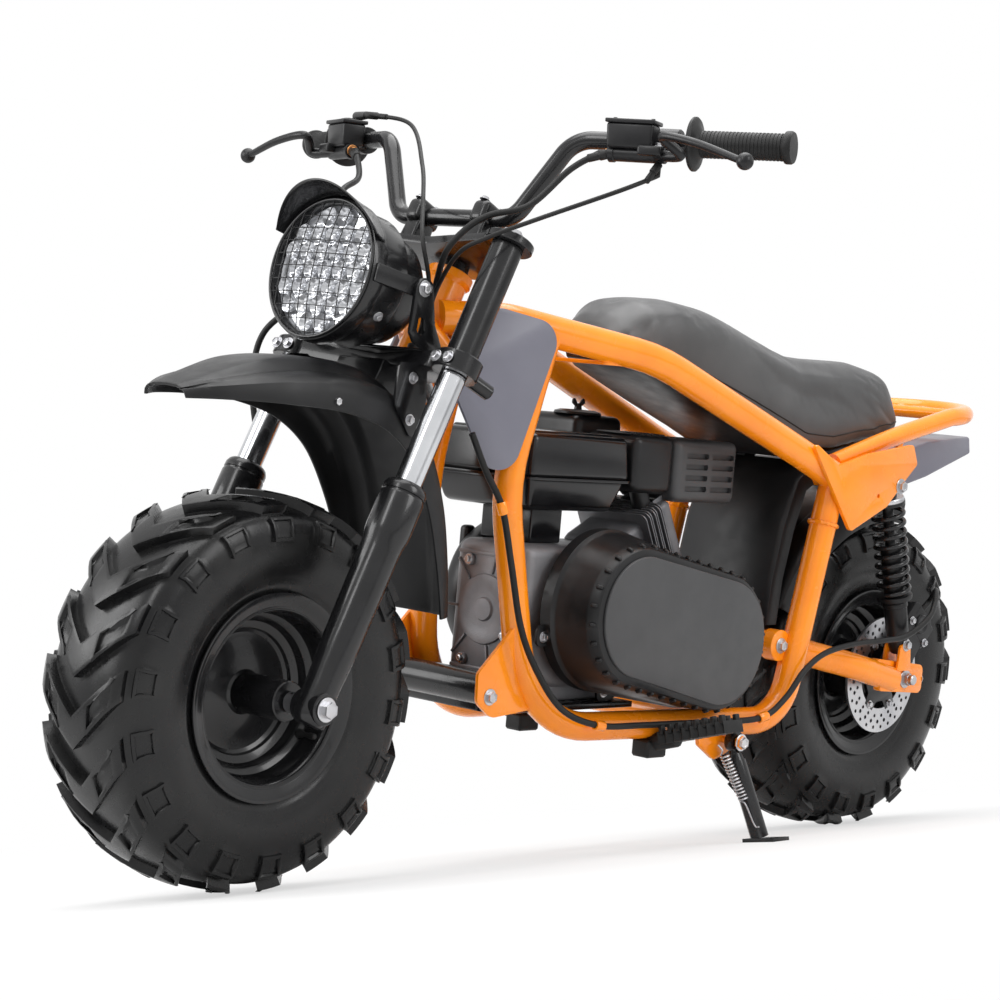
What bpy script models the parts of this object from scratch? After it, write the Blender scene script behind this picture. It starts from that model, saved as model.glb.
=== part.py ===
"""Fat-tyred minibike with an open engine, leaning on its side stand.

Upright bike axes: X forward, Y to the rider's left, Z up, rear wheel centre over X = 0.
Everything hangs from one empty that leans the bike on its stand and puts its box on the floor.
"""
import math

import bmesh
import bpy
from mathutils import Matrix, Vector

# Stance
WHEELBASE = 1.19
LEAN = math.radians(11.5)
RAKE = math.radians(25.0)
FORK_OFFSET = 0.060
FORK_HALF = 0.1406
GAP = 0.0003

# Wheels
AXLE_Z = 0.2385
TYRE_R = 0.2385
LUG_H = 0.0115
LUGS = 18
LUG_SHARE = 0.44
RIM_FLANGE_R = 0.1235
RIM_SEAT_R = 0.1030
RIM_HALF = 0.0745
AXLE_R = 0.0075
DISC_R = 0.086
DISC_Y = 0.098

# Frame
LOOP_R = 0.019
RAIL_R = 0.021
HEAD_R = 0.026
HEAD_LOW = 0.462
HEAD_TOP = 0.598
RACK_R = 0.0135
RACK_HALF = 0.122
RACK_ARC_X = -0.085
ARM_R = 0.019
SHOCK_TOP = (0.086, 0.135, 0.523)
SHOCK_LOW = (0.017, 0.135, 0.290)
PIVOT = (0.300, 0.0, 0.292)
PIVOT_HALF = 0.088
CROSS_R = 0.021

# Fork and bars, measured along and square to the steering axis
SLIDER_R = 0.0275
STANCHION_R = 0.0165
SLEEVE_R = 0.0200
SLIDER_TOP = 0.285
LOW_CLAMP = 0.441
TOP_CLAMP = 0.612
BAR_R = 0.0111
GRIP_R = 0.0165

# Engine
CRANK = (0.640, 0.335)
COVER_IN = 0.078
COVER_OUT = 0.166

# Side stand
STAND_PIVOT = (0.413, 0.152, 0.166)
STAND_FOOT = (0.385, 0.190)
STAND_R = 0.0125

for old in list(bpy.data.objects):
    bpy.data.objects.remove(old, do_unlink=True)
scene = bpy.context.scene
PARTS = bpy.data.collections.new("minibike")
CUTTERS = bpy.data.collections.new("minibike_cutters")
scene.collection.children.link(PARTS)
scene.collection.children.link(CUTTERS)


def material(name, rgb, rough, metal=0.0):
    """A plain Principled material."""
    mat = bpy.data.materials.new(name)
    mat.use_nodes = True
    shader = mat.node_tree.nodes["Principled BSDF"]
    shader.inputs["Base Color"].default_value = (*rgb, 1.0)
    shader.inputs["Roughness"].default_value = rough
    shader.inputs["Metallic"].default_value = metal
    mat.diffuse_color = (*rgb, 1.0)
    return mat


ORANGE = material("orange_paint", (1.0, 0.235, 0.015), 0.22)
BLACK = material("gloss_black_paint", (0.012, 0.012, 0.013), 0.25)
SATIN = material("satin_black", (0.025, 0.025, 0.027), 0.45)
PLASTIC = material("dark_plastic", (0.035, 0.035, 0.038), 0.55)
GREY = material("plate_grey", (0.17, 0.17, 0.20), 0.35)
COVER_GREY = material("cover_grey", (0.14, 0.14, 0.145), 0.5)
RUBBER = material("rubber", (0.015, 0.015, 0.016), 0.6)
TYRE = material("tyre_rubber", (0.018, 0.018, 0.019), 0.5)
CHROME = material("chrome", (0.80, 0.80, 0.82), 0.08, 1.0)
STEEL = material("bright_steel", (0.60, 0.60, 0.62), 0.28, 1.0)
ALLOY = material("cast_alloy", (0.42, 0.42, 0.43), 0.45, 0.8)
VINYL = material("seat_vinyl", (0.035, 0.035, 0.037), 0.6)
LENS = material("lamp_lens", (0.75, 0.77, 0.80), 0.15)


def empty(name, parent, location=(0, 0, 0), rotation=(0, 0, 0)):
    node = bpy.data.objects.new(name, None)
    node.empty_display_size = 0.05
    node.location = location
    node.rotation_euler = rotation
    node.parent = parent
    PARTS.objects.link(node)
    return node


# The whole bike leans about the floor line; its location is set at the end.
BIKE = empty("bike", None, rotation=(-LEAN, 0, 0))
REAR_AXIS = empty("rear_wheel_axis", BIKE, (0, 0, AXLE_Z))
# The steering axis: its origin is the point on the axis nearest the front axle.
STEER_AT = Vector((WHEELBASE - FORK_OFFSET * math.cos(RAKE), 0, AXLE_Z - FORK_OFFSET * math.sin(RAKE)))
STEER = empty("steering_axis", BIKE, STEER_AT, (0, -RAKE, 0))
FRONT_AXIS = empty("front_wheel_axis", STEER, (FORK_OFFSET, 0, 0))
STAND_AXIS = empty("side_stand_axis", BIKE, STAND_PIVOT)
# Level axes that turn with the steering, for pieces measured in the upright bike's own axes.
STEER_LEVEL = empty("steering_level", STEER, (0, 0, 0), (0, RAKE, 0))


def keep(obj, mat, parent=BIKE, smooth=35.0, location=(0, 0, 0), rotation=(0, 0, 0)):
    """Links a finished object into the bike with its material and place."""
    obj.data.materials.clear()
    obj.data.materials.append(mat)
    obj.parent = parent
    obj.location = location
    obj.rotation_euler = rotation
    if obj.name not in PARTS.objects:
        PARTS.objects.link(obj)
    if obj.type == "MESH":
        obj.data.shade_smooth()
        obj.data.set_sharp_from_angle(angle=math.radians(smooth))
    return obj


def mesh_object(name, bm):
    bmesh.ops.recalc_face_normals(bm, faces=bm.faces[:])
    mesh = bpy.data.meshes.new(name)
    bm.to_mesh(mesh)
    bm.free()
    return bpy.data.objects.new(name, mesh)


def bent(corners, step=0.42):
    """Points of a bent tube: straight runs joined by arcs. A corner is (x, y, z, bend radius)."""
    rows = [tuple(c) + (0.0,) * (4 - len(c)) for c in corners]
    pts = [Vector(rows[0][:3])]
    for before, at, after in zip(rows, rows[1:], rows[2:]):
        corner = Vector(at[:3])
        back = (Vector(before[:3]) - corner).normalized()
        ahead = (Vector(after[:3]) - corner).normalized()
        half = back.angle(ahead) / 2
        if at[3] <= 0 or half > math.radians(89):
            pts.append(corner)
            continue
        reach = at[3] / math.tan(half)
        centre = corner + (back + ahead).normalized() * at[3] / math.sin(half)
        start, end = corner + back * reach - centre, corner + ahead * reach - centre
        turn = math.pi - 2 * half
        count = max(2, math.ceil(turn / step))
        axis = start.cross(end).normalized()
        pts += [centre + Matrix.Rotation(turn * i / count, 3, axis) @ start for i in range(count + 1)]
    pts.append(Vector(rows[-1][:3]))
    return pts


def smooth_route(points, count):
    """Points of one smooth curve through a few route points (Catmull-Rom)."""
    pts = [Vector(p) for p in points]
    pts = [2 * pts[0] - pts[1]] + pts + [2 * pts[-1] - pts[-2]]
    spans = len(pts) - 3
    out = []
    for i in range(count + 1):
        s = min(i * spans / count, spans - 1e-6)
        k, t = int(s), s - int(s)
        a, b, c, d = pts[k:k + 4]
        out.append(0.5 * (2 * b + (c - a) * t + (2 * a - 5 * b + 4 * c - d) * t * t
                          + (3 * b - a - 3 * c + d) * t ** 3))
    return out


def tube(name, pts, radius, sides=10, closed=False):
    """A round tube along points, as a welded mesh object."""
    curve = bpy.data.curves.new(name, "CURVE")
    curve.dimensions = "3D"
    curve.bevel_depth = radius
    curve.bevel_resolution = (sides - 4) // 2
    curve.use_fill_caps = not closed
    spline = curve.splines.new("POLY")
    spline.points.add(len(pts) - 1)
    for point, co in zip(spline.points, pts):
        point.co = (*co, 1.0)
    spline.use_cyclic_u = closed
    return curve_mesh(name, curve)


def curve_mesh(name, curve):
    source = bpy.data.objects.new(name + "_curve", curve)
    scene.collection.objects.link(source)
    mesh = bpy.data.meshes.new_from_object(source.evaluated_get(bpy.context.evaluated_depsgraph_get()))
    bpy.data.objects.remove(source, do_unlink=True)
    bm = bmesh.new()
    bm.from_mesh(mesh)
    bmesh.ops.remove_doubles(bm, verts=bm.verts[:], dist=0.00002)
    bpy.data.meshes.remove(mesh)
    return mesh_object(name, bm)


def plate(name, outlines, thickness, bevel=0.0):
    """A flat plate in XY, centred on Z = 0: the first outline is its edge, the others are holes."""
    curve = bpy.data.curves.new(name, "CURVE")
    curve.dimensions = "2D"
    curve.fill_mode = "BOTH"
    curve.extrude = thickness / 2
    for outline in outlines:
        spline = curve.splines.new("POLY")
        spline.points.add(len(outline) - 1)
        for point, co in zip(spline.points, outline):
            point.co = (co[0], co[1], 0.0, 1.0)
        spline.use_cyclic_u = True
    return curve_mesh(name, curve)


def rounded(corners, step=0.6):
    """A closed flat outline with rounded corners. A corner is (x, y, radius)."""
    out = []
    count = len(corners)
    for i, (x, y, r) in enumerate(corners):
        corner = Vector((x, y))
        back = (Vector(corners[i - 1][:2]) - corner).normalized()
        ahead = (Vector(corners[(i + 1) % count][:2]) - corner).normalized()
        if r <= 0:
            out.append((x, y))
            continue
        half = back.angle(ahead) / 2
        centre = corner + (back + ahead).normalized() * r / math.sin(half)
        start = corner + back * r / math.tan(half) - centre
        end = corner + ahead * r / math.tan(half) - centre
        sweep = math.atan2(start.x * end.y - start.y * end.x, start.dot(end))
        parts = max(2, math.ceil(abs(sweep) / step))
        for k in range(parts + 1):
            a = sweep * k / parts
            out.append((centre.x + start.x * math.cos(a) - start.y * math.sin(a),
                        centre.y + start.x * math.sin(a) + start.y * math.cos(a)))
    return out


def disc_outline(radius, count, at=(0, 0)):
    return [(at[0] + radius * math.cos(2 * math.pi * i / count),
             at[1] + radius * math.sin(2 * math.pi * i / count)) for i in range(count)]


def turned(name, profile, steps=32):
    """A turned solid about Z from a closed profile of (radius, height) rows."""
    bm = bmesh.new()
    ring = [bm.verts.new((r, 0, z)) for r, z in profile]
    edges = [bm.edges.new((a, b)) for a, b in zip(ring, ring[1:] + ring[:1])]
    bmesh.ops.spin(bm, geom=ring + edges, cent=(0, 0, 0), axis=(0, 0, 1), angle=2 * math.pi,
                   steps=steps, use_merge=True, use_duplicate=False)
    bmesh.ops.remove_doubles(bm, verts=bm.verts[:], dist=0.00002)
    return mesh_object(name, bm)


def rod(name, start, end, radius, sides=16, radius_end=None):
    """A straight round bar between two points."""
    a, b = Vector(start), Vector(end)
    bm = bmesh.new()
    bmesh.ops.create_cone(bm, cap_ends=True, segments=sides, radius1=radius,
                          radius2=radius if radius_end is None else radius_end, depth=(b - a).length)
    turn = Vector((0, 0, 1)).rotation_difference(b - a).to_matrix().to_4x4()
    bmesh.ops.transform(bm, matrix=Matrix.Translation((a + b) / 2) @ turn, verts=bm.verts[:])
    return mesh_object(name, bm)


def box(name, size, centre=(0, 0, 0), bevel=0.0, segments=1):
    bm = bmesh.new()
    bmesh.ops.create_cube(bm, size=1.0)
    bmesh.ops.scale(bm, vec=size, verts=bm.verts[:])
    if bevel:
        bmesh.ops.bevel(bm, geom=bm.edges[:], offset=bevel, segments=segments, profile=0.5, affect="EDGES")
    bmesh.ops.translate(bm, vec=centre, verts=bm.verts[:])
    return mesh_object(name, bm)


def loft(name, sections):
    """A closed solid through rings of equal point counts, capped at both ends."""
    bm = bmesh.new()
    rings = [[bm.verts.new(p) for p in ring] for ring in sections]
    for a, b in zip(rings, rings[1:]):
        for i in range(len(a)):
            j = (i + 1) % len(a)
            bm.faces.new((a[i], a[j], b[j], b[i]))
    bm.faces.new(rings[0])
    bm.faces.new(rings[-1])
    return mesh_object(name, bm)


def settled(obj):
    """Bakes an object's own place into its mesh, so that others can cut or join it."""
    obj.data.transform(obj.matrix_basis)
    obj.matrix_basis = Matrix.Identity(4)
    return obj


def combine(obj, others, how):
    """Joins other solids to obj (UNION) or cuts them away (DIFFERENCE), then drops them."""
    if obj.name not in PARTS.objects:
        PARTS.objects.link(obj)
    for other in others:
        CUTTERS.objects.link(other)
        other.hide_render = True
        other.display_type = "WIRE"
        mod = obj.modifiers.new(other.name, "BOOLEAN")
        mod.operation = how
        mod.object = other
        mod.solver = "EXACT"
    depsgraph = bpy.context.evaluated_depsgraph_get()
    done = bpy.data.meshes.new_from_object(obj.evaluated_get(depsgraph))
    obj.modifiers.clear()
    obj.data = done
    for other in others:
        bpy.data.objects.remove(other, do_unlink=True)
    bm = bmesh.new()
    bm.from_mesh(done)
    bmesh.ops.remove_doubles(bm, verts=bm.verts[:], dist=0.00002)
    bmesh.ops.dissolve_degenerate(bm, edges=bm.edges[:], dist=0.00002)
    bm.to_mesh(done)
    bm.free()
    return obj


def join(obj, *others):
    return combine(obj, list(others), "UNION")


def cut(obj, *others):
    return combine(obj, list(others), "DIFFERENCE")


def mirrored(points, side):
    return [(p[0], p[1] * side, *p[2:]) for p in points]


SIDES = (("left", 1), ("right", -1))
ON_AXLE = (-math.pi / 2, 0, 0)


# Wheels. Rows are (half width, radius) of the tyre's carcass from the crown to the bead.
CARCASS_R = TYRE_R - LUG_H
TREAD_ROWS = ((0.000, CARCASS_R), (0.022, CARCASS_R - 0.0008), (0.048, CARCASS_R - 0.0045), (0.066, CARCASS_R - 0.0115))
WALL_ROWS = ((0.0755, CARCASS_R - 0.031), (0.0790, 0.166), (0.0745, RIM_FLANGE_R + 0.0145), (RIM_HALF - 0.0048, RIM_FLANGE_R + 0.0035))
CHEVRON = {0.000: 0.0, 0.022: 0.22, 0.048: 0.55, 0.066: 0.80, 0.0755: 0.86}


def tyre(name, axis):
    """A fat tyre: a closed ring whose sheared cells rise as chevron lugs with shoulder blocks."""
    rows = [(-y, r) for y, r in reversed(TREAD_ROWS[1:] + WALL_ROWS)] + list(TREAD_ROWS + WALL_ROWS)
    rows += [(WALL_ROWS[-1][0], RIM_SEAT_R + GAP + 0.0007), (-WALL_ROWS[-1][0], RIM_SEAT_R + GAP + 0.0007)]
    pitch = 2 * math.pi / LUGS
    marks = (0.0, LUG_SHARE)
    bm = bmesh.new()
    rings = []
    for lug in range(LUGS):
        for mark in marks:
            ring = []
            for y, r in rows:
                a = (lug + mark + CHEVRON.get(abs(y), 0.86 if r > 0.13 else 0.0)) * pitch
                ring.append(bm.verts.new((r * math.cos(a), -r * math.sin(a), y)))
            rings.append(ring)
    lifted = {}
    last_row = len(rows)
    first = len(WALL_ROWS)
    for i, ring in enumerate(rings):
        ahead = rings[(i + 1) % len(rings)]
        for j in range(last_row):
            k = (j + 1) % last_row
            face = bm.faces.new((ring[j], ring[k], ahead[k], ahead[j]))
            inside = first <= j < first + 2 * (len(TREAD_ROWS) - 1)
            block = j in (first - 1, first + 2 * (len(TREAD_ROWS) - 1))
            if i % 2 == 0 and (inside or block):
                lifted.setdefault(i // 2, []).append(face)
    bmesh.ops.recalc_face_normals(bm, faces=bm.faces[:])
    for faces in lifted.values():
        bm.normal_update()
        moved = bmesh.ops.extrude_face_region(bm, geom=faces)
        bmesh.ops.delete(bm, geom=faces, context="FACES_ONLY")
        for vert in [v for v in moved["geom"] if isinstance(v, bmesh.types.BMVert)]:
            flat = Vector((vert.co.x, vert.co.y, 0.0))
            r, y = flat.length, vert.co.z
            out = flat.normalized()
            lean_out = max(0.0, (abs(y) - 0.040) / 0.036) * 0.9
            push = (out + Vector((0, 0, math.copysign(lean_out, y)))).normalized() * LUG_H
            if r < 0.205:
                push = Vector((0, 0, math.copysign(0.0035, y)))
            vert.co += push
    return keep(mesh_object(name, bm), TYRE, axis, 30, rotation=ON_AXLE)


def rim(name, axis, hub_rows):
    """Pressed steel wheel: flanged barrel, deep dished centre and hub, one turned ring with a bore."""
    well = 0.0035
    profile = [(RIM_FLANGE_R, -RIM_HALF), (RIM_FLANGE_R, -RIM_HALF + 0.003), (RIM_SEAT_R, -0.0700),
               (RIM_SEAT_R, 0.0700), (RIM_FLANGE_R, RIM_HALF - 0.003), (RIM_FLANGE_R, RIM_HALF),
               (0.1085, RIM_HALF - 0.0005), (RIM_SEAT_R - well, 0.0705)]
    profile += hub_rows + [(RIM_SEAT_R - well, -0.0705), (0.1085, -RIM_HALF + 0.0005)]
    return keep(turned(name, profile, 22), BLACK, axis, 30, rotation=ON_AXLE)


BORE_R = AXLE_R + 0.0005
FRONT_DISC_IN = DISC_Y - 0.0023
FRONT_HUB = [(0.0860, 0.0190), (0.0740, 0.0150), (0.0240, 0.0150), (0.0240, 0.0980), (BORE_R, 0.0980),
             (BORE_R, -FRONT_DISC_IN), (0.0260, -FRONT_DISC_IN), (0.0260, 0.0060), (0.0860, 0.0060)]
REAR_HUB = [(0.0860, 0.0190), (0.0740, 0.0150), (0.0480, 0.0150), (0.0480, DISC_Y - 0.0023),
            (BORE_R, DISC_Y - 0.0023), (BORE_R, -0.0923), (0.0400, -0.0923), (0.0400, 0.0060), (0.0860, 0.0060)]

tyre("front_tyre", FRONT_AXIS)
tyre("rear_tyre", REAR_AXIS)
rim("front_rim", FRONT_AXIS, FRONT_HUB)
rim("rear_rim", REAR_AXIS, REAR_HUB)

# Rear brake disc with its ring of holes, and the chain sprocket on the other side.
# Rows are ring radius, hole count and hole radius; the plain front disc sits on the hidden right side.
HOLE_ROWS = ((0.064, 8, 0.0036), (0.077, 10, 0.0040))
holes = [disc_outline(BORE_R, 12)]
for ring_r, count, hole_r in HOLE_ROWS:
    holes += [disc_outline(hole_r, 4, (ring_r * math.cos(2 * math.pi * i / count), ring_r * math.sin(2 * math.pi * i / count)))
              for i in range(count)]
keep(plate("rear_brake_disc", [disc_outline(DISC_R, 32)] + holes, 0.004), STEEL, REAR_AXIS,
     location=(0, DISC_Y, 0), rotation=ON_AXLE)
keep(plate("front_brake_disc", [disc_outline(DISC_R, 28), disc_outline(BORE_R, 12)], 0.004), STEEL, FRONT_AXIS,
     location=(0, -DISC_Y, 0), rotation=ON_AXLE)
SPROCKET_Y = -0.096
SPROCKET_R = 0.078
TEETH = 20
teeth = []
for i in range(TEETH):
    for share, r in ((0.0, SPROCKET_R), (0.3, SPROCKET_R), (0.5, SPROCKET_R - 0.0065), (0.8, SPROCKET_R - 0.0065)):
        a = 2 * math.pi * (i + share) / TEETH
        teeth.append((r * math.cos(a), r * math.sin(a)))
keep(plate("rear_sprocket", [teeth, disc_outline(BORE_R, 12)], 0.004), STEEL, REAR_AXIS,
     location=(0, SPROCKET_Y - 0.0, 0), rotation=ON_AXLE)

# Frame loops: down tube, lower rail and rear upright in one bent tube on each side.
HEAD_DIR = Vector((-math.sin(RAKE), 0, math.cos(RAKE)))


def on_steer(x, y, z):
    """A point given along the steering axes, in the upright bike's axes."""
    return STEER_AT + Vector((math.cos(RAKE), 0, math.sin(RAKE))) * x + Vector((0, y, 0)) + HEAD_DIR * z


LOOP = ((0.775, 0.074, 0.692), (0.826, 0.070, 0.500, 0.25), (0.775, 0.092, 0.189, 0.13),
        (0.292, 0.133, 0.188, 0.07), (0.215, 0.135, 0.533))
RAIL = ((0.920, 0.022, 0.700), (0.835, 0.058, 0.704, 0.10), (0.600, 0.114, 0.672, 0.30),
        (0.300, 0.134, 0.562), (0.130, 0.135, 0.500))
BRACE = ((0.935, 0.017, 0.685), (0.812, 0.071, 0.550))
GUSSET = ((0.311, 0.584, 0.004), (0.199, 0.456, 0.008), (0.116, 0.493, 0.010), (0.071, 0.536, 0.006),
          (0.048, 0.556, 0.006), (0.062, 0.584, 0.006), (0.170, 0.567, 0.004), (0.240, 0.548, 0.004))
GUSSET_Y = 0.1575
SEAT_BRACKET_X = 0.650
TAB_Y = 0.092
# Cross tubes. Rows are name, x, z, half length, radius.
LOW_CROSS = ("lower_cross_tube", 0.430, 0.188, 0.120, 0.0150)
FRONT_CROSS = ("front_cross_tube", 0.838, 0.240, TAB_Y - 0.0025 - GAP, CROSS_R)
HIGH_CROSS = ("upper_cross_tube", 0.190, 0.528, 0.134, 0.0130)

HEAD_H = HEAD_TOP - HEAD_LOW


def head(name, extra):
    """The head tube with its two flared ends, or with some extra all round, the space it needs."""
    flare, wall = HEAD_R + 0.004 + extra, HEAD_R + extra
    return turned(name, [(0.0, -extra), (flare, -extra), (flare, 0.012), (wall, 0.014), (wall, HEAD_H - 0.014),
                         (flare, HEAD_H - 0.012), (flare, HEAD_H + extra), (0.0, HEAD_H + extra)], 20)


# Route of the rear brake hose in the upright bike's axes, and where along it the frame holds it.
HOSE_R = 0.0042
REAR_HOSE = ((0.912, 0.088, 0.560), (0.888, 0.094, 0.515), (0.860, 0.101, 0.470), (0.846, 0.112, 0.400),
             (0.822, 0.116, 0.320), (0.788, 0.122, 0.262), (0.742, 0.128, 0.216), (0.680, 0.1365, 0.1960), (0.600, 0.1395, 0.1935),
             (0.520, 0.1435, 0.1935), (0.440, 0.1500, 0.1935), (0.360, 0.1570, 0.1980), (0.320, 0.1640, 0.225), (0.288, 0.1680, 0.262),
             (0.240, 0.1660, 0.285), (0.170, 0.1640, 0.2960), (0.100, 0.1640, 0.3000), (0.040, 0.1640, 0.3060), (-0.020, 0.1620, 0.3350),
             (-0.072, 0.1340, 0.3680), (-0.1020, 0.1060, 0.3520), (-0.0939, 0.1000, 0.3381), (-0.0859, 0.1000, 0.3296))
REAR_HOSE_PATH = smooth_route(REAR_HOSE[:-1], 42) + [Vector(REAR_HOSE[-1])]
CLIP_SHARES = (0.10, 0.33, 0.535)


def hose_clip(path, share):
    """A short arm from a frame tube out over the hose; the hose is cut out of it afterwards."""
    spot = REAR_HOSE_PATH[round(share * (len(REAR_HOSE_PATH) - 1))]
    feet = []
    for a, b in zip(path, path[1:]):
        t = (spot - a).dot(b - a) / (b - a).length_squared
        feet.append(a.lerp(b, max(0.0, min(1.0, t))))
    foot = min(feet, key=lambda f: (f - spot).length)
    return rod("clip", foot, spot + (spot - foot).normalized() * 0.0080, 0.0085, 8)


keep(head("head_tube", 0.0), ORANGE, BIKE, location=on_steer(0, 0, HEAD_LOW), rotation=(0, -RAKE, 0))


def head_cutter(name):
    space = head(name, GAP)
    space.matrix_basis = Matrix.Translation(on_steer(0, 0, HEAD_LOW)) @ Matrix.Rotation(-RAKE, 4, "Y")
    return settled(space)


for side, sign in SIDES:
    rail_path = bent(mirrored(RAIL, sign))
    rail = cut(tube(f"upper_rail_{side}", rail_path, RAIL_R), head_cutter("head_cut"))
    flat = plate("gusset", [rounded(GUSSET)], 0.006)
    flat.matrix_basis = Matrix.Translation((0, sign * GUSSET_Y, 0)) @ Matrix.Rotation(math.pi / 2, 4, "X")
    rail = join(rail, settled(flat))
    if sign > 0:
        rail = join(rail, box("seat_bracket", (0.088, 0.230, 0.006), (SEAT_BRACKET_X - 0.006, 0.0, 0.6612)))
        rail = cut(rail, tube("other_rail", bent(mirrored(RAIL, -1)), RAIL_R + GAP))
        rail = cut(rail, box("trim", (0.14, 0.10, 0.10), (SEAT_BRACKET_X - 0.020, -0.104 - 0.05, 0.6612)))
    keep(rail, ORANGE)
    loop = tube(f"frame_loop_{side}", bent(mirrored(LOOP, sign)), LOOP_R)
    brace = tube("brace", bent(mirrored(BRACE, sign)), 0.014)
    tab = plate("tab", [rounded(((0.870, 0.262, 0.008), (0.800, 0.330, 0.006), (0.760, 0.214, 0.006),
                                 (0.840, 0.205, 0.020), (0.868, 0.225, 0.012)))], 0.005)
    tab.matrix_basis = Matrix.Translation((0, sign * TAB_Y, 0)) @ Matrix.Rotation(math.pi / 2, 4, "X")
    pivot = rod("pivot", (PIVOT[0], sign * (PIVOT_HALF + 0.0235), PIVOT[2]), (PIVOT[0], sign * 0.132, PIVOT[2]), 0.022, 16)
    more = [brace, settled(tab), pivot]
    if sign > 0:
        name, x, z, half, radius = LOW_CROSS
        more.append(rod("lower_cross", (x, -half, z), (x, 0.115, z), radius, 12))
        more += [hose_clip(bent(mirrored(LOOP, sign)), share) for share in CLIP_SHARES]
        loop = join(loop, *more)
        loop = cut(loop, tube("other_loop", bent(mirrored(LOOP, -1)), LOOP_R + GAP), tube("hose_cut", REAR_HOSE_PATH, HOSE_R + GAP, 6))
    else:
        loop = join(loop, *more)
    loop = cut(loop, head_cutter("head_cut"), tube("rail_cut", rail_path, RAIL_R + GAP))
    keep(loop, ORANGE)

# Swingarm: a pivot tube and two arms that end in slotted plates round the axle.
ARM = ((PIVOT[0], PIVOT_HALF, PIVOT[2]), (0.225, 0.097, 0.281, 0.15), (0.120, 0.135, AXLE_Z + 0.0205, 0.15), (0.028, 0.135, AXLE_Z))
arm = rod("swingarm", (PIVOT[0], -PIVOT_HALF, PIVOT[2]), (PIVOT[0], PIVOT_HALF, PIVOT[2]), 0.022, 12)
pieces = []
for side, sign in SIDES:
    pieces.append(tube("arm_" + side, bent(mirrored(ARM, sign)), ARM_R, 8))
    end = plate("end_" + side, [rounded(((0.075, AXLE_Z + 0.0315, 0.004), (-0.045, AXLE_Z + 0.0195, 0.010), (-0.045, AXLE_Z - 0.0225, 0.010),
                                         (0.060, AXLE_Z - 0.0165, 0.004)))], 0.012)
    end.matrix_basis = Matrix.Translation((0, sign * 0.135, 0)) @ Matrix.Rotation(math.pi / 2, 4, "X")
    pieces.append(settled(end))
    x, y, z = SHOCK_LOW
    lug = box("lug_" + side, (0.030, 0.030, 0.021), (x, sign * y, z - 0.0265))
    pieces.append(lug)
arm = join(arm, *pieces)
arm = cut(arm, rod("axle_cut", (0, -0.2, AXLE_Z), (0, 0.2, AXLE_Z), AXLE_R + GAP, 16))
keep(arm, ORANGE)
axle = rod("rear_axle", (0, -0.158, AXLE_Z), (0, 0.158, AXLE_Z), AXLE_R, 16)
nuts = [rod(f"nut_{s}", (0, s * (0.141 + GAP), AXLE_Z), (0, s * 0.153, AXLE_Z), 0.0115, 6) for s in (-1, 1)]
keep(join(axle, *nuts), STEEL)

# Rear caliper astride its disc, on a plate round the axle inside the left arm.
caliper = box("rear_caliper", (0.064, 0.032, 0.046), (0, 0, 0), 0.006)
caliper.matrix_basis = Matrix.Translation((-0.070, 0.1000, AXLE_Z + 0.074)) @ Matrix.Rotation(math.radians(-43), 4, "Y")
carrier = plate("carrier", [rounded(((-0.098, 0.318, 0.008), (-0.052, 0.352, 0.008), (0.026, 0.262, 0.010), (0.026, 0.222, 0.010),
                                     (-0.020, 0.215, 0.012)))], 0.007)
carrier.matrix_basis = Matrix.Translation((0, 0.1120, 0)) @ Matrix.Rotation(math.pi / 2, 4, "X")
caliper = join(settled(caliper), settled(carrier))
keep(cut(caliper, rod("disc_cut", (0, DISC_Y - 0.0035, AXLE_Z), (0, DISC_Y + 0.0035, AXLE_Z), DISC_R + 0.003, 24),
         rod("axle_cut", (0, 0, AXLE_Z), (0, 0.2, AXLE_Z), AXLE_R + GAP, 16)), SATIN)

# Shock absorbers: a turned damper with seats at both ends, and its coil between them.
SPRING_R = 0.0220
WIRE_R = 0.0036
for side, sign in SIDES:
    top = Vector((SHOCK_TOP[0], sign * SHOCK_TOP[1], SHOCK_TOP[2]))
    low = Vector((SHOCK_LOW[0], sign * SHOCK_LOW[1], SHOCK_LOW[2]))
    length = (top - low).length
    frame_axis = empty(f"shock_axis_{side}", BIKE, low, (0, math.atan2(top.x - low.x, top.z - low.z), 0))
    seat_low, seat_top = 0.078, length - 0.030
    body = turned(f"shock_{side}", [(0.0, -0.0122), (0.012, -0.0122), (0.015, 0.004), (0.017, seat_low - 0.014),
                                    (0.026, seat_low - 0.008), (0.026, seat_low - 0.001), (0.0150, seat_low - 0.001),
                                    (0.0150, 0.150), (0.0080, 0.150), (0.0080, seat_top + 0.001), (0.026, seat_top + 0.001),
                                    (0.026, seat_top + 0.006), (0.013, seat_top + 0.012), (0.010, length + 0.010),
                                    (0.0, length + 0.010)], 14)
    eye = rod("eye", (0, -0.014, length), (0, 0.014, length), 0.013, 10)
    bolt = rod("bolt", (0, -sign * 0.010, length), (0, sign * (GUSSET_Y - 0.003 - GAP - 0.135), length), 0.006, 8)
    keep(join(body, eye, bolt), SATIN, frame_axis)
    turns, per = 8, 6
    coil = []
    for i in range(turns * per + 1):
        a = 2 * math.pi * i / per
        span = seat_top - seat_low - 2 * (WIRE_R - 0.0006)
        rise = seat_low + WIRE_R - 0.0006 + span * i / (turns * per)
        coil.append(Vector((SPRING_R * math.cos(a), SPRING_R * math.sin(a), rise)))
    keep(tube(f"shock_spring_{side}", coil, WIRE_R, 6), BLACK, frame_axis, 60)

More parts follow.
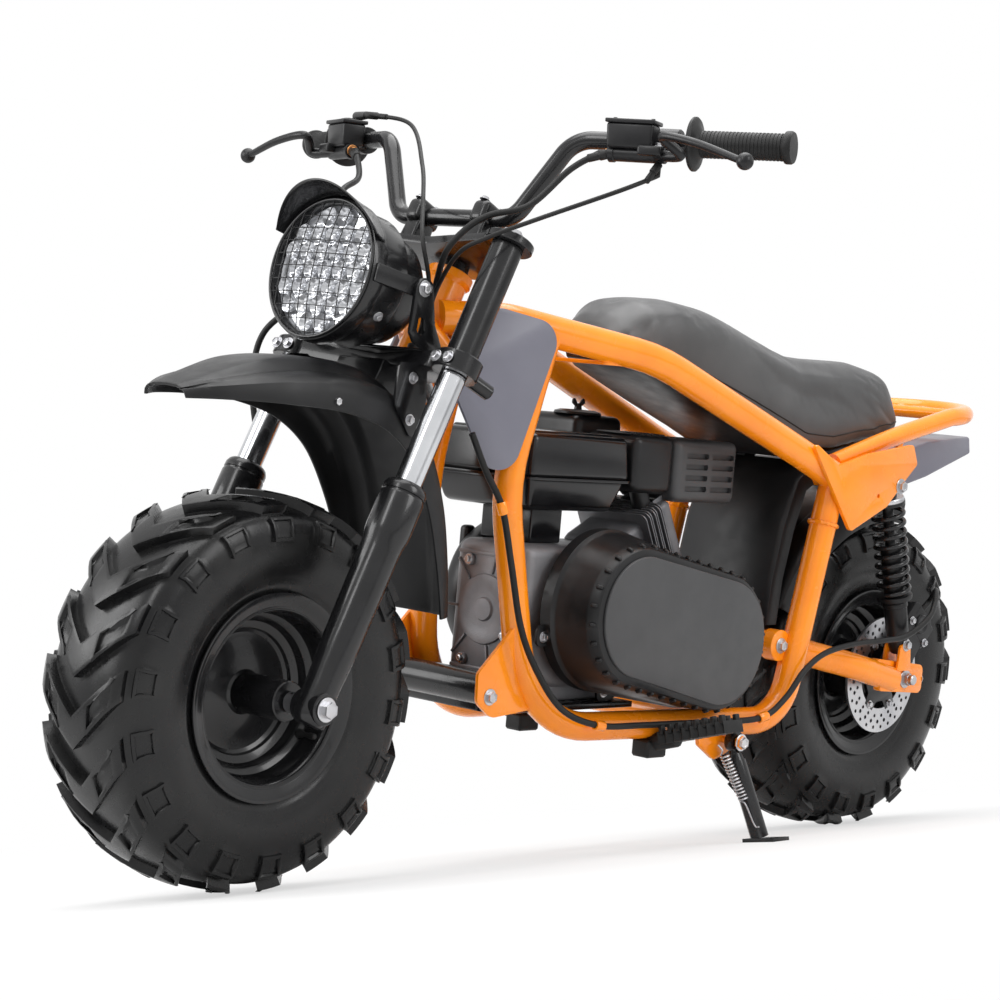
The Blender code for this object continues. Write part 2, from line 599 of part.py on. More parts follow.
# Rear rack: a loop tube behind the seat with two bars across.
RACK = [(0.205, 0.124, 0.550), (0.060, RACK_HALF, 0.592), (RACK_ARC_X, RACK_HALF, 0.628)]
half_turn = [(RACK_ARC_X - RACK_HALF * math.sin(a), RACK_HALF * math.cos(a), 0.628 + 0.010 * math.sin(a))
             for a in [math.pi * i / 9 for i in range(10)]]
rack_path = [Vector(p) for p in RACK[:2] + half_turn + [(x, -y, z) for x, y, z in reversed(RACK[:2])]]
rack = tube("rear_rack", rack_path, RACK_R)
bars = [rod("bar_a", (0.040, -RACK_HALF, 0.5860), (0.040, RACK_HALF, 0.5860), 0.009, 12),
        rod("bar_b", (-0.115, -0.114, 0.631), (-0.115, 0.114, 0.631), 0.009, 12)]
bars.append(rod("cross", (HIGH_CROSS[1], -HIGH_CROSS[3], HIGH_CROSS[2]), (HIGH_CROSS[1], HIGH_CROSS[3], HIGH_CROSS[2]), HIGH_CROSS[4], 12))
rack = join(rack, *bars)
cutters = [tube("rail_cut_" + side, bent(mirrored(RAIL, sign)), RAIL_R + GAP) for side, sign in SIDES]
cutters += [tube("loop_cut_" + side, bent(mirrored(LOOP, sign)), LOOP_R + GAP) for side, sign in SIDES]
keep(cut(rack, *cutters), ORANGE)

# Seat: one long pad, low where the rider sits and raised for a second, on its base pan.
# Rows are x, bottom z, top z, half width at the bottom, half width at the shoulder.
SEAT_ROWS = ((0.614, 0.688, 0.712, 0.040, 0.028), (0.600, 0.682, 0.730, 0.062, 0.048), (0.562, 0.671, 0.752, 0.080, 0.066),
             (0.510, 0.656, 0.756, 0.090, 0.076), (0.430, 0.630, 0.744, 0.097, 0.083), (0.330, 0.598, 0.715, 0.101, 0.088),
             (0.245, 0.568, 0.692, 0.104, 0.092), (0.180, 0.566, 0.690, 0.105, 0.094), (0.080, 0.586, 0.692, 0.104, 0.090),
             (0.034, 0.5975, 0.690, 0.101, 0.084), (0.012, 0.6035, 0.680, 0.096, 0.074), (0.004, 0.6120, 0.664, 0.088, 0.062))
sections = []
for x, low, top, wide, shoulder in SEAT_ROWS:
    edge = min(0.028, (top - low) * 0.45)
    half = [(wide, low), (wide, low + edge * 0.4), (shoulder + 0.008, top - edge), (shoulder - 0.012, top - edge * 0.35),
            (shoulder - 0.045, top - edge * 0.05) if shoulder > 0.05 else (shoulder * 0.4, top - edge * 0.1)]
    ring = [(x, y, z) for y, z in half] + [(x, -y, z) for y, z in reversed(half)]
    sections.append(ring)
keep(loft("seat", sections), VINYL, smooth=60)
pan_rows = [row for row in SEAT_ROWS if 0.07 < row[0] < 0.61]
pan = []
for x, low, top, wide, shoulder in pan_rows:
    w = wide - 0.010
    pan.append([(x, w, low - 0.0005), (x, -w, low - 0.0005), (x, -w + 0.006, low - 0.016), (x, w - 0.006, low - 0.016)])
feet = [box(f"foot_{s}", (0.024, 0.040, 0.018), (0.190, s * 0.055, 0.5413 + 0.009)) for s in (-1, 1)]
keep(join(loft("seat_pan", pan), *feet), SATIN)

# Tail wedge behind the seat and the inner fender over the rear tyre.
ARCH_R = 0.272
ARCH_Z = AXLE_Z + ARCH_R
tail_rows = ((-0.010, ARCH_Z - 0.0033, 0.560, 0.070), (-0.100, 0.535, 0.588, 0.080), (-0.235, 0.574, 0.600, 0.066))
tail = [[(x, w, low), (x, w - 0.004, top), (x, -w + 0.004, top), (x, -w, low)] for x, low, top, w in tail_rows]
keep(loft("tail_fender", tail), GREY)
arch = []
for deg in (-8, 12, 32, 50, 68):
    a = math.radians(deg)
    c, s = math.sin(a), math.cos(a)
    ring = []
    for y, drop in ((0.088, 0.045), (0.090, 0.010), (0.078, 0.0), (-0.078, 0.0), (-0.090, 0.010), (-0.088, 0.045),
                    (-0.085, 0.045), (-0.087, 0.012), (-0.076, 0.003), (0.076, 0.003), (0.087, 0.012), (0.085, 0.045)):
        r = ARCH_R - drop
        ring.append((c * r, y, AXLE_Z + s * r))
    arch.append(ring)
to_tube = Vector((HIGH_CROSS[1], 0, HIGH_CROSS[2] - AXLE_Z))
reach = to_tube.length - HIGH_CROSS[4] - GAP
stay = box("stay", (reach - ARCH_R + 0.002, 0.060, 0.006), ((reach + ARCH_R - 0.002) / 2, 0, 0))
stay.matrix_basis = Matrix.Translation((0, 0, AXLE_Z)) @ Matrix.Rotation(-math.atan2(to_tube.z, to_tube.x), 4, "Y")
keep(join(loft("inner_fender", arch), settled(stay)), PLASTIC)

# Number plates that cover the triangles behind the fork.
PLATE_CORNERS = ((0.872, 0.718, 0.012), (0.778, 0.702, 0.030), (0.835, 0.508, 0.030), (0.872, 0.520, 0.010), (0.935, 0.630, 0.012))
for side, sign in SIDES:
    flat = plate(f"number_plate_{side}", [rounded(PLATE_CORNERS)], 0.004)
    flat.matrix_basis = Matrix.Rotation(math.pi / 2, 4, "X")
    settled(flat)
    flat.data.transform(Matrix.Translation((0, sign * 0.1021, 0)))
    for vert in flat.data.vertices:
        vert.co.y -= sign * 0.28 * (vert.co.x - 0.778)
    keep(flat, GREY)

# Engine: crankcase, finned cylinder, tank, muffler and air cleaner, on a plate between the rails.
floor_plate = box("engine_plate", (0.2700, 0.178, 0.008), (0.6950, 0.0, 0.2126))
front_web = box("front_web", (0.030, 0.120, 0.020), (0.818, 0.0, 0.2200))
cutters = [tube("loop_cut_" + side, bent(mirrored(LOOP, sign)), LOOP_R + GAP) for side, sign in SIDES]
front_tube = rod("front_cross_tube", (FRONT_CROSS[1], -FRONT_CROSS[3], FRONT_CROSS[2]), (FRONT_CROSS[1], FRONT_CROSS[3], FRONT_CROSS[2]),
                 FRONT_CROSS[4], 16)
keep(join(cut(floor_plate, *cutters), front_tube, front_web), SATIN)
CASE_SIZE, CASE_AT = (0.222, 0.130, 0.190), (0.652, -0.001, 0.3245)
case = box("engine_block", CASE_SIZE, CASE_AT, 0.014, 1)
pad = box("pad", (0.236, 0.120, 0.0251), (0.650, 0.0, 0.22945), 0.002)
boss = rod("boss", (CRANK[0], 0.050, CRANK[1]), (CRANK[0], COVER_IN - GAP, CRANK[1]), 0.060, 18)
cyl_dir = Vector((-math.cos(math.radians(28)), 0, math.sin(math.radians(28))))
cyl_at = Vector((CASE_AT[0] - CASE_SIZE[0] / 2, -0.001, 0.392))
cyl = box("cylinder", (0.100, 0.100, 0.094), (0.0, 0.0, 0.0), 0.004)
fins = [box(f"fin_{i}", (0.0035, 0.128, 0.118), (0.012 + i * 0.0095, 0, 0), 0.0) for i in range(4)]
fins.append(box("head", (0.026, 0.110, 0.104), (0.060, 0, 0), 0.006))
cyl = join(cyl, *fins)
CYL_PLACE = Matrix.Translation(cyl_at + cyl_dir * 0.030) @ Matrix.Rotation(math.radians(180 + 28), 4, "Y")
cyl.matrix_basis = CYL_PLACE
settled(cyl)
cylinder_space = box("cylinder_space", (0.146 + 2 * GAP, 0.128 + 2 * GAP, 0.118 + 2 * GAP), (0.0, 0.0, 0.0))
cylinder_space.matrix_basis = CYL_PLACE
settled(cylinder_space)
keep(join(case, pad, boss, cyl), ALLOY)
# The tank is wider above its seam flange; the air cleaner with its wing nut stands behind it.
tank = box("fuel_tank", (0.196, 0.186, 0.062), (0.6665, -0.034, 0.5330), 0.014, 2)
lower_tank = box("lower_tank", (0.184, 0.174, 0.060), (0.6665, -0.034, 0.4940), 0.012, 1)
seam = box("seam", (0.204, 0.194, 0.0035), (0.6665, -0.034, 0.5060))
stay = box("stay", (0.060, 0.090, 0.0605), (0.690, -0.02, 0.4500))
cleaner = box("air_cleaner", (0.096, 0.100, 0.110), (0.5250, -0.0880, 0.5380), 0.010, 1)
lid = rod("lid", (0.540, -0.070, 0.5925), (0.540, -0.070, 0.5965), 0.030, 14)
wing = rod("wing_stud", (0.540, -0.070, 0.596), (0.540, -0.070, 0.606), 0.005, 8)
wings = box("wings", (0.026, 0.004, 0.009), (0.540, -0.070, 0.6065))
link = box("link", (0.030, 0.060, 0.050), (0.5700, -0.0900, 0.5300))
keep(join(tank, lower_tank, seam, stay, link, cleaner, lid, wing, wings), SATIN)
muffler = box("muffler", (0.0820, 0.096, 0.078), (0.5215, 0.0125, 0.531), 0.010, 2)
pipe = rod("pipe", (0.515, 0.030, 0.500), (0.500, 0.030, 0.450), 0.013)
keep(cut(join(muffler, pipe), cylinder_space), SATIN)
guard = box("muffler_guard", (0.1345, 0.104, 0.086), (0.41295, 0.012, 0.525), 0.010, 2)
slots = [box(f"slot_{r}_{c}", (0.030, 0.008, 0.006), (0.392 + 0.040 * c, 0.064, 0.497 + 0.0145 * r)) for r in range(4) for c in range(2)]
keep(cut(guard, *slots), COVER_GREY)
keep(turned("recoil_starter", [(0.0, 0.0), (0.098, 0.0), (0.100, 0.006), (0.096, 0.030), (0.070, 0.046), (0.0, 0.048)], 24),
     SATIN, BIKE, location=(0.650, CASE_AT[1] - CASE_SIZE[1] / 2 - GAP, 0.345), rotation=(math.pi / 2, 0, 0))


def wrap(front, front_r, rear, rear_r, count=12):
    """Flat (x, z) outline of a belt round two wheels of different radius."""
    front, rear = Vector((front[0], 0, front[1])), Vector((rear[0], 0, rear[1]))
    along = (rear - front).normalized()
    up = Vector((along.z, 0, -along.x))
    lean = math.asin((front_r - rear_r) / (rear - front).length)
    ring = []
    for centre, r, start, sweep in ((front, front_r, math.pi / 2 - lean, math.pi + 2 * lean),
                                    (rear, rear_r, -math.pi / 2 + lean, math.pi - 2 * lean)):
        for i in range(count + 1):
            a = start + sweep * i / count
            ring.append((centre.x + r * (math.cos(a) * along.x + math.sin(a) * up.x),
                         centre.z + r * (math.cos(a) * along.z + math.sin(a) * up.z)))
    return ring


JACKSHAFT = (0.468, 0.303)


def stadium(y, front_r, rear_r):
    """Outline of the belt cover at one depth."""
    return [(x, y, z) for x, z in wrap((CRANK[0], CRANK[1] + 0.004), front_r, JACKSHAFT, rear_r)]


# Rows are depth, front radius, rear radius.
COVER_ROWS = ((COVER_IN, 0.107, 0.098), (0.096, 0.107, 0.098), (0.100, 0.102, 0.096), (0.146, 0.094, 0.094), (0.158, 0.090, 0.092),
              (COVER_OUT - 0.004, 0.080, 0.085))
keep(loft("belt_cover", [stadium(*row) for row in COVER_ROWS]), SATIN, smooth=40)
keep(loft("belt_cover_face", [stadium(COVER_OUT - 0.004 + GAP, 0.079, 0.084), stadium(COVER_OUT, 0.077, 0.082)]), COVER_GREY)

# Drive chain on the right: a plain band with the jackshaft and its small sprocket.
CHAIN_R = SPROCKET_R + 0.0015
outer = wrap(JACKSHAFT, 0.036, (0.0, AXLE_Z), CHAIN_R + 0.009, 10)
inner = wrap(JACKSHAFT, 0.027, (0.0, AXLE_Z), CHAIN_R, 10)
chain = plate("drive_chain", [outer, inner], 0.009)
chain.matrix_basis = Matrix.Translation((0, SPROCKET_Y, 0)) @ Matrix.Rotation(math.pi / 2, 4, "X")
shaft = rod("jackshaft", (JACKSHAFT[0], COVER_IN - GAP, JACKSHAFT[1]), (JACKSHAFT[0], SPROCKET_Y - 0.010, JACKSHAFT[1]), 0.010, 12)
small = rod("small_sprocket", (JACKSHAFT[0], SPROCKET_Y - 0.003, JACKSHAFT[1]), (JACKSHAFT[0], SPROCKET_Y + 0.003, JACKSHAFT[1]), 0.029, 16)
keep(join(settled(chain), shaft, small), STEEL)

# Foot pegs on brackets under the lower rails.
for side, sign in SIDES:
    peg = rod(f"foot_peg_{side}", (0.548, sign * 0.120, 0.166), (0.548, sign * 0.160, 0.178), 0.0125, 12)
    comb = []
    for i in range(8):
        comb += [(0.145 + 0.014 * i, 0.020), (0.145 + 0.014 * (i + 0.5), 0.0135)]
    comb.append((0.257, 0.020))
    teeth_bar = plate("teeth", [[(x, y * sign) for y, x in comb] + [(-x, y * sign) for y, x in reversed(comb)]], 0.016)
    teeth_bar.matrix_basis = Matrix.Translation((0.548, 0, 0.187)) @ Matrix.Rotation(sign * 0.290, 4, "X") @ Matrix.Translation(
        (0, -sign * 0.010, -0.052))
    mount = box("mount", (0.040, 0.030, 0.024), (0.548, sign * 0.115, 0.158), 0.003)
    peg = join(peg, settled(teeth_bar), mount)
    keep(cut(peg, tube("loop_cut", bent(mirrored(LOOP, sign)), LOOP_R + GAP)), RUBBER)

# Side stand: bracket, leg with its foot flat on the floor, and return spring.
ROUND_ROWS = [(y, r + LUG_H) for y, r in TREAD_ROWS]
LIFT = max(y * math.sin(LEAN) + r * math.cos(LEAN) for y, r in ROUND_ROWS) - AXLE_Z * math.cos(LEAN)


def floor_z(y):
    """Height of the floor in the upright bike's axes, under a point y to the left."""
    return (y * math.sin(LEAN) - LIFT) / math.cos(LEAN)


bracket = plate("stand_bracket", [rounded(((0.470, 0.180, 0.004), (0.395, 0.182, 0.004), (0.396, 0.150, 0.012),
                                           (0.430, 0.138, 0.010), (0.466, 0.160, 0.006)))], 0.006)
bracket.matrix_basis = Matrix.Translation((0, STAND_PIVOT[1] - 0.0210, 0)) @ Matrix.Rotation(math.pi / 2, 4, "X")
settled(bracket)
bolt = rod("stand_bolt", (STAND_PIVOT[0], STAND_PIVOT[1] - 0.021, STAND_PIVOT[2]),
           (STAND_PIVOT[0], STAND_PIVOT[1] + 0.012, STAND_PIVOT[2]), 0.0050, 12)
head = rod("stand_bolt_head", (STAND_PIVOT[0], STAND_PIVOT[1] + 0.0085, STAND_PIVOT[2]),
           (STAND_PIVOT[0], STAND_PIVOT[1] + 0.0145, STAND_PIVOT[2]), 0.0095, 6)
bracket = join(bracket, bolt, head)
keep(cut(bracket, tube("loop_cut", bent(mirrored(LOOP, 1)), LOOP_R + GAP)), ORANGE)

foot = Vector((STAND_FOOT[0], STAND_FOOT[1], 0))
foot.z = floor_z(foot.y) + 0.004
knee = Vector((STAND_PIVOT[0] - 0.004, STAND_PIVOT[1] + 0.004, STAND_PIVOT[2] - 0.026))
leg = tube("side_stand_leg", [knee, foot + (foot - knee).normalized() * -0.002], STAND_R, 12)
fork = rod("fork_end", (STAND_PIVOT[0], STAND_PIVOT[1] - 0.006, STAND_PIVOT[2]),
           (STAND_PIVOT[0], STAND_PIVOT[1] + 0.006, STAND_PIVOT[2]), 0.0140, 16)
neck = rod("neck", (STAND_PIVOT[0] - 0.001, STAND_PIVOT[1], STAND_PIVOT[2] - 0.006), knee, 0.0058, 12, 0.0120)
sole = box("sole", (0.036, 0.052, 0.005), (0, 0, 0.0025))
sole.matrix_basis = (Matrix.Translation((foot.x, foot.y + 0.010, floor_z(foot.y + 0.010)))
                     @ Matrix.Rotation(LEAN, 4, "X"))
leg = join(leg, fork, neck, settled(sole))
leg = cut(leg, rod("pivot_cut", (STAND_PIVOT[0], 0.1, STAND_PIVOT[2]), (STAND_PIVOT[0], 0.2, STAND_PIVOT[2]), 0.0053, 12))
leg.data.transform(Matrix.Translation([-c for c in STAND_PIVOT]))
keep(leg, BLACK, STAND_AXIS)

# Fork: sliders and chromed stanchions on each side, joined by two clamps.
for side, sign in SIDES:
    slider = turned(f"fork_slider_{side}", [(0.0, -0.022), (0.016, -0.022), (0.021, -0.012), (0.021, 0.030), (0.0235, 0.080),
                                            (SLIDER_R - 0.003, 0.205), (SLIDER_R, 0.225), (SLIDER_R, SLIDER_TOP - 0.008),
                                            (SLIDER_R - 0.005, SLIDER_TOP), (0.0, SLIDER_TOP)], 16)
    slider = cut(slider, rod("axle_cut", (0, -0.06, 0), (0, 0.06, 0), AXLE_R + GAP, 16))
    if sign < 0:
        caliper = box("front_caliper", (0.060, 0.046, 0.046), (-0.014, FORK_HALF - 0.104, 0.086), 0.006)
        slider = cut(join(slider, caliper), rod("disc_cut", (0, FORK_HALF - DISC_Y - 0.0035, 0), (0, FORK_HALF - DISC_Y + 0.0035, 0),
                                                DISC_R + 0.003, 24))
    keep(slider, BLACK, STEER, location=(FORK_OFFSET, sign * FORK_HALF, 0))
    keep(rod(f"stanchion_{side}", (0, 0, SLIDER_TOP + GAP), (0, 0, LOW_CLAMP - 0.010 - GAP), STANCHION_R, 16), CHROME, STEER,
         location=(FORK_OFFSET, sign * FORK_HALF, 0))
axle = rod("front_axle", (0, -0.172, 0), (0, 0.172, 0), AXLE_R, 12)
nuts = [rod(f"nut_{s}", (0, s * (FORK_HALF + 0.0215 + GAP), 0), (0, s * 0.170, 0), 0.0115, 6) for s in (-1, 1)]
spacers = [rod(f"spacer_{s}", (0, s * 0.1010, 0), (0, s * (FORK_HALF - 0.0215), 0), 0.0125, 12) for s in (-1, 1)]
keep(join(axle, *nuts, *spacers), STEEL, FRONT_AXIS)

# Front fender: an arched shell with a beak and a raised spine, hung under the lower clamp.
# Rows are x and z of the crown line, half width, how far the skirt hangs and the spine's height.
FENDER_ROWS = ((1.330, 0.590, 0.034, 0.012, 0.000), (1.290, 0.600, 0.062, 0.020, 0.004), (1.215, 0.614, 0.086, 0.034, 0.012),
               (1.125, 0.618, 0.095, 0.044, 0.014), (1.045, 0.600, 0.096, 0.048, 0.014), (0.985, 0.554, 0.093, 0.046, 0.010),
               (0.945, 0.480, 0.090, 0.040, 0.006), (0.925, 0.400, 0.086, 0.030, 0.003), (0.914, 0.332, 0.080, 0.020, 0.000))
WALL = 0.0035


def fender_shell(name, lift, wall):
    """The fender's shell about the steering axis' origin, or the space under it for a cut."""
    shell = []
    for i, (x, z, w, skirt, spine) in enumerate(FENDER_ROWS):
        before = FENDER_ROWS[max(0, i - 1)]
        after = FENDER_ROWS[min(len(FENDER_ROWS) - 1, i + 1)]
        along = Vector((after[0] - before[0], 0, after[1] - before[1])).normalized()
        inward = Vector((-along.z, 0, along.x))
        if inward.z > 0 and x > 1.0 or inward.x < 0 and x <= 1.0:
            inward = -inward
        outer = [(w, skirt), (w - 0.003, skirt * 0.40), (w * 0.60, 0.001), (w * 0.42, -spine)]
        inner = [(w * 0.42 - WALL * 0.4, wall - spine), (w * 0.60 - WALL * 0.4, wall + 0.001),
                 (w - 0.003 - WALL, skirt * 0.40 + wall * 0.7), (w - WALL, skirt)]
        line = outer + [(-y, d) for y, d in reversed(outer)]
        line += [(-y, d) for y, d in reversed(inner)] + inner
        shell.append([tuple(Vector((x, y, z)) + inward * (d - lift) - STEER_AT) for y, d in line])
    return loft(name, shell)


keep(fender_shell("front_fender", 0.0, WALL), PLASTIC, STEER_LEVEL)

low = plate("lower_clamp", [rounded(((0.085, 0.120, 0.012), (0.040, 0.125, 0.012), (0.028, 0.058, 0.020), (-0.028, 0.024, 0.012),
                                     (-0.028, -0.024, 0.012), (0.028, -0.058, 0.020), (0.040, -0.125, 0.012),
                                     (0.085, -0.120, 0.012), (0.060, 0.0, 0.05)))], 0.020)
extra = []
for side, sign in SIDES:
    extra.append(rod("eye_" + side, (FORK_OFFSET, sign * FORK_HALF, -0.010), (FORK_OFFSET, sign * FORK_HALF, 0.014), 0.0290, 14))
    extra.append(rod("sleeve_" + side, (FORK_OFFSET, sign * FORK_HALF, 0), (FORK_OFFSET, sign * FORK_HALF, TOP_CLAMP - LOW_CLAMP - 0.005 - GAP),
                     SLEEVE_R, 14))
    extra.append(rod("stop_" + side, (0.035, sign * 0.128, 0.004), (-0.006, sign * 0.142, 0.0), 0.0095, 8))
extra.append(box("fender_block", (0.040, 0.080, 0.060), (0.062, 0.0, -0.035)))
TO_STEER = Matrix.Rotation(RAKE, 4, "Y") @ Matrix.Translation(-STEER_AT)
for side, sign in SIDES:
    hanger = plate("hanger_" + side, [rounded(((1.012, 0.640, 0.004), (1.058, 0.640, 0.006), (1.062, 0.590, 0.010), (1.030, 0.548, 0.010),
                                               (1.008, 0.565, 0.010)))], 0.004)
    hanger.matrix_basis = (Matrix.Translation((0, 0, -LOW_CLAMP)) @ TO_STEER @ Matrix.Translation((0, sign * 0.0985, 0))
                           @ Matrix.Rotation(math.pi / 2, 4, "X"))
    extra.append(settled(hanger))
extra.append(rod("bearing", (0, 0, 0), (0, 0, HEAD_LOW - LOW_CLAMP - 0.0004), 0.024, 14))
low = join(low, *extra)
under = fender_shell("fender_space", GAP, 0.050)
under.matrix_basis = Matrix.Translation((0, 0, -LOW_CLAMP)) @ Matrix.Rotation(RAKE, 4, "Y")
low = cut(low, settled(under))
keep(low, BLACK, STEER, location=(0, 0, LOW_CLAMP))

# Handlebar: one bent tube. Rows are x, y, z along the steering axes and the bend radius.
BAR_BEND, BAR_TIP = Vector((0.044, 0.160, 0.768)), Vector((-0.044, 0.409, 0.813))
BAR = ((0.031, 0.100, 0.661, 0.035), (*BAR_BEND, 0.045), tuple(BAR_TIP))
BAR_WAY = BAR_TIP - BAR_BEND
SWEEP = math.atan2(-BAR_WAY.x * math.cos(RAKE) + BAR_WAY.z * math.sin(RAKE), BAR_WAY.y)


def on_bar(y, sign):
    """Point of the bar's straight outer part, y out from the middle."""
    spot = BAR_BEND + BAR_WAY * ((y - BAR_BEND.y) / BAR_WAY.y)
    return Vector((spot.x, sign * spot.y, spot.z))


def control_place(sign):
    """Level axes round the bar where the controls clamp: x forwards, y along the bar, z up."""
    turn = Matrix.Rotation(RAKE, 4, "Y") @ Matrix.Rotation(sign * SWEEP, 4, "Z")
    return Matrix.Translation(on_bar(CONTROL_Y, sign)) @ turn


CONTROL_Y = 0.246
MASTER_Z = -0.018

BAR_PATH = bent([(x, -y, z, *r) for x, y, z, *r in reversed(BAR)] + list(BAR))
BAR_AT = (0.031, 0.661)
top = plate("handlebar", [rounded(((0.078, 0.125, 0.015), (0.042, 0.128, 0.010), (0.000, 0.080, 0.020), (-0.030, 0.040, 0.015),
                                   (-0.030, -0.040, 0.015), (0.000, -0.080, 0.020), (0.042, -0.128, 0.010), (0.078, -0.125, 0.015),
                                   (0.060, 0.0, 0.05)))], 0.010)
top.data.transform(Matrix.Translation((0, 0, TOP_CLAMP)))
extra = [rod("stem", (0, 0, HEAD_TOP + 0.0004), (0, 0, TOP_CLAMP), 0.020, 12)]
for sign in (1, -1):
    extra.append(rod(f"eye_{sign}", (FORK_OFFSET, sign * FORK_HALF, TOP_CLAMP - 0.005), (FORK_OFFSET, sign * FORK_HALF, TOP_CLAMP + 0.005),
                     0.031, 16))
    extra.append(rod(f"cap_{sign}", (FORK_OFFSET, sign * FORK_HALF, TOP_CLAMP), (FORK_OFFSET, sign * FORK_HALF, TOP_CLAMP + 0.012), 0.012, 6))
    extra.append(box(f"riser_{sign}", (0.030, 0.024, 0.046), (0.029, sign * 0.056, TOP_CLAMP + 0.024)))
    extra.append(box(f"riser_cap_{sign}", (0.044, 0.024, 0.032), (BAR_AT[0], sign * 0.056, BAR_AT[1] + 0.002), 0.006))
    for x in (0.015, 0.047):
        extra.append(rod(f"riser_bolt_{sign}", (x, sign * 0.056, BAR_AT[1]), (x, sign * 0.056, BAR_AT[1] + 0.026), 0.0042, 6))
keep(join(top, tube("bar", BAR_PATH, BAR_R), *extra), BLACK, STEER)

for side, sign in SIDES:
    inner, outer = on_bar(0.300, sign), on_bar(BAR_TIP.y, sign)
    way = (outer - inner).normalized()
    grip = rod(f"grip_{side}", inner, outer + way * 0.004, GRIP_R, 12)
    flange = rod("flange", inner, inner + way * 0.006, 0.0330, 20)
    knob = rod("knob", outer - way * 0.002, outer + way * 0.008, 0.0200, 12)
    grip = join(grip, flange, knob)
    grip = cut(grip, rod("bar_cut", inner - way * 0.02, outer + way * 0.0006, BAR_R + GAP + 0.0002, 12))
    keep(grip, RUBBER, STEER)
    # Brake lever, its clamp on the bar and the fluid reservoir.
    place = control_place(sign)
    unit = box(f"brake_control_{side}", (0.032, 0.058, 0.030), (0.030, -sign * 0.008, 0.004), 0.003)
    more = [box("pot_lid", (0.036, 0.062, 0.005), (0.030, -sign * 0.008, 0.0205)),
            rod("master", (0.030, -sign * 0.034, MASTER_Z), (0.030, sign * 0.036, MASTER_Z), 0.0095, 10),
            rod("clamp", (0, -sign * 0.012, 0), (0, sign * 0.044, 0), 0.0178, 14)]
    if sign < 0:
        more += [rod("post", (0, -0.030, 0.010), (0, -0.030, 0.036), 0.0060, 8), rod("elbow", (0, -0.036, 0.034), (0, 0.002, 0.034), 0.0065, 8)]
    unit = join(unit, *more)
    unit.matrix_basis = place
    settled(unit)
    lever_pts = [place @ Vector((0.032, sign * 0.022, MASTER_Z)), place @ Vector((0.050, sign * 0.060, MASTER_Z)),
                 Vector((0.056, sign * 0.362, 0.7570)), Vector((0.042, sign * 0.424, 0.743))]
    lever = tube("lever", lever_pts, 0.0058, 8)
    ball = bmesh.new()
    bmesh.ops.create_uvsphere(ball, u_segments=8, v_segments=6, radius=0.0103)
    bmesh.ops.translate(ball, vec=(0.040, sign * 0.4305, 0.7426), verts=ball.verts[:])
    unit = join(unit, lever, mesh_object("ball", ball))
    unit = cut(unit, tube("bar_cut", BAR_PATH, BAR_R + GAP))
    keep(unit, SATIN, STEER)

# Headlamp: bowl with a visor, its lens, and the plates that hang it from the fork.
LAMP_AT = Vector((0.1845, 0, 0.4964))
LAMP_TILT = math.radians(14)
LENS_R = 0.081
TO_LAMP = Matrix.Translation(LAMP_AT) @ Matrix.Rotation(LAMP_TILT + math.pi / 2, 4, "Y")
bowl = turned("headlamp_bowl", [(0.0, -0.118), (0.046, -0.114), (0.066, -0.095), (0.071, -0.058), (0.083, -0.052), (0.084, -0.012),
                                (0.089, -0.010), (0.089, 0.010), (LENS_R + GAP, 0.012), (LENS_R + GAP, -0.0065), (0.0, -0.0105)], 24)
visor_ring = ((0.0880, -0.006), (0.0915, -0.006), (0.0990, 0.052), (0.0965, 0.052))
visor = bmesh.new()
verts = [visor.verts.new((-r * math.cos(math.radians(62)), -r * math.sin(math.radians(62)), z)) for r, z in visor_ring]
face = visor.faces.new(verts)
bmesh.ops.spin(visor, geom=[face], cent=(0, 0, 0), axis=(0, 0, -1), angle=math.radians(124), steps=8, use_duplicate=False)
visor = mesh_object("visor", visor)
for vert in visor.data.vertices:
    if vert.co.z > 0.01:
        vert.co.z *= 0.35 + 0.65 * max(0.0, -vert.co.x / math.hypot(vert.co.x, vert.co.y) - 0.45) / 0.55
straps = [box(f"strap_{sign}", (0.022, 0.0052, 0.090), (0.0, sign * 0.0904, -0.036), 0.0) for sign in (1, -1)]
bowl = join(bowl, visor, *straps)
bowl.data.transform(TO_LAMP)
LAMP_PLATE = ((0.034, 0.4513, 0.003), (0.100, 0.4513, 0.006), (0.112, 0.458, 0.006), (0.131, 0.510, 0.008), (0.126, 0.527, 0.010),
              (0.108, 0.527, 0.010), (0.080, 0.486, 0.012))
LAMP_HOLE = ((0.085, 0.464, 0.005), (0.103, 0.464, 0.005), (0.116, 0.504, 0.005))
pieces = [box("strap_base", (0.043, 0.190, 0.004), (0.0565, 0.0, LOW_CLAMP + 0.010 + GAP + 0.002))]
for side, sign in SIDES:
    flat = plate("side_" + side, [rounded(LAMP_PLATE), rounded(LAMP_HOLE)], 0.0045)
    flat.matrix_basis = Matrix.Translation((0, sign * 0.0955, 0)) @ Matrix.Rotation(math.pi / 2, 4, "X")
    pieces.append(settled(flat))
    pieces.append(rod("bolt_" + side, (0.1178, sign * 0.087, 0.5143), (0.1178, sign * 0.1030, 0.5143), 0.0085, 6))
keep(join(bowl, *pieces), BLACK, STEER)
keep(turned("headlamp_lens", [(0.0, -0.010), (LENS_R, -0.006), (LENS_R, 0.002), (0.060, 0.0065), (0.0, 0.0095)], 24),
     LENS, STEER, location=LAMP_AT, rotation=(0, LAMP_TILT + math.pi / 2, 0))
# Stone guard: a round grid of wires that lies on the lamp's front ring.
MESH_PITCH, WIRE_W = 0.0230, 0.0022
grid = [disc_outline(0.0875, 24)]
ring = disc_outline(0.0830, 20)


def polygon_area(points):
    return abs(sum(a[0] * b[1] - b[0] * a[1] for a, b in zip(points, points[1:] + points[:1]))) / 2


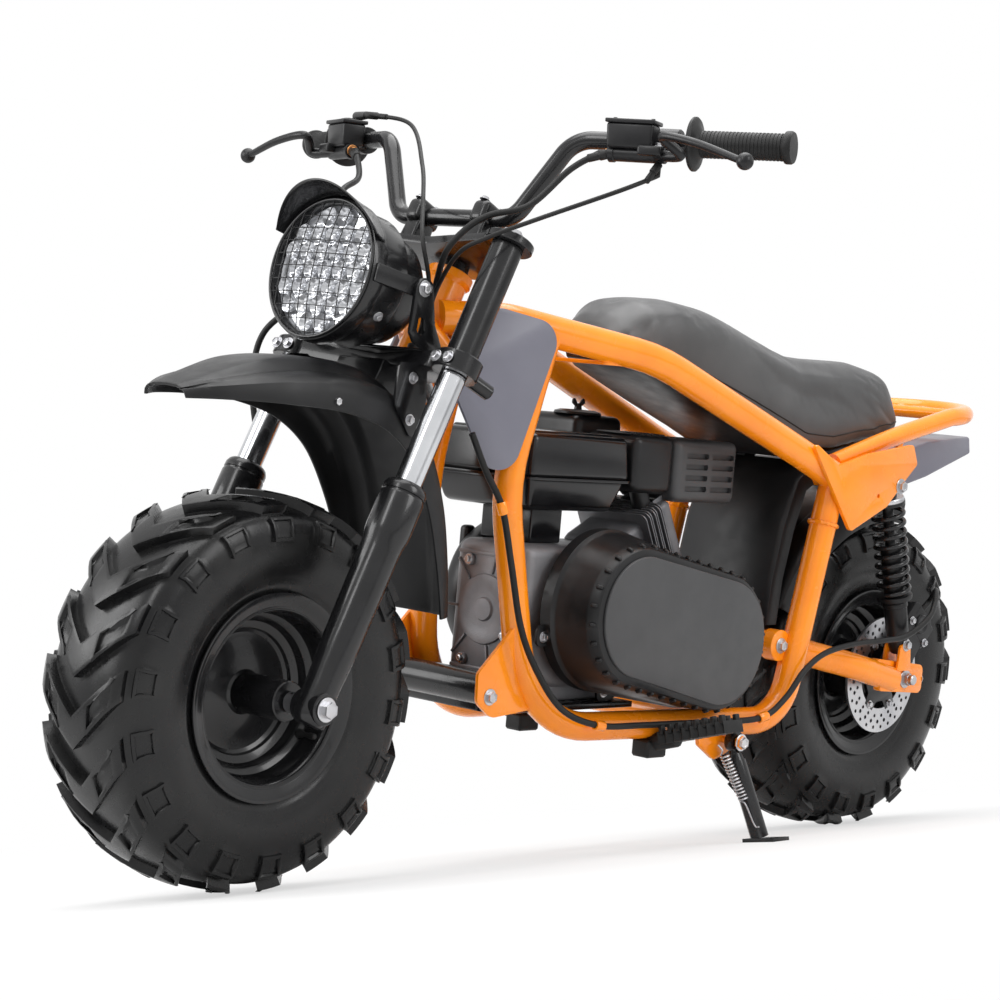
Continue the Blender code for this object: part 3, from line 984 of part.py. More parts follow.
def within(cell, outline):
    """The part of a convex cell that lies inside a convex outline."""
    for (ax, ay), (bx, by) in zip(outline, outline[1:] + outline[:1]):
        kept = []
        for (px, py), (qx, qy) in zip(cell, cell[1:] + cell[:1]):
            sp = (bx - ax) * (py - ay) - (by - ay) * (px - ax)
            sq = (bx - ax) * (qy - ay) - (by - ay) * (qx - ax)
            if sp >= 0:
                kept.append((px, py))
            if sp * sq < 0:
                t = sp / (sp - sq)
                kept.append((px + t * (qx - px), py + t * (qy - py)))
        cell = kept
        if not cell:
            return []
    return cell


half_cell = (MESH_PITCH - WIRE_W) / 2
for row in range(-3, 4):
    for col in range(-3, 4):
        cx, cy = row * MESH_PITCH, col * MESH_PITCH
        cell = within([(cx - half_cell, cy - half_cell), (cx + half_cell, cy - half_cell), (cx + half_cell, cy + half_cell),
                       (cx - half_cell, cy + half_cell)], ring)
        if len(cell) > 2 and polygon_area(cell) > 0.00004:
            grid.append(cell)
guard = plate("headlamp_guard", grid, 0.0016)
guard.data.transform(Matrix.Translation((0, 0, 0.0123 + 0.0008)))
keep(guard, BLACK, STEER, location=LAMP_AT, rotation=(0, LAMP_TILT + math.pi / 2, 0))

# Hoses and cables held by the bars: their routes along the steering axes, meeting at one clip in front of the head.
CLIP = Vector((0.046, 0.045, 0.467))
LEFT, RIGHT = control_place(1), control_place(-1)
ROUTES = {"hose": (LEFT @ Vector((0.030, -0.0343, MASTER_Z)), LEFT @ Vector((0.030, -0.048, MASTER_Z)), (0.060, 0.189, 0.716),
                   (0.075, 0.164, 0.657), (0.090, 0.122, 0.633), (0.095, 0.098, 0.610), (0.092, 0.078, 0.578),
                   (0.062, 0.052, 0.545), (0.051, 0.047, 0.505)),
          "cable": (LEFT @ Vector((0.030, 0.028, MASTER_Z - 0.0098)), LEFT @ Vector((0.030, 0.028, MASTER_Z - 0.024)), (0.056, 0.275, 0.690),
                    (0.092, 0.200, 0.6270), (0.106, 0.148, 0.592), (0.103, 0.112, 0.572), (0.064, 0.058, 0.545), (0.051, 0.049, 0.500)),
          "throttle": (RIGHT @ Vector((0, 0.0023, 0.034)), RIGHT @ Vector((0, 0.020, 0.034)), (0.035, -0.1455, 0.795),
                       (0.060, -0.064, 0.720), (0.075, -0.018, 0.660), (0.084, 0.019, 0.602), (0.060, 0.036, 0.552), (0.050, 0.042, 0.505))}
cables = rod("control_cables", CLIP + Vector((0, 0, 0.006)), CLIP - Vector((0, 0, 0.0113)), 0.0105, 10)
tubes = [tube(name, [route[0]] + smooth_route(route[1:] + (tuple(CLIP),), 14), 0.0040, 6) for name, route in ROUTES.items()]
keep(join(cables, *tubes), RUBBER, STEER)
FRONT_HOSE = (RIGHT @ Vector((0.030, 0.0343, MASTER_Z)), RIGHT @ Vector((0.030, 0.048, MASTER_Z)), (0.060, -0.170, 0.700),
              (0.100, -0.140, 0.655), (0.112, -0.112, 0.600), (0.098, -0.112, 0.520), (0.094, -0.176, 0.450), (0.064, -0.184, 0.380),
              (0.028, -0.160, 0.300), (0.030, -0.124, 0.200), (0.040, -0.110, 0.132), (0.040, -0.110, 0.1093))
front_path = [FRONT_HOSE[0]] + smooth_route(FRONT_HOSE[1:-1], 24) + [Vector(FRONT_HOSE[-1])]
keep(tube("front_brake_hose", front_path, 0.0040, 6), RUBBER, STEER)
# Rear brake hose, clipped to the left frame loop all the way.
keep(tube("rear_brake_hose", REAR_HOSE_PATH, HOSE_R, 6), RUBBER)


# The root stands the leaning bike on the floor with its box centred over the origin.
bpy.context.view_layer.update()
BIKE.location = (0, 0, LIFT)
depsgraph = bpy.context.evaluated_depsgraph_get()
depsgraph.update()
lowest, highest = Vector((9, 9, 9)), Vector((-9, -9, -9))
for obj in PARTS.objects:
    if obj.type != "MESH":
        continue
    world = obj.evaluated_get(depsgraph).matrix_world
    for vert in obj.data.vertices:
        p = world @ vert.co
        lowest = Vector(map(min, lowest, p))
        highest = Vector(map(max, highest, p))
BIKE.location = (-(lowest.x + highest.x) / 2, -(lowest.y + highest.y) / 2, LIFT - lowest.z)
bpy.context.view_layer.update()
print("bike root at", tuple(round(c, 5) for c in BIKE.location), "box", [round(c, 4) for c in highest - lowest])
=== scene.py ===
"""Looks of a small off-road motorcycle that stands on its side stand.

Each sub-assembly is a class: its fields are sizes in metres, and its methods shape and dress its pieces.
Points are measured on the upright bike (rear axle over x = 0, y to the rider's left) or along the steering
axes, and a Place turns them into the shared frame.
"""

from __future__ import annotations

import logging
from dataclasses import dataclass
from enum import Enum
from math import asin, atan2, ceil, cos, hypot, pi, radians, sin, sqrt, tan
from typing import Callable, Iterable, Sequence

import bpy
import numpy as np
from mathutils import Matrix, Vector


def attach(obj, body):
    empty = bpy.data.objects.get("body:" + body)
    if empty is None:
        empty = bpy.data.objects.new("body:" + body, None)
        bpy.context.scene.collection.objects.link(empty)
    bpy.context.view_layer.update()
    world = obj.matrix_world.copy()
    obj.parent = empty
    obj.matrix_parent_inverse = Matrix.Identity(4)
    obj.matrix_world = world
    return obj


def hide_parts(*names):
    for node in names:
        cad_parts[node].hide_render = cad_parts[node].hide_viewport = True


logging.basicConfig(level=logging.INFO, format="%(name)s: %(message)s")
log = logging.getLogger("minibike")

Colour = tuple[float, float, float]
Point = Sequence[float]
Object = bpy.types.Object
TURN = 2 * pi

ROOT = (-0.59455, -0.18004, 0.00536)
LEAN = radians(11.5)
RAKE = radians(25.0)
WHEELBASE = 1.19
AXLE_Z = 0.2385
FORK_OFFSET = 0.06
FORK_HALF = 0.1406
GAP = 0.0003
MERGE = 0.00001


def shift(way: Point) -> Matrix:
    """Moves by a vector."""
    return Matrix.Translation(way)


def turned(angle: float, axis: str) -> Matrix:
    """Turns about an axis."""
    return Matrix.Rotation(angle, 4, axis)


class Body(Enum):
    """The moving bodies that pieces ride on."""

    FRAME = "frame"
    STEERING = "steering"
    FRONT_WHEEL = "front_wheel"
    REAR_WHEEL = "rear_wheel"
    STAND = "side_stand"


class Slot(Enum):
    """The material slots of the record."""

    ORANGE = "orange_paint"
    GLOSS = "gloss_black_paint"
    SATIN = "satin_black"
    PLASTIC = "dark_plastic"
    PLATE = "plate_grey"
    COVER = "cover_grey"
    RUBBER = "rubber"
    TYRE = "tyre_rubber"
    CHROME = "chrome"
    STEEL = "bright_steel"
    ALLOY = "cast_alloy"
    VINYL = "seat_vinyl"
    LENS = "lamp_lens"


class Pattern(Enum):
    """What the small relief of a finish looks like."""

    FINE = "fine"
    LEATHER = "leather"
    CAST = "cast"


class Place:
    """Axes in which pieces are measured, each as a matrix into the shared frame."""

    STEER_AT = Vector((WHEELBASE - FORK_OFFSET * cos(RAKE), 0, AXLE_Z - FORK_OFFSET * sin(RAKE)))
    BIKE = shift(ROOT) @ turned(-LEAN, "X")
    REAR = BIKE @ shift((0, 0, AXLE_Z)) @ turned(-pi / 2, "X")
    STEER = BIKE @ shift(STEER_AT) @ turned(-RAKE, "Y")
    FRONT = STEER @ shift((FORK_OFFSET, 0, 0)) @ turned(-pi / 2, "X")
    LAMP = STEER @ shift((0.1845, 0, 0.4964)) @ turned(radians(14) + pi / 2, "Y")


# Finishes


@dataclass(frozen=True)
class Finish:
    """One kind of surface.

    Attributes:
        slot: The record's slot that it stands for.
        base: Main colour, and tint the one it drifts to.
        rough: Lowest and highest roughness.
        relief: Depth of the small relief, in metres.
        relief_scale: Its fineness, and drift_scale that of the colour's drift.
    """

    slot: Slot
    base: Colour
    tint: Colour
    rough: tuple[float, float]
    metal: float = 0.0
    coat: float = 0.0
    specular: float = 0.5
    relief: float = 0.00005
    relief_scale: float = 900.0
    drift_scale: float = 14.0
    pattern: Pattern = Pattern.FINE
    name: str = ""

    def material(self) -> bpy.types.Material:
        """Returns the material, made on first use."""
        label = self.name or self.slot.value
        found = bpy.data.materials.get("look_" + label)
        return found or self._make("look_" + label)

    def _make(self, label: str) -> bpy.types.Material:
        """Builds the node tree.

        Args:
            label: Name of the new material.

        Returns:
            The material.
        """
        mat = bpy.data.materials.new(label)
        mat.use_nodes = True
        tree = mat.node_tree
        shader = tree.nodes["Principled BSDF"]
        coords = add(tree, "ShaderNodeTexCoord")
        drift = add(tree, "ShaderNodeGroup", node_tree=surface_group())
        relief = add(tree, "ShaderNodeGroup", node_tree=relief_group(self.pattern))
        bump = add(tree, "ShaderNodeBump")
        preset(drift, {"Base": (*self.base, 1), "Tint": (*self.tint, 1), "Scale": self.drift_scale,
            "Rough Low": self.rough[0], "Rough High": self.rough[1]})
        preset(relief, {"Scale": self.relief_scale})
        preset(bump, {"Strength": 1.0, "Distance": self.relief})
        preset(shader, {"Metallic": self.metal, "Coat Weight": self.coat, "Coat Roughness": 0.04,
            "Specular IOR Level": self.specular})
        wire(tree, (coords, "Object", drift, "Vector"), (coords, "Object", relief, "Vector"),
            (relief, "Height", bump, "Height"), (bump, "Normal", shader, "Normal"),
            (drift, "Colour", shader, "Base Color"), (drift, "Roughness", shader, "Roughness"))
        return mat


def add(tree: bpy.types.NodeTree, kind: str, **settings: object) -> bpy.types.Node:
    """Adds a node with its settings to a tree."""
    node = tree.nodes.new(kind)
    for field, value in settings.items():
        setattr(node, field, value)
    return node


def preset(node: bpy.types.Node, values: dict[str | int, object]) -> None:
    """Sets a node's inputs by name or number."""
    for socket, value in values.items():
        node.inputs[socket].default_value = value


def wire(tree: bpy.types.NodeTree, *links: tuple[bpy.types.Node, str | int, bpy.types.Node,
        str | int]) -> None:
    """Joins a node's output to another's input, for each link."""
    for source, output, target, socket in links:
        tree.links.new(source.outputs[output], target.inputs[socket])


def new_group(name: str, inputs: dict[str, tuple[str, object]],
        outputs: dict[str, str]) -> bpy.types.NodeTree:
    """Starts a shader node group.

    Args:
        name: Name of the group.
        inputs: Socket type and default by input name.
        outputs: Socket type by output name.

    Returns:
        The group, with its input and output nodes.
    """
    tree = bpy.data.node_groups.new(name, "ShaderNodeTree")
    for label, (kind, default) in inputs.items():
        socket = tree.interface.new_socket(label, in_out="INPUT", socket_type=kind)
        if default is not None:
            socket.default_value = default
    for label, kind in outputs.items():
        tree.interface.new_socket(label, in_out="OUTPUT", socket_type=kind)
    tree.nodes.new("NodeGroupInput").name = "In"
    tree.nodes.new("NodeGroupOutput").name = "Out"
    return tree


def surface_group() -> bpy.types.NodeTree:
    """Colour drift and uneven gloss, shared by every finish."""
    name = "uneven_surface"
    if name in bpy.data.node_groups:
        return bpy.data.node_groups[name]
    tree = new_group(name, {"Vector": ("NodeSocketVector", None), "Base": ("NodeSocketColor", (1, 1, 1, 1)),
        "Tint": ("NodeSocketColor", (1, 1, 1, 1)), "Scale": ("NodeSocketFloat", 14.0),
        "Rough Low": ("NodeSocketFloat", 0.3), "Rough High": ("NodeSocketFloat", 0.4)},
        {"Colour": "NodeSocketColor", "Roughness": "NodeSocketFloat"})
    start, end = tree.nodes["In"], tree.nodes["Out"]
    noise, smear = add(tree, "ShaderNodeTexNoise"), add(tree, "ShaderNodeTexNoise")
    spread, gloss = add(tree, "ShaderNodeMapRange"), add(tree, "ShaderNodeMapRange")
    mix = add(tree, "ShaderNodeMix", data_type="RGBA")
    preset(noise, {"Detail": 5.0})
    preset(smear, {"Scale": 37.0, "Detail": 3.0})
    preset(spread, {"From Min": 0.38, "From Max": 0.66})
    preset(gloss, {"From Min": 0.3, "From Max": 0.7})
    wire(tree, (start, "Vector", noise, "Vector"), (start, "Scale", noise, "Scale"),
        (noise, "Fac", spread, "Value"), (start, "Base", mix, "A"), (start, "Tint", mix, "B"),
        (spread, "Result", mix, "Factor"), (start, "Vector", smear, "Vector"), (smear, "Fac", gloss, "Value"),
        (start, "Rough Low", gloss, "To Min"), (start, "Rough High", gloss, "To Max"),
        (mix, "Result", end, "Colour"), (gloss, "Result", end, "Roughness"))
    return tree


def relief_group(pattern: Pattern) -> bpy.types.NodeTree:
    """Height of the small relief: fine orange peel, leather grain or sand-cast grain.

    Args:
        pattern: Which relief.

    Returns:
        The node group.
    """
    name = "relief_" + pattern.value
    if name in bpy.data.node_groups:
        return bpy.data.node_groups[name]
    tree = new_group(name, {"Vector": ("NodeSocketVector", None), "Scale": ("NodeSocketFloat", 900.0)},
        {"Height": "NodeSocketFloat"})
    start, end = tree.nodes["In"], tree.nodes["Out"]
    if pattern is Pattern.LEATHER:
        grain, height = add(tree, "ShaderNodeTexVoronoi", feature="DISTANCE_TO_EDGE"), "Distance"
    else:
        cast = pattern is Pattern.CAST
        grain, height = add(tree, "ShaderNodeTexNoise"), "Fac"
        preset(grain, {"Detail": 6.0 if cast else 2.0, "Roughness": 0.7 if cast else 0.5})
    wire(tree, (start, "Vector", grain, "Vector"), (start, "Scale", grain, "Scale"),
        (grain, height, end, "Height"))
    return tree


ORANGE = Finish(Slot.ORANGE, (1.0, 0.29, 0.006), (0.94, 0.25, 0.004), (0.2, 0.3), coat=0.5, specular=0.3,
    relief=0.00002)
GLOSS = Finish(Slot.GLOSS, (0.006, 0.006, 0.0065), (0.01, 0.01, 0.011), (0.18, 0.3), coat=0.2, specular=0.3)
SATIN = Finish(Slot.SATIN, (0.006, 0.006, 0.0065), (0.011, 0.011, 0.012), (0.28, 0.42), specular=0.3)
TANK = Finish(Slot.SATIN, (0.005, 0.005, 0.006), (0.009, 0.009, 0.01), (0.14, 0.22), specular=0.4,
    name="tank_black")
PLASTIC = Finish(Slot.PLASTIC, (0.007, 0.007, 0.0075), (0.012, 0.012, 0.013), (0.34, 0.46), specular=0.28,
    relief=0.0001, relief_scale=1400)
PLATE = Finish(Slot.PLATE, (0.15, 0.149, 0.185), (0.165, 0.164, 0.2), (0.3, 0.4), relief=0.00006)
COVER = Finish(Slot.COVER, (0.04, 0.04, 0.042), (0.048, 0.048, 0.05), (0.4, 0.52), relief=0.00008)
RUBBER = Finish(Slot.RUBBER, (0.008, 0.008, 0.008), (0.014, 0.014, 0.014), (0.42, 0.58), specular=0.25,
    relief=0.0001)
TYRE = Finish(Slot.TYRE, (0.004, 0.004, 0.0045), (0.008, 0.008, 0.008), (0.2, 0.33), specular=0.3,
    relief=0.00009, relief_scale=700)
CHROME = Finish(Slot.CHROME, (0.66, 0.67, 0.69), (0.56, 0.57, 0.59), (0.1, 0.18), metal=1.0, relief=0.00001)
STEEL = Finish(Slot.STEEL, (0.56, 0.56, 0.57), (0.42, 0.42, 0.44), (0.24, 0.38), metal=1.0, relief=0.00003)
ALLOY = Finish(Slot.ALLOY, (0.21, 0.21, 0.22), (0.13, 0.13, 0.14), (0.36, 0.52), metal=0.3, relief=0.00035,
    relief_scale=420, pattern=Pattern.CAST)
VINYL = Finish(Slot.VINYL, (0.03, 0.03, 0.031), (0.044, 0.044, 0.045), (0.34, 0.46), specular=0.7,
    relief=0.00022, relief_scale=620, pattern=Pattern.LEATHER)
LENS = Finish(Slot.LENS, (0.66, 0.67, 0.69), (0.52, 0.53, 0.56), (0.08, 0.2), metal=0.6, coat=0.6,
    relief=0.00002)
BRASS = Finish(Slot.STEEL, (0.62, 0.28, 0.1), (0.5, 0.22, 0.08), (0.28, 0.4), metal=1.0, name="copper_washer")
CAP = Finish(Slot.ORANGE, (0.85, 0.09, 0.02), (0.75, 0.07, 0.02), (0.3, 0.4), name="filler_cap")


# Shaping by operators


def pick(*objs: Object) -> None:
    """Leaves object mode with only these objects selected; the first is active."""
    if bpy.context.mode != "OBJECT":
        bpy.ops.object.mode_set(mode="OBJECT")
    bpy.ops.object.select_all(action="DESELECT")
    for obj in objs:
        obj.select_set(True)
    if objs:
        bpy.context.view_layer.objects.active = objs[0]


def choose(obj: Object, flags: Sequence[bool]) -> None:
    """Opens a piece in edit mode with just the flagged faces selected."""
    pick(obj)
    mesh = obj.data
    for group in (mesh.vertices, mesh.edges, mesh.polygons):
        group.foreach_set("select", np.zeros(len(group), bool))
    bpy.context.tool_settings.mesh_select_mode = (False, False, True)
    mesh.polygons.foreach_set("select", flags)
    bpy.ops.object.mode_set(mode="EDIT")


def edit(obj: Object, test: Callable[[Vector, Vector], bool] | None = None) -> None:
    """Opens a piece in edit mode with faces selected.

    Args:
        obj: The piece.
        test: Accepts a face by its centre and normal; without it all faces are selected.
    """
    choose(obj, [test is None or bool(test(f.center, f.normal)) for f in obj.data.polygons])


def close(merge: float = 0.0) -> Object:
    """Ends edit mode; with a merge distance the doubles go first and the normals are made to agree.

    Args:
        merge: Distance under which points are merged.

    Returns:
        The piece.
    """
    if merge:
        bpy.ops.mesh.select_all(action="SELECT")
        bpy.ops.mesh.remove_doubles(threshold=merge)
        bpy.ops.mesh.normals_make_consistent(inside=False)
    bpy.ops.object.mode_set(mode="OBJECT")
    return bpy.context.view_layer.objects.active


def lathe(name: str, profile: Sequence[Point], steps: int = 40) -> Object:
    """Turns a profile about Z.

    Args:
        name: Name of the piece.
        profile: Rows of radius and height.
        steps: Steps round the axis.

    Returns:
        The turned piece.
    """
    pick()
    bpy.ops.mesh.primitive_plane_add(size=0.01)
    obj = bpy.context.object
    obj.name = name
    bpy.context.tool_settings.mesh_select_mode = (True, False, False)
    bpy.ops.object.mode_set(mode="EDIT")
    bpy.ops.mesh.select_all(action="SELECT")
    bpy.ops.mesh.merge(type="CENTER")
    at = Vector((0, 0, 0))
    for i, (r, z) in enumerate(profile):
        step = Vector((r, 0, z)) - at
        if i == 0:
            bpy.ops.transform.translate(value=step)
        else:
            bpy.ops.mesh.extrude_region_move(TRANSFORM_OT_translate={"value": step})
        at = Vector((r, 0, z))
    bpy.ops.mesh.select_all(action="SELECT")
    bpy.ops.mesh.spin(steps=steps, angle=TURN, center=(0, 0, 0), axis=(0, 0, 1))
    return close(MERGE)


def traced(name: str, lines: Sequence[Sequence[Point]], closed: bool, radii: Sequence[float] | None = None,
        **settings: object) -> Object:
    """Makes a mesh from lines through a curve.

    Args:
        name: Name of the piece.
        lines: Rows of flat or spatial points.
        closed: Whether each line closes on itself.
        radii: A factor on the bevel for each point.
        settings: Settings of the curve.

    Returns:
        The mesh.
    """
    pick()
    bpy.ops.curve.primitive_nurbs_path_add()
    obj = bpy.context.object
    obj.name = name
    obj.data.splines.clear()
    for field, value in settings.items():
        setattr(obj.data, field, value)
    for line in lines:
        spline = obj.data.splines.new("POLY")
        spline.points.add(len(line) - 1)
        for i, (point, co) in enumerate(zip(spline.points, line)):
            point.co = (*Vector(co[:3]).to_3d(), 1.0)
            point.radius = radii[i] if radii else 1.0
        spline.use_cyclic_u = closed
    bpy.ops.object.convert(target="MESH")
    edit(bpy.context.object)
    return close(MERGE)


def tube(name: str, points: Iterable[Point], radius: float, sides: int = 20, closed: bool = False,
        radii: Sequence[float] | None = None) -> Object:
    """Sweeps a round section along points.

    Args:
        name: Name of the piece.
        points: The centre line.
        radius: Radius of the section.
        sides: Sides of the section.
        closed: Whether the line closes on itself.
        radii: A factor on the radius for each point.

    Returns:
        The tube as a mesh.
    """
    return traced(name, [list(points)], closed, radii, dimensions="3D", bevel_depth=radius,
        bevel_resolution=max(0, (sides - 4) // 2), use_fill_caps=not closed)


def plate(name: str, outlines: Sequence[Sequence[Point]], thickness: float, bevel: float = 0.0008,
        upright: bool = False, y: float = 0.0) -> Object:
    """Cuts a flat plate with holes and softens its edges.

    Args:
        name: Name of the piece.
        outlines: The edge first, then the holes, as closed rows of points.
        thickness: Thickness, centred on the plane.
        bevel: Width of the softened edge.
        upright: Whether the outline is given as x and z, and the plate stands at y.
        y: Where an upright plate stands.

    Returns:
        The plate as a mesh.
    """
    obj = traced(name, outlines, True, dimensions="2D", fill_mode="BOTH", extrude=thickness / 2)
    if upright:
        move(obj, shift((0, y, 0)) @ turned(pi / 2, "X"))
    return soften(obj, bevel) if bevel else obj


def block(name: str, size: Point, centre: Point = (0, 0, 0), bevel: float = 0.002, segments: int = 3,
        taper: float = 1.0) -> Object:
    """Shapes a block with rounded edges.

    Args:
        name: Name of the piece.
        size: Its three sizes.
        centre: Its centre.
        bevel: Radius of the edges.
        segments: Steps round an edge.
        taper: Factor on the top face.

    Returns:
        The block.
    """
    pick()
    bpy.ops.mesh.primitive_cube_add(size=1.0)
    obj = bpy.context.object
    obj.name = name
    edit(obj, lambda c, n: n.z > 0.9)
    if taper != 1.0:
        bpy.ops.transform.resize(value=(taper, taper, 1.0))
    bpy.ops.mesh.select_all(action="SELECT")
    bpy.ops.transform.resize(value=tuple(size), center_override=(0, 0, 0))
    bpy.ops.mesh.bevel(offset=bevel, segments=segments, affect="EDGES")
    bpy.ops.transform.translate(value=tuple(centre))
    return close()


def skin(name: str, rows: Sequence[Sequence[Point]], wrap: bool = False) -> Object:
    """Lays a grid over rows of points.

    Args:
        name: Name of the piece.
        rows: Rows of equally many points.
        wrap: Whether each row closes on itself, which also closes both ends.

    Returns:
        The sheet, or the closed skin.
    """
    rows = [list(row) + [row[0]] for row in rows] if wrap else [list(row) for row in rows]
    wide, deep = len(rows[0]), len(rows)
    pick()
    bpy.ops.mesh.primitive_grid_add(x_subdivisions=wide - 1, y_subdivisions=deep - 1, size=1.0)
    obj = bpy.context.object
    obj.name = name
    flat = [c for row in rows for p in row for c in p[:3]]
    obj.data.vertices.foreach_set("co", flat)
    obj.data.update()
    edit(obj)
    if wrap:
        bpy.ops.mesh.remove_doubles(threshold=MERGE)
        bpy.context.tool_settings.mesh_select_mode = (False, True, False)
        bpy.ops.mesh.select_all(action="DESELECT")
        bpy.ops.mesh.select_non_manifold()
        bpy.ops.mesh.edge_face_add()
    return close(MERGE)


def rod(name: str, start: Point, end: Point, radius: float, radius_end: float | None = None, steps: int = 28,
        chamfer: float = 0.0008) -> Object:
    """Turns a straight bar between two points with broken edges.

    Args:
        name: Name of the piece.
        start: One end.
        end: The other end.
        radius: Radius at the start.
        radius_end: Radius at the end, the same where it is left out.
        steps: Steps round.
        chamfer: Width of the broken edge.

    Returns:
        The bar.
    """
    a, b = Vector(start), Vector(end)
    span = (b - a).length
    far = radius if radius_end is None else radius_end
    c = min(chamfer, radius / 2, far / 2, span / 3)
    obj = lathe(name, ((0, 0), (radius - c, 0), (radius, c), (far, span - c), (far - c, span), (0, span)),
        steps)
    return move(obj, shift(a) @ facing(b - a))


def modify(obj: Object, kind: str, **settings: object) -> Object:
    """Applies a modifier of a kind with these settings."""
    mod = obj.modifiers.new("step", kind)
    for field, value in settings.items():
        setattr(mod, field, value)
    return apply(obj, mod)


def apply(obj: Object, mod: bpy.types.Modifier) -> Object:
    """Applies a modifier that is already set up."""
    pick(obj)
    bpy.ops.object.modifier_apply(modifier=mod.name)
    return obj


def soften(obj: Object, width: float, segments: int = 2, angle: float = 35.0) -> Object:
    """Rounds a piece's sharp edges with an applied bevel."""
    return modify(obj, "BEVEL", width=width, segments=segments, limit_method="ANGLE",
        angle_limit=radians(angle))


def thicken(obj: Object, wall: float, offset: float = -1.0) -> Object:
    """Gives a sheet its wall."""
    return modify(obj, "SOLIDIFY", thickness=wall, offset=offset)


def cut(obj: Object, tool: Object) -> Object:
    """Cuts a tool out of a piece and drops the tool."""
    modify(obj, "BOOLEAN", operation="DIFFERENCE", object=tool, solver="EXACT")
    drop(tool)
    return obj


def join(*objs: Object) -> Object:
    """Puts several meshes into the first."""
    pick(*objs)
    if len(objs) > 1:
        bpy.ops.object.join()
    return objs[0]


def linked(name: str, data: bpy.types.ID) -> Object:
    """A new object of the scene that shows a mesh, lamp or camera."""
    obj = bpy.data.objects.new(name, data)
    bpy.context.scene.collection.objects.link(obj)
    return obj


def copy(obj: Object, matrix: Matrix, name: str = "copy") -> Object:
    """A copy with its own mesh, moved by a matrix."""
    return move(linked(name, obj.data.copy()), matrix)


def move(obj: Object, matrix: Matrix) -> Object:
    """Moves a piece's mesh by a matrix; a mirrored one has its faces turned back."""
    obj.data.transform(matrix)
    if matrix.determinant() < 0:
        obj.data.flip_normals()
    return obj


def of_node(node: str, name: str) -> Object:
    """A merged copy of a solid's mesh, in the shared frame."""
    edit(linked(name, FRAME["nodes"][node].data.copy()))
    bpy.ops.mesh.remove_doubles(threshold=0.00002)
    bpy.ops.mesh.tris_convert_to_quads()
    return close()


def drop(*objs: Object) -> None:
    """Removes helper objects."""
    for obj in objs:
        bpy.data.objects.remove(obj, do_unlink=True)


def facing(way: Point) -> Matrix:
    """Turns Z to a direction."""
    return Vector((0, 0, 1)).rotation_difference(Vector(way)).to_matrix().to_4x4()


def dress(obj: Object, finish: Finish, body: Body, *stands_for: str, smooth: float = 35.0) -> Object:
    """Gives a finished piece its finish, its body and the solids that it stands for.

    Args:
        obj: The piece, already in the shared frame.
        finish: Its finish.
        body: The body that it rides on.
        stands_for: Names of the solids that it replaces.
        smooth: Angle under which its faces shade as one.

    Returns:
        The piece.
    """
    pick(obj)
    bpy.ops.object.shade_smooth_by_angle(angle=radians(smooth))
    obj.data.materials.clear()
    obj.data.materials.append(finish.material())
    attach(obj, body.value)
    if stands_for:
        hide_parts(*stands_for)
    log.info("%s: %d faces", obj.name, len(obj.data.polygons))
    return obj


# Lines and outlines


def bent(corners: Sequence[Point], step: float = 0.12) -> list[Vector]:
    """Centre line of a bent tube: straight runs joined by arcs.

    Args:
        corners: Rows of x, y, z and, for a bend, its radius.
        step: Largest turn between two points, in radians.

    Returns:
        The points.
    """
    rows = [tuple(c) + (0.0,) * (4 - len(c)) for c in corners]
    pts = [Vector(rows[0][:3])]
    for before, at, after in zip(rows, rows[1:], rows[2:]):
        corner = Vector(at[:3])
        back = (Vector(before[:3]) - corner).normalized()
        ahead = (Vector(after[:3]) - corner).normalized()
        half = back.angle(ahead) / 2
        if at[3] <= 0 or half > radians(89):
            pts.append(corner)
            continue
        reach = at[3] / tan(half)
        centre = corner + (back + ahead).normalized() * at[3] / sin(half)
        start, end = corner + back * reach - centre, corner + ahead * reach - centre
        turn = pi - 2 * half
        count = max(2, ceil(turn / step))
        axis = start.cross(end).normalized()
        pts += [centre + Matrix.Rotation(turn * i / count, 3, axis) @ start for i in range(count + 1)]
    pts.append(Vector(rows[-1][:3]))
    return pts


def between(a: Vector, b: Vector, c: Vector, d: Vector, t: float) -> Vector:
    """A point between b and c on the smooth curve through four, t of the way."""
    return 0.5 * (2 * b + (c - a) * t + (2 * a - 5 * b + 4 * c - d) * t * t
        + (3 * b - a - 3 * c + d) * t ** 3)


def smooth_route(points: Sequence[Point], count: int) -> list[Vector]:
    """Points of one smooth curve through a few route points."""
    pts = [Vector(p[:3]) for p in points]
    pts = [2 * pts[0] - pts[1]] + pts + [2 * pts[-1] - pts[-2]]
    spans = len(pts) - 3
    out = []
    for i in range(count + 1):
        s = min(i * spans / count, spans - 1e-6)
        k, t = int(s), s - int(s)
        a, b, c, d = pts[k:k + 4]
        out.append(between(a, b, c, d, t))
    return out


def rounded(corners: Sequence[Point], step: float = 0.22) -> list[tuple[float, float]]:
    """A closed flat outline with rounded corners, from rows of x, y and radius."""
    out = []
    count = len(corners)
    for i, (x, y, r) in enumerate(corners):
        corner = Vector((x, y))
        back = (Vector(corners[i - 1][:2]) - corner).normalized()
        ahead = (Vector(corners[(i + 1) % count][:2]) - corner).normalized()
        if r <= 0:
            out.append((x, y))
            continue
        half = back.angle(ahead) / 2
        centre = corner + (back + ahead).normalized() * r / sin(half)
        start = corner + back * r / tan(half) - centre
        end = corner + ahead * r / tan(half) - centre
        sweep = atan2(start.x * end.y - start.y * end.x, start.dot(end))
        parts = max(2, ceil(abs(sweep) / step))
        for k in range(parts + 1):
            a = sweep * k / parts
            out.append((centre.x + start.x * cos(a) - start.y * sin(a),
                centre.y + start.x * sin(a) + start.y * cos(a)))
    return out


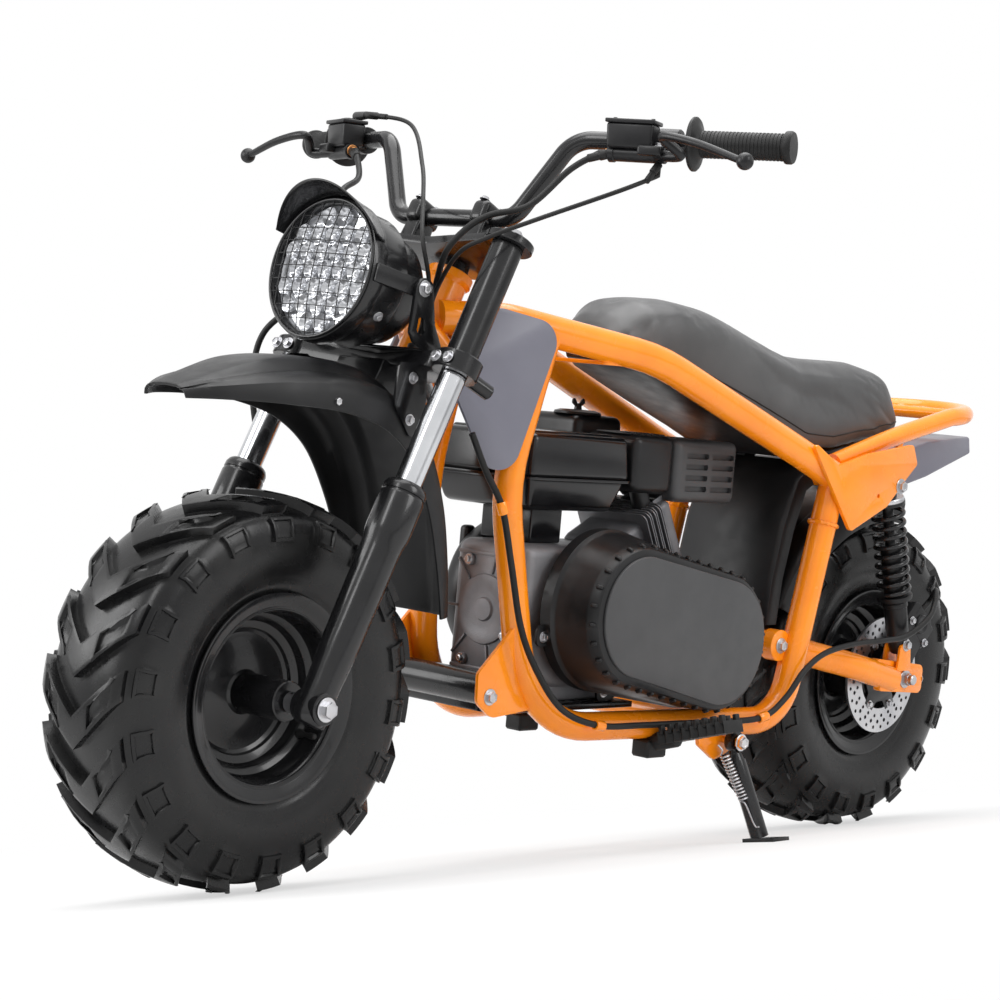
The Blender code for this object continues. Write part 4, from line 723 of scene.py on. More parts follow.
def oblong(half_x: float, half_y: float, corner: float, step: float = 0.22) -> list[tuple[float, float]]:
    """A closed rectangle with rounded corners round the origin."""
    return rounded([(x * half_x, y * half_y, corner) for x, y in ((-1, -1), (1, -1), (1, 1), (-1, 1))], step)


def toothed(count: int, tooth: Sequence[tuple[float, float]], at: Point = (0, 0)) -> list[tuple[float,
        float]]:
    """Outline of a toothed wheel, from the share of a pitch and the radius of each point of a tooth."""
    points = [(r, TURN * (i + share) / count) for i in range(count) for share, r in tooth]
    return [(at[0] + r * cos(a), at[1] + r * sin(a)) for r, a in points]


def circle(radius: float, count: int, at: Point = (0, 0), phase: float = 0.0) -> list[tuple[float, float]]:
    """Points round a circle, the first one turned by a share of a step."""
    angles = [TURN * (i + phase) / count for i in range(count)]
    return [(at[0] + radius * cos(a), at[1] + radius * sin(a)) for a in angles]


def belt_line(front: Point, rear: Point, front_r: float, rear_r: float, count: int = 40) -> list[Vector]:
    """The line of a belt round two wheels.

    Args:
        front: Centre of the front wheel, x and z.
        rear: Centre of the rear wheel.
        front_r: Radius round the front wheel.
        rear_r: Radius round the rear wheel.
        count: Steps round each wheel.

    Returns:
        The points, at y = 0.
    """
    ahead, behind = Vector((front[0], 0, front[1])), Vector((rear[0], 0, rear[1]))
    along = (behind - ahead).normalized()
    up = Vector((along.z, 0, -along.x))
    lean = asin((front_r - rear_r) / (behind - ahead).length)
    return [centre + along * (r * cos(a)) + up * (r * sin(a))
        for centre, r, start, sweep in ((ahead, front_r, pi / 2 - lean, pi + 2 * lean),
        (behind, rear_r, -pi / 2 + lean, pi - 2 * lean)) for a in (start + sweep * i / count
        for i in range(count + 1))]


def spaced(line: Sequence[Vector], count: int) -> list[tuple[Vector, Vector]]:
    """Evenly spaced points of a closed line, each with the direction there."""
    line = [*line, line[0]]
    marks = [0.0]
    for a, b in zip(line, line[1:]):
        marks.append(marks[-1] + (b - a).length)
    out = []
    for i in range(count):
        s = marks[-1] * i / count
        k = min(int(np.searchsorted(marks, s, side="right")) - 1, len(line) - 2)
        share = (s - marks[k]) / max(1e-9, marks[k + 1] - marks[k])
        out.append((line[k].lerp(line[k + 1], share), (line[k + 1] - line[k]).normalized()))
    return out


def mirrored(points: Sequence[Point], side: int) -> list[Point]:
    """The same points on the left (1) or right (-1) side."""
    return [(p[0], p[1] * side, *p[2:]) for p in points]


def torus_points(radius: float, count: int = 32) -> list[Vector]:
    """Points of a ring about Z."""
    return [Vector((x, y, 0)) for x, y in circle(radius, count)]


def whole(half: Sequence[tuple[float, float]]) -> list[tuple[float, float]]:
    """A section from its left half, whose last point lies in the middle."""
    return [*half, *((-y, d) for y, d in reversed(half[:-1]))]


SIDES = (("left", 1), ("right", -1))


# Fasteners


@dataclass
class Fasteners:
    """Hexagon bolts and nuts, modelled once and copied to where they belong."""

    _master: Object | None = None

    def master(self) -> Object:
        """One hexagon head of unit radius with its washer and a raised face, about Z."""
        if self._master is None:
            pick()
            bpy.ops.mesh.primitive_cylinder_add(vertices=6, radius=1.0, depth=0.8)
            head = bpy.context.object
            edit(head, lambda c, n: abs(n.z) < 0.5 or n.z > 0.5)
            bpy.ops.mesh.select_all(action="SELECT")
            bpy.ops.transform.translate(value=(0, 0, 0.4 + 0.16))
            close()
            edit(head, lambda c, n: n.z > 0.5)
            bpy.ops.mesh.inset(thickness=0.14)
            bpy.ops.transform.translate(value=(0, 0, 0.06))
            bpy.ops.mesh.inset(thickness=0.2)
            bpy.ops.mesh.inset(thickness=0.05)
            bpy.ops.transform.translate(value=(0, 0, -0.1))
            close()
            washer = lathe("washer", ((0, 0), (1.42, 0), (1.48, 0.05), (1.48, 0.12), (1.42, 0.17), (0, 0.17)),
                24)
            self._master = join(head, washer)
            self._master.name = "hexagon_master"
            self._master.hide_render = True
        return self._master

    def heads(self, name: str, place: Matrix, rows: Sequence[tuple[Point, Point, float]], body: Body,
            finish: Finish = STEEL) -> Object:
        """Puts heads at places.

        Args:
            name: Name of the piece that holds them all.
            place: The axes in which the rows are measured.
            rows: Rows of a spot, an outward direction and a radius.
            body: The body that they ride on.
            finish: Their finish.

        Returns:
            The piece.
        """
        turn = place.to_3x3()
        made = [copy(self.master(), shift(place @ Vector(at)) @ facing(turn @ Vector(way))
            @ Matrix.Scale(size, 4), name) for at, way, size in rows]
        piece = join(*made)
        piece.name = name
        return dress(piece, finish, body, smooth=28)


BOLTS = Fasteners()


# Wheels


@dataclass
class Tyre:
    """A fat tyre with stepped chevron lugs and framed shoulder blocks."""

    radius: float = 0.2385
    lug: float = 0.0115
    pitches: int = 18
    share: float = 0.46
    seat_radius: float = 0.104
    shoulder_r: float = 0.172
    block_r: float = 0.186
    lug_half: float = 0.066
    block_from: float = 0.069
    block_rise: float = 0.0052

    def half_profile(self) -> list[tuple[float, float, float]]:
        """Rows of half width, radius and chevron shear from the crown to the bead."""
        c = self.radius - self.lug
        return [(0.0, c, 0.0), (0.0045, c, 0.05), (0.011, c - 0.0002, 0.12), (0.02, c - 0.0007, 0.22),
            (0.03, c - 0.0017, 0.33), (0.04, c - 0.0031, 0.45), (0.05, c - 0.0051, 0.58),
            (0.058, c - 0.0078, 0.69), (0.0645, c - 0.0112, 0.78), (0.0695, c - 0.0165, 0.84),
            (0.0733, c - 0.0235, 0.86), (0.0758, c - 0.032, 0.86), (0.0777, c - 0.043, 0.86),
            (0.0788, c - 0.054, 0.86), (0.0787, 0.164, 0.86), (0.078, 0.156, 0.86), (0.0768, 0.148, 0.86),
            (0.0752, 0.142, 0.86), (0.0746, 0.1395, 0.86), (0.0738, 0.135, 0.86), (0.0722, 0.13, 0.86),
            (0.07, 0.1272, 0.86), (0.0697, self.seat_radius, 0.86)]

    def shape(self) -> Object:
        """Models the tyre about Z from a grid wrapped round the axle."""
        half = self.half_profile()
        rows = [(-y, r, s) for y, r, s in reversed(half[1:])] + half
        pitch = TURN / self.pitches
        marks = [self.share * k / 6 for k in range(6)] + [self.share + (1 - self.share) * k / 6
            for k in range(6)]
        table = []
        for lug in range(self.pitches):
            for mark in marks:
                ring = []
                for y, r, shear in rows:
                    a = (lug + mark + shear) * pitch
                    ring.append((r * cos(a), -r * sin(a), y))
                table.append(ring)
        tyre = skin("tyre_shell", table + [table[0]])
        lugs, blocks = set(), set()
        widths, shears = [h[0] for h in half[:14]], [h[2] for h in half[:14]]
        for face in tyre.data.polygons:
            x, y, z = face.center
            r, across = hypot(x, y), abs(z)
            phase = (atan2(-y, x) / pitch - float(np.interp(across, widths, shears))) % 1.0
            if r >= self.shoulder_r and phase < self.share and across < self.lug_half:
                lugs.add(face.index)
            elif r > self.block_r and phase < self.share * 0.98 and across > self.block_from:
                blocks.add(face.index)
        self._raise(tyre, blocks, self.block_rise, 0.0042, -0.003)
        self._raise(tyre, lugs, self.lug - 0.0004, 0.0048, -0.0042, groove=(0.018, 0.062))
        soften(tyre, 0.0009, 2, 38)
        self._trim(tyre)
        return tyre

    def _trim(self, tyre: Object, widest: float = 0.082) -> None:
        """Keeps every point inside the tyre's radius and width."""
        for vert in tyre.data.vertices:
            r = hypot(vert.co.x, vert.co.y)
            vert.co.z = max(-widest, min(widest, vert.co.z))
            reach = min(self.radius,
                (self.radius * cos(LEAN) + 0.005 - abs(vert.co.z) * sin(LEAN)) / cos(LEAN))
            if r > reach:
                vert.co.x *= reach / r
                vert.co.y *= reach / r

    @staticmethod
    def _raise(tyre: Object, faces: set[int], height: float, rim: float, sink: float,
            groove: tuple[float, float] | None = None) -> None:
        """Raises faces as lugs and sinks a recess into their tops.

        Args:
            tyre: The piece.
            faces: Indices of the faces.
            height: How far they rise.
            rim: Width of the border round a recess.
            sink: Depth of the recess.
            groove: Half widths between which the recess lies.
        """
        choose(tyre, [f.index in faces for f in tyre.data.polygons])
        bpy.ops.mesh.extrude_region_shrink_fatten(TRANSFORM_OT_shrink_fatten={"value": height})
        if groove:
            pick(tyre)  # leaves edit mode, so that the raised faces can be read
            choose(tyre, [f.select and groove[0] < abs(f.center.z) < groove[1] for f in tyre.data.polygons])
        bpy.ops.mesh.inset(thickness=rim, depth=0.0, use_even_offset=False)
        bpy.ops.mesh.inset(thickness=0.0009, depth=sink, use_even_offset=False)
        close()


@dataclass
class Wheel:
    """One wheel: tyre, pressed rim, brake disc and what turns with them."""

    end: str
    body: Body
    place: Matrix
    disc_side: int
    flange: float = 0.1235
    seat: float = 0.103
    half: float = 0.0745
    bore: float = 0.008
    disc: float = 0.086
    disc_y: float = 0.098
    hub: float = 0.042
    hub_left: float = 0.0955
    hub_right: float = 0.0923

    def build(self, tyre: Object) -> None:
        """Shapes and dresses the wheel.

        Args:
            tyre: The tyre shell to copy.
        """
        shell = copy(tyre, self.place, f"{self.end}_tyre_tread")
        dress(shell, TYRE, self.body, f"{self.end}_tyre", smooth=50)
        self.rim()
        self.brake_disc()
        self.valve()

    def rim(self) -> None:
        """Turns the flanged barrel with its stepped dish and hub."""
        f, s, h = self.flange, self.seat, self.half
        hub, left, right = self.hub, self.hub_left, self.hub_right
        lip = [(f, -h), (f + 0.0006, -h + 0.0015), (f, -h + 0.003), (s + 0.004, -0.0704), (s, -0.069),
            (s, 0.069), (s + 0.004, 0.0704), (f, h - 0.003), (f + 0.0006, h - 0.0015), (f, h), (0.1195, h),
            (0.115, 0.0722), (0.1085, 0.0708), (0.1035, 0.068), (0.1005, 0.063), (0.0992, 0.056)]
        dish = [(0.0985, 0.042), (0.0955, 0.037), (0.0905, 0.0345), (0.088, 0.032), (0.0868, 0.026),
            (0.0845, 0.0215), (0.079, 0.0195), (0.076, 0.018), (0.0742, 0.0135), (0.07, 0.011), (0.06, 0.012),
            (0.048, 0.016), (hub + 0.008, 0.019), (hub + 0.003, 0.02), (hub, 0.023), (hub, left - 0.0015),
            (hub - 0.0015, left), (self.bore, left), (self.bore, -right), (hub - 0.001, -right),
            (hub, -right + 0.001), (hub, 0.002), (hub + 0.004, -0.001), (0.06, -0.003), (0.074, -0.001),
            (0.085, 0.006), (0.0975, 0.012), (0.0985, 0.004)]
        back = [(0.0985, -0.056), (0.1005, -0.063), (0.1035, -0.068), (0.1085, -0.0708), (0.115, -0.0722),
            (0.1195, -h), (f, -h)]
        rim = lathe(f"{self.end}_rim_pressing", lip + dish + back, 96)
        dress(move(rim, self.place), GLOSS, self.body, f"{self.end}_rim", smooth=32)

    def brake_disc(self) -> None:
        """Cuts the drilled disc and its bolted carrier."""
        y = self.disc_y * self.disc_side
        holes = [circle(0.0505, 48)]
        for row, (r, count, size) in enumerate(((0.0785, 26, 0.0027), (0.07, 26, 0.003),
                (0.0615, 22, 0.0027))):
            holes += [circle(size, 12, at) for at in circle(r, count, phase=0.5 if row == 1 else 0.0)]
        disc = plate(f"{self.end}_disc_ring", [circle(self.disc, 96)] + holes, 0.0038, 0.0)
        place = self.place @ shift((0, 0, y))
        dress(move(disc, place), STEEL, self.body, f"{self.end}_brake_disc", smooth=30)
        arms = []
        for i in range(6):
            a = TURN * i / 6
            arms += [(0.0555, a - 0.2), (0.0555, a + 0.2), (0.04, a + 0.33), (0.04, a + TURN / 6 - 0.33)]
        star = [(r * cos(a), r * sin(a)) for r, a in arms]
        carrier = plate(f"{self.end}_disc_carrier", [star, circle(self.bore, 24)], 0.0046, 0.0006)
        dress(move(carrier, place), GLOSS, self.body)
        way = (0, 0, self.disc_side)
        rows = [((*at, 0.0023 * self.disc_side), way, 0.0042) for at in circle(0.05, 6)]
        BOLTS.heads(f"{self.end}_disc_bolts", place, rows, self.body)

    def valve(self) -> None:
        """A tyre valve through the rim's dish."""
        a = Vector((-0.0925, 0.012, 0.036))
        stem = lathe(f"{self.end}_valve", ((0, 0), (0.0058, 0), (0.0055, 0.004), (0.0032, 0.008),
            (0.003, 0.018), (0.004, 0.019), (0.004, 0.026), (0.0028, 0.028), (0, 0.028)), 16)
        dress(move(stem, self.place @ shift(a)), RUBBER, self.body)


@dataclass
class RearDrive:
    """Sprocket, chain, jackshaft and rear axle."""

    jackshaft: Point = (0.468, 0.303)
    chain_y: float = -0.096
    pitch: float = 0.0127
    pitch_r: Point = (0.032, 0.0835)
    teeth: int = 38
    small_teeth: int = 13

    def build(self) -> None:
        """Shapes and dresses the drive."""
        self.sprocket()
        self.chain()
        self.axle()

    def sprocket(self) -> None:
        """Cuts the toothed ring with its lightening holes."""
        teeth = toothed(self.teeth, ((0.0, 0.078), (0.22, 0.078), (0.42, 0.0722), (0.55, 0.0712),
            (0.68, 0.0712), (0.8, 0.0722)))
        holes = [circle(0.0085, 24, at) for at in circle(0.056, 6)]
        ring = plate("rear_sprocket_ring", [teeth, circle(0.008, 24)] + holes, 0.0036, 0.0)
        place = Place.REAR @ shift((0, 0, self.chain_y))
        dress(move(ring, place), STEEL, Body.REAR_WHEEL, "rear_sprocket", smooth=30)
        rows = [((*at, -0.0018), (0, 0, -1), 0.0048) for at in circle(0.034, 4)]
        BOLTS.heads("sprocket_bolts", place, rows, Body.REAR_WHEEL)

    def path(self) -> list[Vector]:
        """Points a pitch apart round both sprockets, upright axes."""
        dense = belt_line(self.jackshaft, (0, AXLE_Z), *self.pitch_r, 60)
        length = sum((b - a).length for a, b in zip(dense, [*dense[1:], dense[0]]))
        return [at for at, _ in spaced(dense, 2 * round(length / self.pitch / 2))]

    def chain(self) -> None:
        """Models one link pair and copies it along the chain's line."""
        plate_outline = oblong(0.0105, 0.0042, 0.0041, 0.7)
        links = {}
        for kind, y in (("outer", 0.0042), ("inner", 0.0028)):
            sides = [plate(kind, [plate_outline], 0.0012, 0.0, upright=True, y=s * y) for s in (1, -1)]
            rollers = [rod("roller", (x, -y, 0), (x, y, 0), 0.0036 if kind == "inner" else 0.0019, steps=10,
                chamfer=0.0002) for x in (-0.00635, 0.00635)]
            links[kind] = join(*sides, *rollers)
        pts = self.path()
        made = []
        for i, at in enumerate(pts):
            ahead = pts[(i + 1) % len(pts)] - at
            turn = turned(-atan2(ahead.z, ahead.x), "Y")
            middle = at + ahead / 2 + Vector((0, self.chain_y, 0))
            made.append(copy(links["outer" if i % 2 else "inner"], Place.BIKE @ shift(middle) @ turn))
        drop(*links.values())
        chain = join(*made)
        chain.name = "drive_chain_links"
        dress(chain, STEEL, Body.FRAME, "drive_chain")
        x, z = self.jackshaft
        shaft = rod("jackshaft", (x, 0.0777, z), (x, -0.106, z), 0.01)
        small = toothed(self.small_teeth, ((0.0, 0.0335), (0.25, 0.0335), (0.45, 0.0282), (0.8, 0.0282)),
            (x, z))
        pinion = plate("pinion", [small], 0.005, 0.0, upright=True, y=self.chain_y)
        dress(move(join(shaft, pinion), Place.BIKE), STEEL, Body.FRAME)

    def axle(self) -> None:
        """Turns the rear axle with nuts, washers and chain adjusters."""
        axle = rod("rear_axle_bar", (0, -0.158, AXLE_Z), (0, 0.158, AXLE_Z), 0.0075, chamfer=0.0015)
        dress(move(axle, Place.BIKE), STEEL, Body.FRAME, "rear_axle")
        rows = [((0, s * 0.1413, AXLE_Z), (0, s, 0), 0.0092) for s in (1, -1)]
        rows += [((-0.0455, s * 0.135, AXLE_Z - 0.0015), (-1, 0, 0), 0.005) for s in (1, -1)]
        BOLTS.heads("rear_axle_nuts", Place.BIKE, rows, Body.FRAME)


# Frame


@dataclass
class Frame:
    """Bent tubes, gussets, head tube, swingarm, rack and their fasteners."""

    loop_r: float = 0.019
    rail_r: float = 0.021
    head_r: float = 0.026
    head_low: float = 0.462
    head_top: float = 0.598
    rack_r: float = 0.0135
    rack_half: float = 0.122
    arc_x: float = -0.085
    arm_r: float = 0.019
    pivot: Point = (0.3, 0.0, 0.292)

    LOOP = ((0.775, 0.074, 0.692), (0.826, 0.07, 0.5, 0.25), (0.775, 0.092, 0.189, 0.13),
        (0.292, 0.133, 0.188, 0.07), (0.215, 0.135, 0.533))
    RAIL = ((0.92, 0.022, 0.7), (0.835, 0.058, 0.704, 0.1), (0.6, 0.114, 0.672, 0.3), (0.3, 0.134, 0.562),
        (0.13, 0.135, 0.5))
    BRACE = ((0.935, 0.017, 0.685), (0.812, 0.071, 0.55))
    GUSSET = ((0.311, 0.584, 0.004), (0.199, 0.456, 0.008), (0.116, 0.493, 0.01), (0.071, 0.536, 0.006),
        (0.048, 0.556, 0.006), (0.062, 0.584, 0.006), (0.17, 0.567, 0.004), (0.24, 0.548, 0.004))
    TAB = ((0.87, 0.262, 0.008), (0.8, 0.33, 0.006), (0.76, 0.214, 0.006), (0.84, 0.205, 0.02),
        (0.868, 0.225, 0.012))
    HOSE = ((0.912, 0.088, 0.56), (0.888, 0.094, 0.515), (0.86, 0.101, 0.47), (0.846, 0.112, 0.4),
        (0.822, 0.116, 0.32), (0.788, 0.122, 0.262), (0.742, 0.128, 0.216), (0.68, 0.1365, 0.196),
        (0.6, 0.1395, 0.1935), (0.52, 0.1435, 0.1935), (0.44, 0.15, 0.1935), (0.36, 0.157, 0.198),
        (0.32, 0.164, 0.225), (0.288, 0.168, 0.262), (0.24, 0.166, 0.285), (0.17, 0.164, 0.296),
        (0.1, 0.164, 0.3), (0.04, 0.164, 0.306), (-0.02, 0.162, 0.335), (-0.072, 0.134, 0.368),
        (-0.102, 0.106, 0.352), (-0.0939, 0.1, 0.3381), (-0.0859, 0.1, 0.3296))

    def build(self) -> None:
        """Shapes and dresses the frame."""
        for side, sign in SIDES:
            self.side(side, sign)
        self.middle()
        self.head()
        self.swingarm()
        self.rack()
        self.rear_hose()
        self.bolts()

    def weld(self, at: Point, way: Point, radius: float) -> Object:
        """A rippled weld bead round a tube's end."""
        pts = torus_points(radius, 40)
        ripple = [1.0 + 0.25 * sin(i * 2.4) for i in range(40)]
        bead = tube("weld", pts, 0.003, 8, True, ripple)
        return move(bead, shift(at) @ facing(way))

    def side(self, side: str, sign: int) -> None:
        """One side's loop, rail, brace, gusset and tab."""
        loop = tube(f"loop_tube_{side}", bent(mirrored(self.LOOP, sign)), self.loop_r, 28)
        brace = tube("brace", bent(mirrored(self.BRACE, sign)), 0.014, 24)
        tab = plate("tab", [rounded(self.TAB)], 0.005, 0.001, True, sign * 0.092)
        boss = rod("boss", (0.3, sign * 0.1115, 0.292), (0.3, sign * 0.132, 0.292), 0.022)
        low_end = self.weld((0.2305, sign * 0.1345, 0.464), (-0.2, 0, 1), self.loop_r + 0.0004)
        piece = join(loop, brace, tab, boss, low_end)
        dress(move(piece, Place.BIKE), ORANGE, Body.FRAME, f"frame_loop_{side}", smooth=40)
        rail = tube(f"rail_tube_{side}", bent(mirrored(self.RAIL, sign)), self.rail_r, 28)
        gusset = plate("gusset", [rounded(self.GUSSET), circle(0.0032, 16, (0.139, 0.508))], 0.006, 0.0012,
            True, sign * 0.1575)
        piece = join(rail, gusset)
        dress(move(piece, Place.BIKE), ORANGE, Body.FRAME, f"upper_rail_{side}", smooth=40)

    def middle(self) -> None:
        """Cross tube, seat bracket and hose clips."""
        cross = rod("lower_cross", (0.43, -0.115, 0.188), (0.43, 0.115, 0.188), 0.015)
        bracket = plate("seat_bracket",
            [rounded(((0.688, 0.102, 0.01), (0.688, -0.102, 0.01), (0.6, -0.106, 0.01), (0.6, 0.106, 0.01))),
            circle(0.01, 24, (0.644, 0.0))], 0.005, 0.001)
        move(bracket, shift((0, 0, 0.6612)))
        dress(move(join(cross, bracket), Place.BIKE), ORANGE, Body.FRAME)
        path = smooth_route(self.HOSE[:-1], 42)
        clips = []
        loop_path = bent(self.LOOP)
        for share in (0.1, 0.33, 0.535):
            clips.append(self.clip(path, round(share * (len(path) - 1)), loop_path, self.loop_r))
        clip = join(*clips)
        clip.name = "hose_clips"
        dress(move(clip, Place.BIKE), ORANGE, Body.FRAME)

    def clip(self, path: list[Vector], index: int, line: list[Vector], tube_r: float) -> Object:
        """A bent strap round the hose, welded to the tube beside it.

        Args:
            path: The hose's line.
            index: Where on it the clip sits.
            line: The tube's line.
            tube_r: The tube's radius.

        Returns:
            The clip.
        """
        spot = path[index]
        way = (path[index + 1] - path[index - 1]).normalized()
        foot = min((a.lerp(b, max(0.0, min(1.0, (spot - a).dot(b - a) / (b - a).length_squared)))
            for a, b in zip(line, line[1:])), key=lambda f: (f - spot).length)
        out = (spot - foot).normalized()
        strap = lathe("strap", ((0.0046, -0.008), (0.0064, -0.008), (0.0068, -0.0074), (0.0068, 0.0074),
            (0.0064, 0.008), (0.0046, 0.008), (0.0046, -0.008)), 24)
        move(strap, shift(spot) @ facing(way))
        arm = block("arm", (0.0155, 0.0035, (spot - foot).length - tube_r + 0.004), bevel=0.001)
        centre = foot + out * (tube_r + ((spot - foot).length - tube_r) / 2 - 0.002)
        basis = Matrix((way, out.cross(way), out)).transposed().to_4x4()
        move(arm, shift(centre) @ basis)
        return join(strap, arm)

    def head(self) -> None:
        """Head tube with flared ends and bearing cups."""
        h, r = self.head_top - self.head_low, self.head_r
        pipe = lathe("head_tube_turned", ((0, 0), (r + 0.003, 0), (r + 0.004, 0.001), (r + 0.004, 0.011),
            (r + 0.002, 0.0135), (r, 0.016), (r, h - 0.016), (r + 0.002, h - 0.0135), (r + 0.004, h - 0.011),
            (r + 0.004, h - 0.001), (r + 0.003, h), (0, h)), 64)
        move(pipe, Place.STEER @ shift((0, 0, self.head_low)))
        dress(pipe, ORANGE, Body.FRAME, "head_tube")

    def swingarm(self) -> None:
        """Pivot tube, two arms, slotted end plates and the shock lugs."""
        px, _, pz = self.pivot
        parts = [rod("swingarm_assembly", (px, -0.088, pz), (px, 0.088, pz), 0.022)]
        line = ((px, 0.088, pz), (0.225, 0.097, 0.281, 0.15), (0.12, 0.135, AXLE_Z + 0.0205, 0.15),
            (0.028, 0.135, AXLE_Z))
        for _, sign in SIDES:
            parts.append(tube("arm", bent(mirrored(line, sign)), self.arm_r, 24))
            slot = rounded(((0.02, AXLE_Z - 0.0078, 0.0077), (0.02, AXLE_Z + 0.0078, 0.0077),
                (-0.02, AXLE_Z + 0.0078, 0.0077), (-0.02, AXLE_Z - 0.0078, 0.0077)))
            parts.append(plate("end",
                [rounded(((0.075, AXLE_Z + 0.0315, 0.004), (-0.045, AXLE_Z + 0.0195, 0.01),
                (-0.045, AXLE_Z - 0.0225, 0.01), (0.06, AXLE_Z - 0.0165, 0.004))), slot], 0.012, 0.0012, True,
                sign * 0.135))
            for y in (-0.0125, 0.0125):
                parts.append(plate("ear",
                    [rounded(((0.034, 0.252, 0.002), (0.03, 0.292, 0.01), (0.006, 0.292, 0.01),
                    (0.0, 0.252, 0.002)))], 0.004, 0.0008, True, sign * (0.135 + y)))
        piece = join(*parts)
        dress(move(piece, Place.BIKE), ORANGE, Body.FRAME, "swingarm", smooth=40)

    def rack(self) -> None:
        """The loop behind the seat, its two bars and the cross tube."""
        ends = [(0.205, 0.124, 0.55), (0.06, self.rack_half, 0.592), (self.arc_x, self.rack_half, 0.628)]
        arc = [(self.arc_x - self.rack_half * sin(a), self.rack_half * cos(a), 0.628 + 0.01 * sin(a))
            for a in [pi * i / 36 for i in range(37)]]
        start = smooth_route([ends[0], ends[1], ends[2]], 14)[:-1]
        line = [tuple(p) for p in start] + arc + [(p[0], -p[1], p[2]) for p in reversed(start)]
        parts = [tube("rear_rack_loop", line, self.rack_r, 24)]
        parts.append(rod("bar", (0.04, -self.rack_half, 0.586), (0.04, self.rack_half, 0.586), 0.009))
        parts.append(rod("bar", (-0.115, -0.114, 0.631), (-0.115, 0.114, 0.631), 0.009))
        parts.append(rod("bar", (0.19, -0.118, 0.528), (0.19, 0.118, 0.528), 0.013))
        dress(move(join(*parts), Place.BIKE), ORANGE, Body.FRAME, "rear_rack", smooth=40)

    def rear_hose(self) -> None:
        """The rear brake hose along its route."""
        line = smooth_route(self.HOSE[:-1], 170) + [Vector(self.HOSE[-1])]
        hose = tube("rear_brake_line", line, 0.0042, 16)
        dress(move(hose, Place.BIKE), RUBBER, Body.FRAME, "rear_brake_hose", smooth=60)

    def bolts(self) -> None:
        """Hexagon heads on tabs, gussets and pivots."""
        rows = []
        for _, s in SIDES:
            rows += [((0.846, s * 0.0946, 0.232), (0, s, 0), 0.0072), ((0.3, s * 0.1322, 0.292), (0, s, 0),
                0.0074), ((0.086, s * 0.1606, 0.523), (0, s, 0), 0.0076),
                ((0.017, s * 0.1497, 0.29), (0, s, 0), 0.0062)]
        BOLTS.heads("frame_bolts", Place.BIKE, rows, Body.FRAME)


# Suspension


@dataclass
class Shocks:
    """Rear shock absorbers with their coil springs."""

    top: Point = (0.086, 0.135, 0.523)
    low: Point = (0.017, 0.135, 0.29)
    coil_r: float = 0.022
    wire_r: float = 0.0036
    turns: int = 9
    seat_low: float = 0.078
    seat_drop: float = 0.03

    def build(self) -> None:
        """Shapes and dresses both sides."""
        for side, sign in SIDES:
            top, low = Vector(mirrored([self.top], sign)[0]), Vector(mirrored([self.low], sign)[0])
            length = (top - low).length
            place = Place.BIKE @ shift(low) @ turned(atan2(top.x - low.x, top.z - low.z), "Y")
            a, b = self.seat_low, length - self.seat_drop
            body = lathe(f"shock_body_{side}", ((0, -0.0122), (0.011, -0.0122), (0.0125, -0.0105),
                (0.015, 0.004), (0.0165, 0.01), (0.017, a - 0.02), (0.0185, a - 0.019), (0.0185, a - 0.015),
                (0.0175, a - 0.013), (0.02, a - 0.01), (0.0255, a - 0.008), (0.026, a - 0.006),
                (0.026, a - 0.0015), (0.025, a - 0.001), (0.015, a - 0.001), (0.015, 0.15), (0.008, 0.151),
                (0.008, b + 0.001), (0.0255, b + 0.001), (0.026, b + 0.002), (0.026, b + 0.005),
                (0.024, b + 0.007), (0.015, b + 0.011), (0.011, length), (0, length)), 40)
            eye = rod("eye", (0, -0.014, length), (0, 0.014, length), 0.013, steps=32)
            foot = rod("foot_eye", (0, -0.01, 0), (0, 0.01, 0), 0.0115, steps=28)
            dress(move(join(body, eye, foot), place), SATIN, Body.FRAME, f"shock_{side}")
            collar = lathe(f"shock_collar_{side}", ((0.01, b + 0.0052), (0.0245, b + 0.0052),
                (0.025, b + 0.006), (0.025, b + 0.0105), (0.024, b + 0.012), (0.01, b + 0.0125),
                (0.01, b + 0.0052)), 36)
            dress(move(collar, place), STEEL, Body.FRAME)
            line = []
            steps = 28
            for i in range(self.turns * steps + 1):
                share = i / (self.turns * steps)
                angle = TURN * i / steps
                rise = a + self.wire_r - 0.0006 + (b - a - 2 * (self.wire_r - 0.0006)) * share
                line.append((self.coil_r * cos(angle), self.coil_r * sin(angle), rise))
            coil = tube(f"shock_coil_{side}", line, self.wire_r, 14)
            dress(move(coil, place), GLOSS, Body.FRAME, f"shock_spring_{side}", smooth=60)


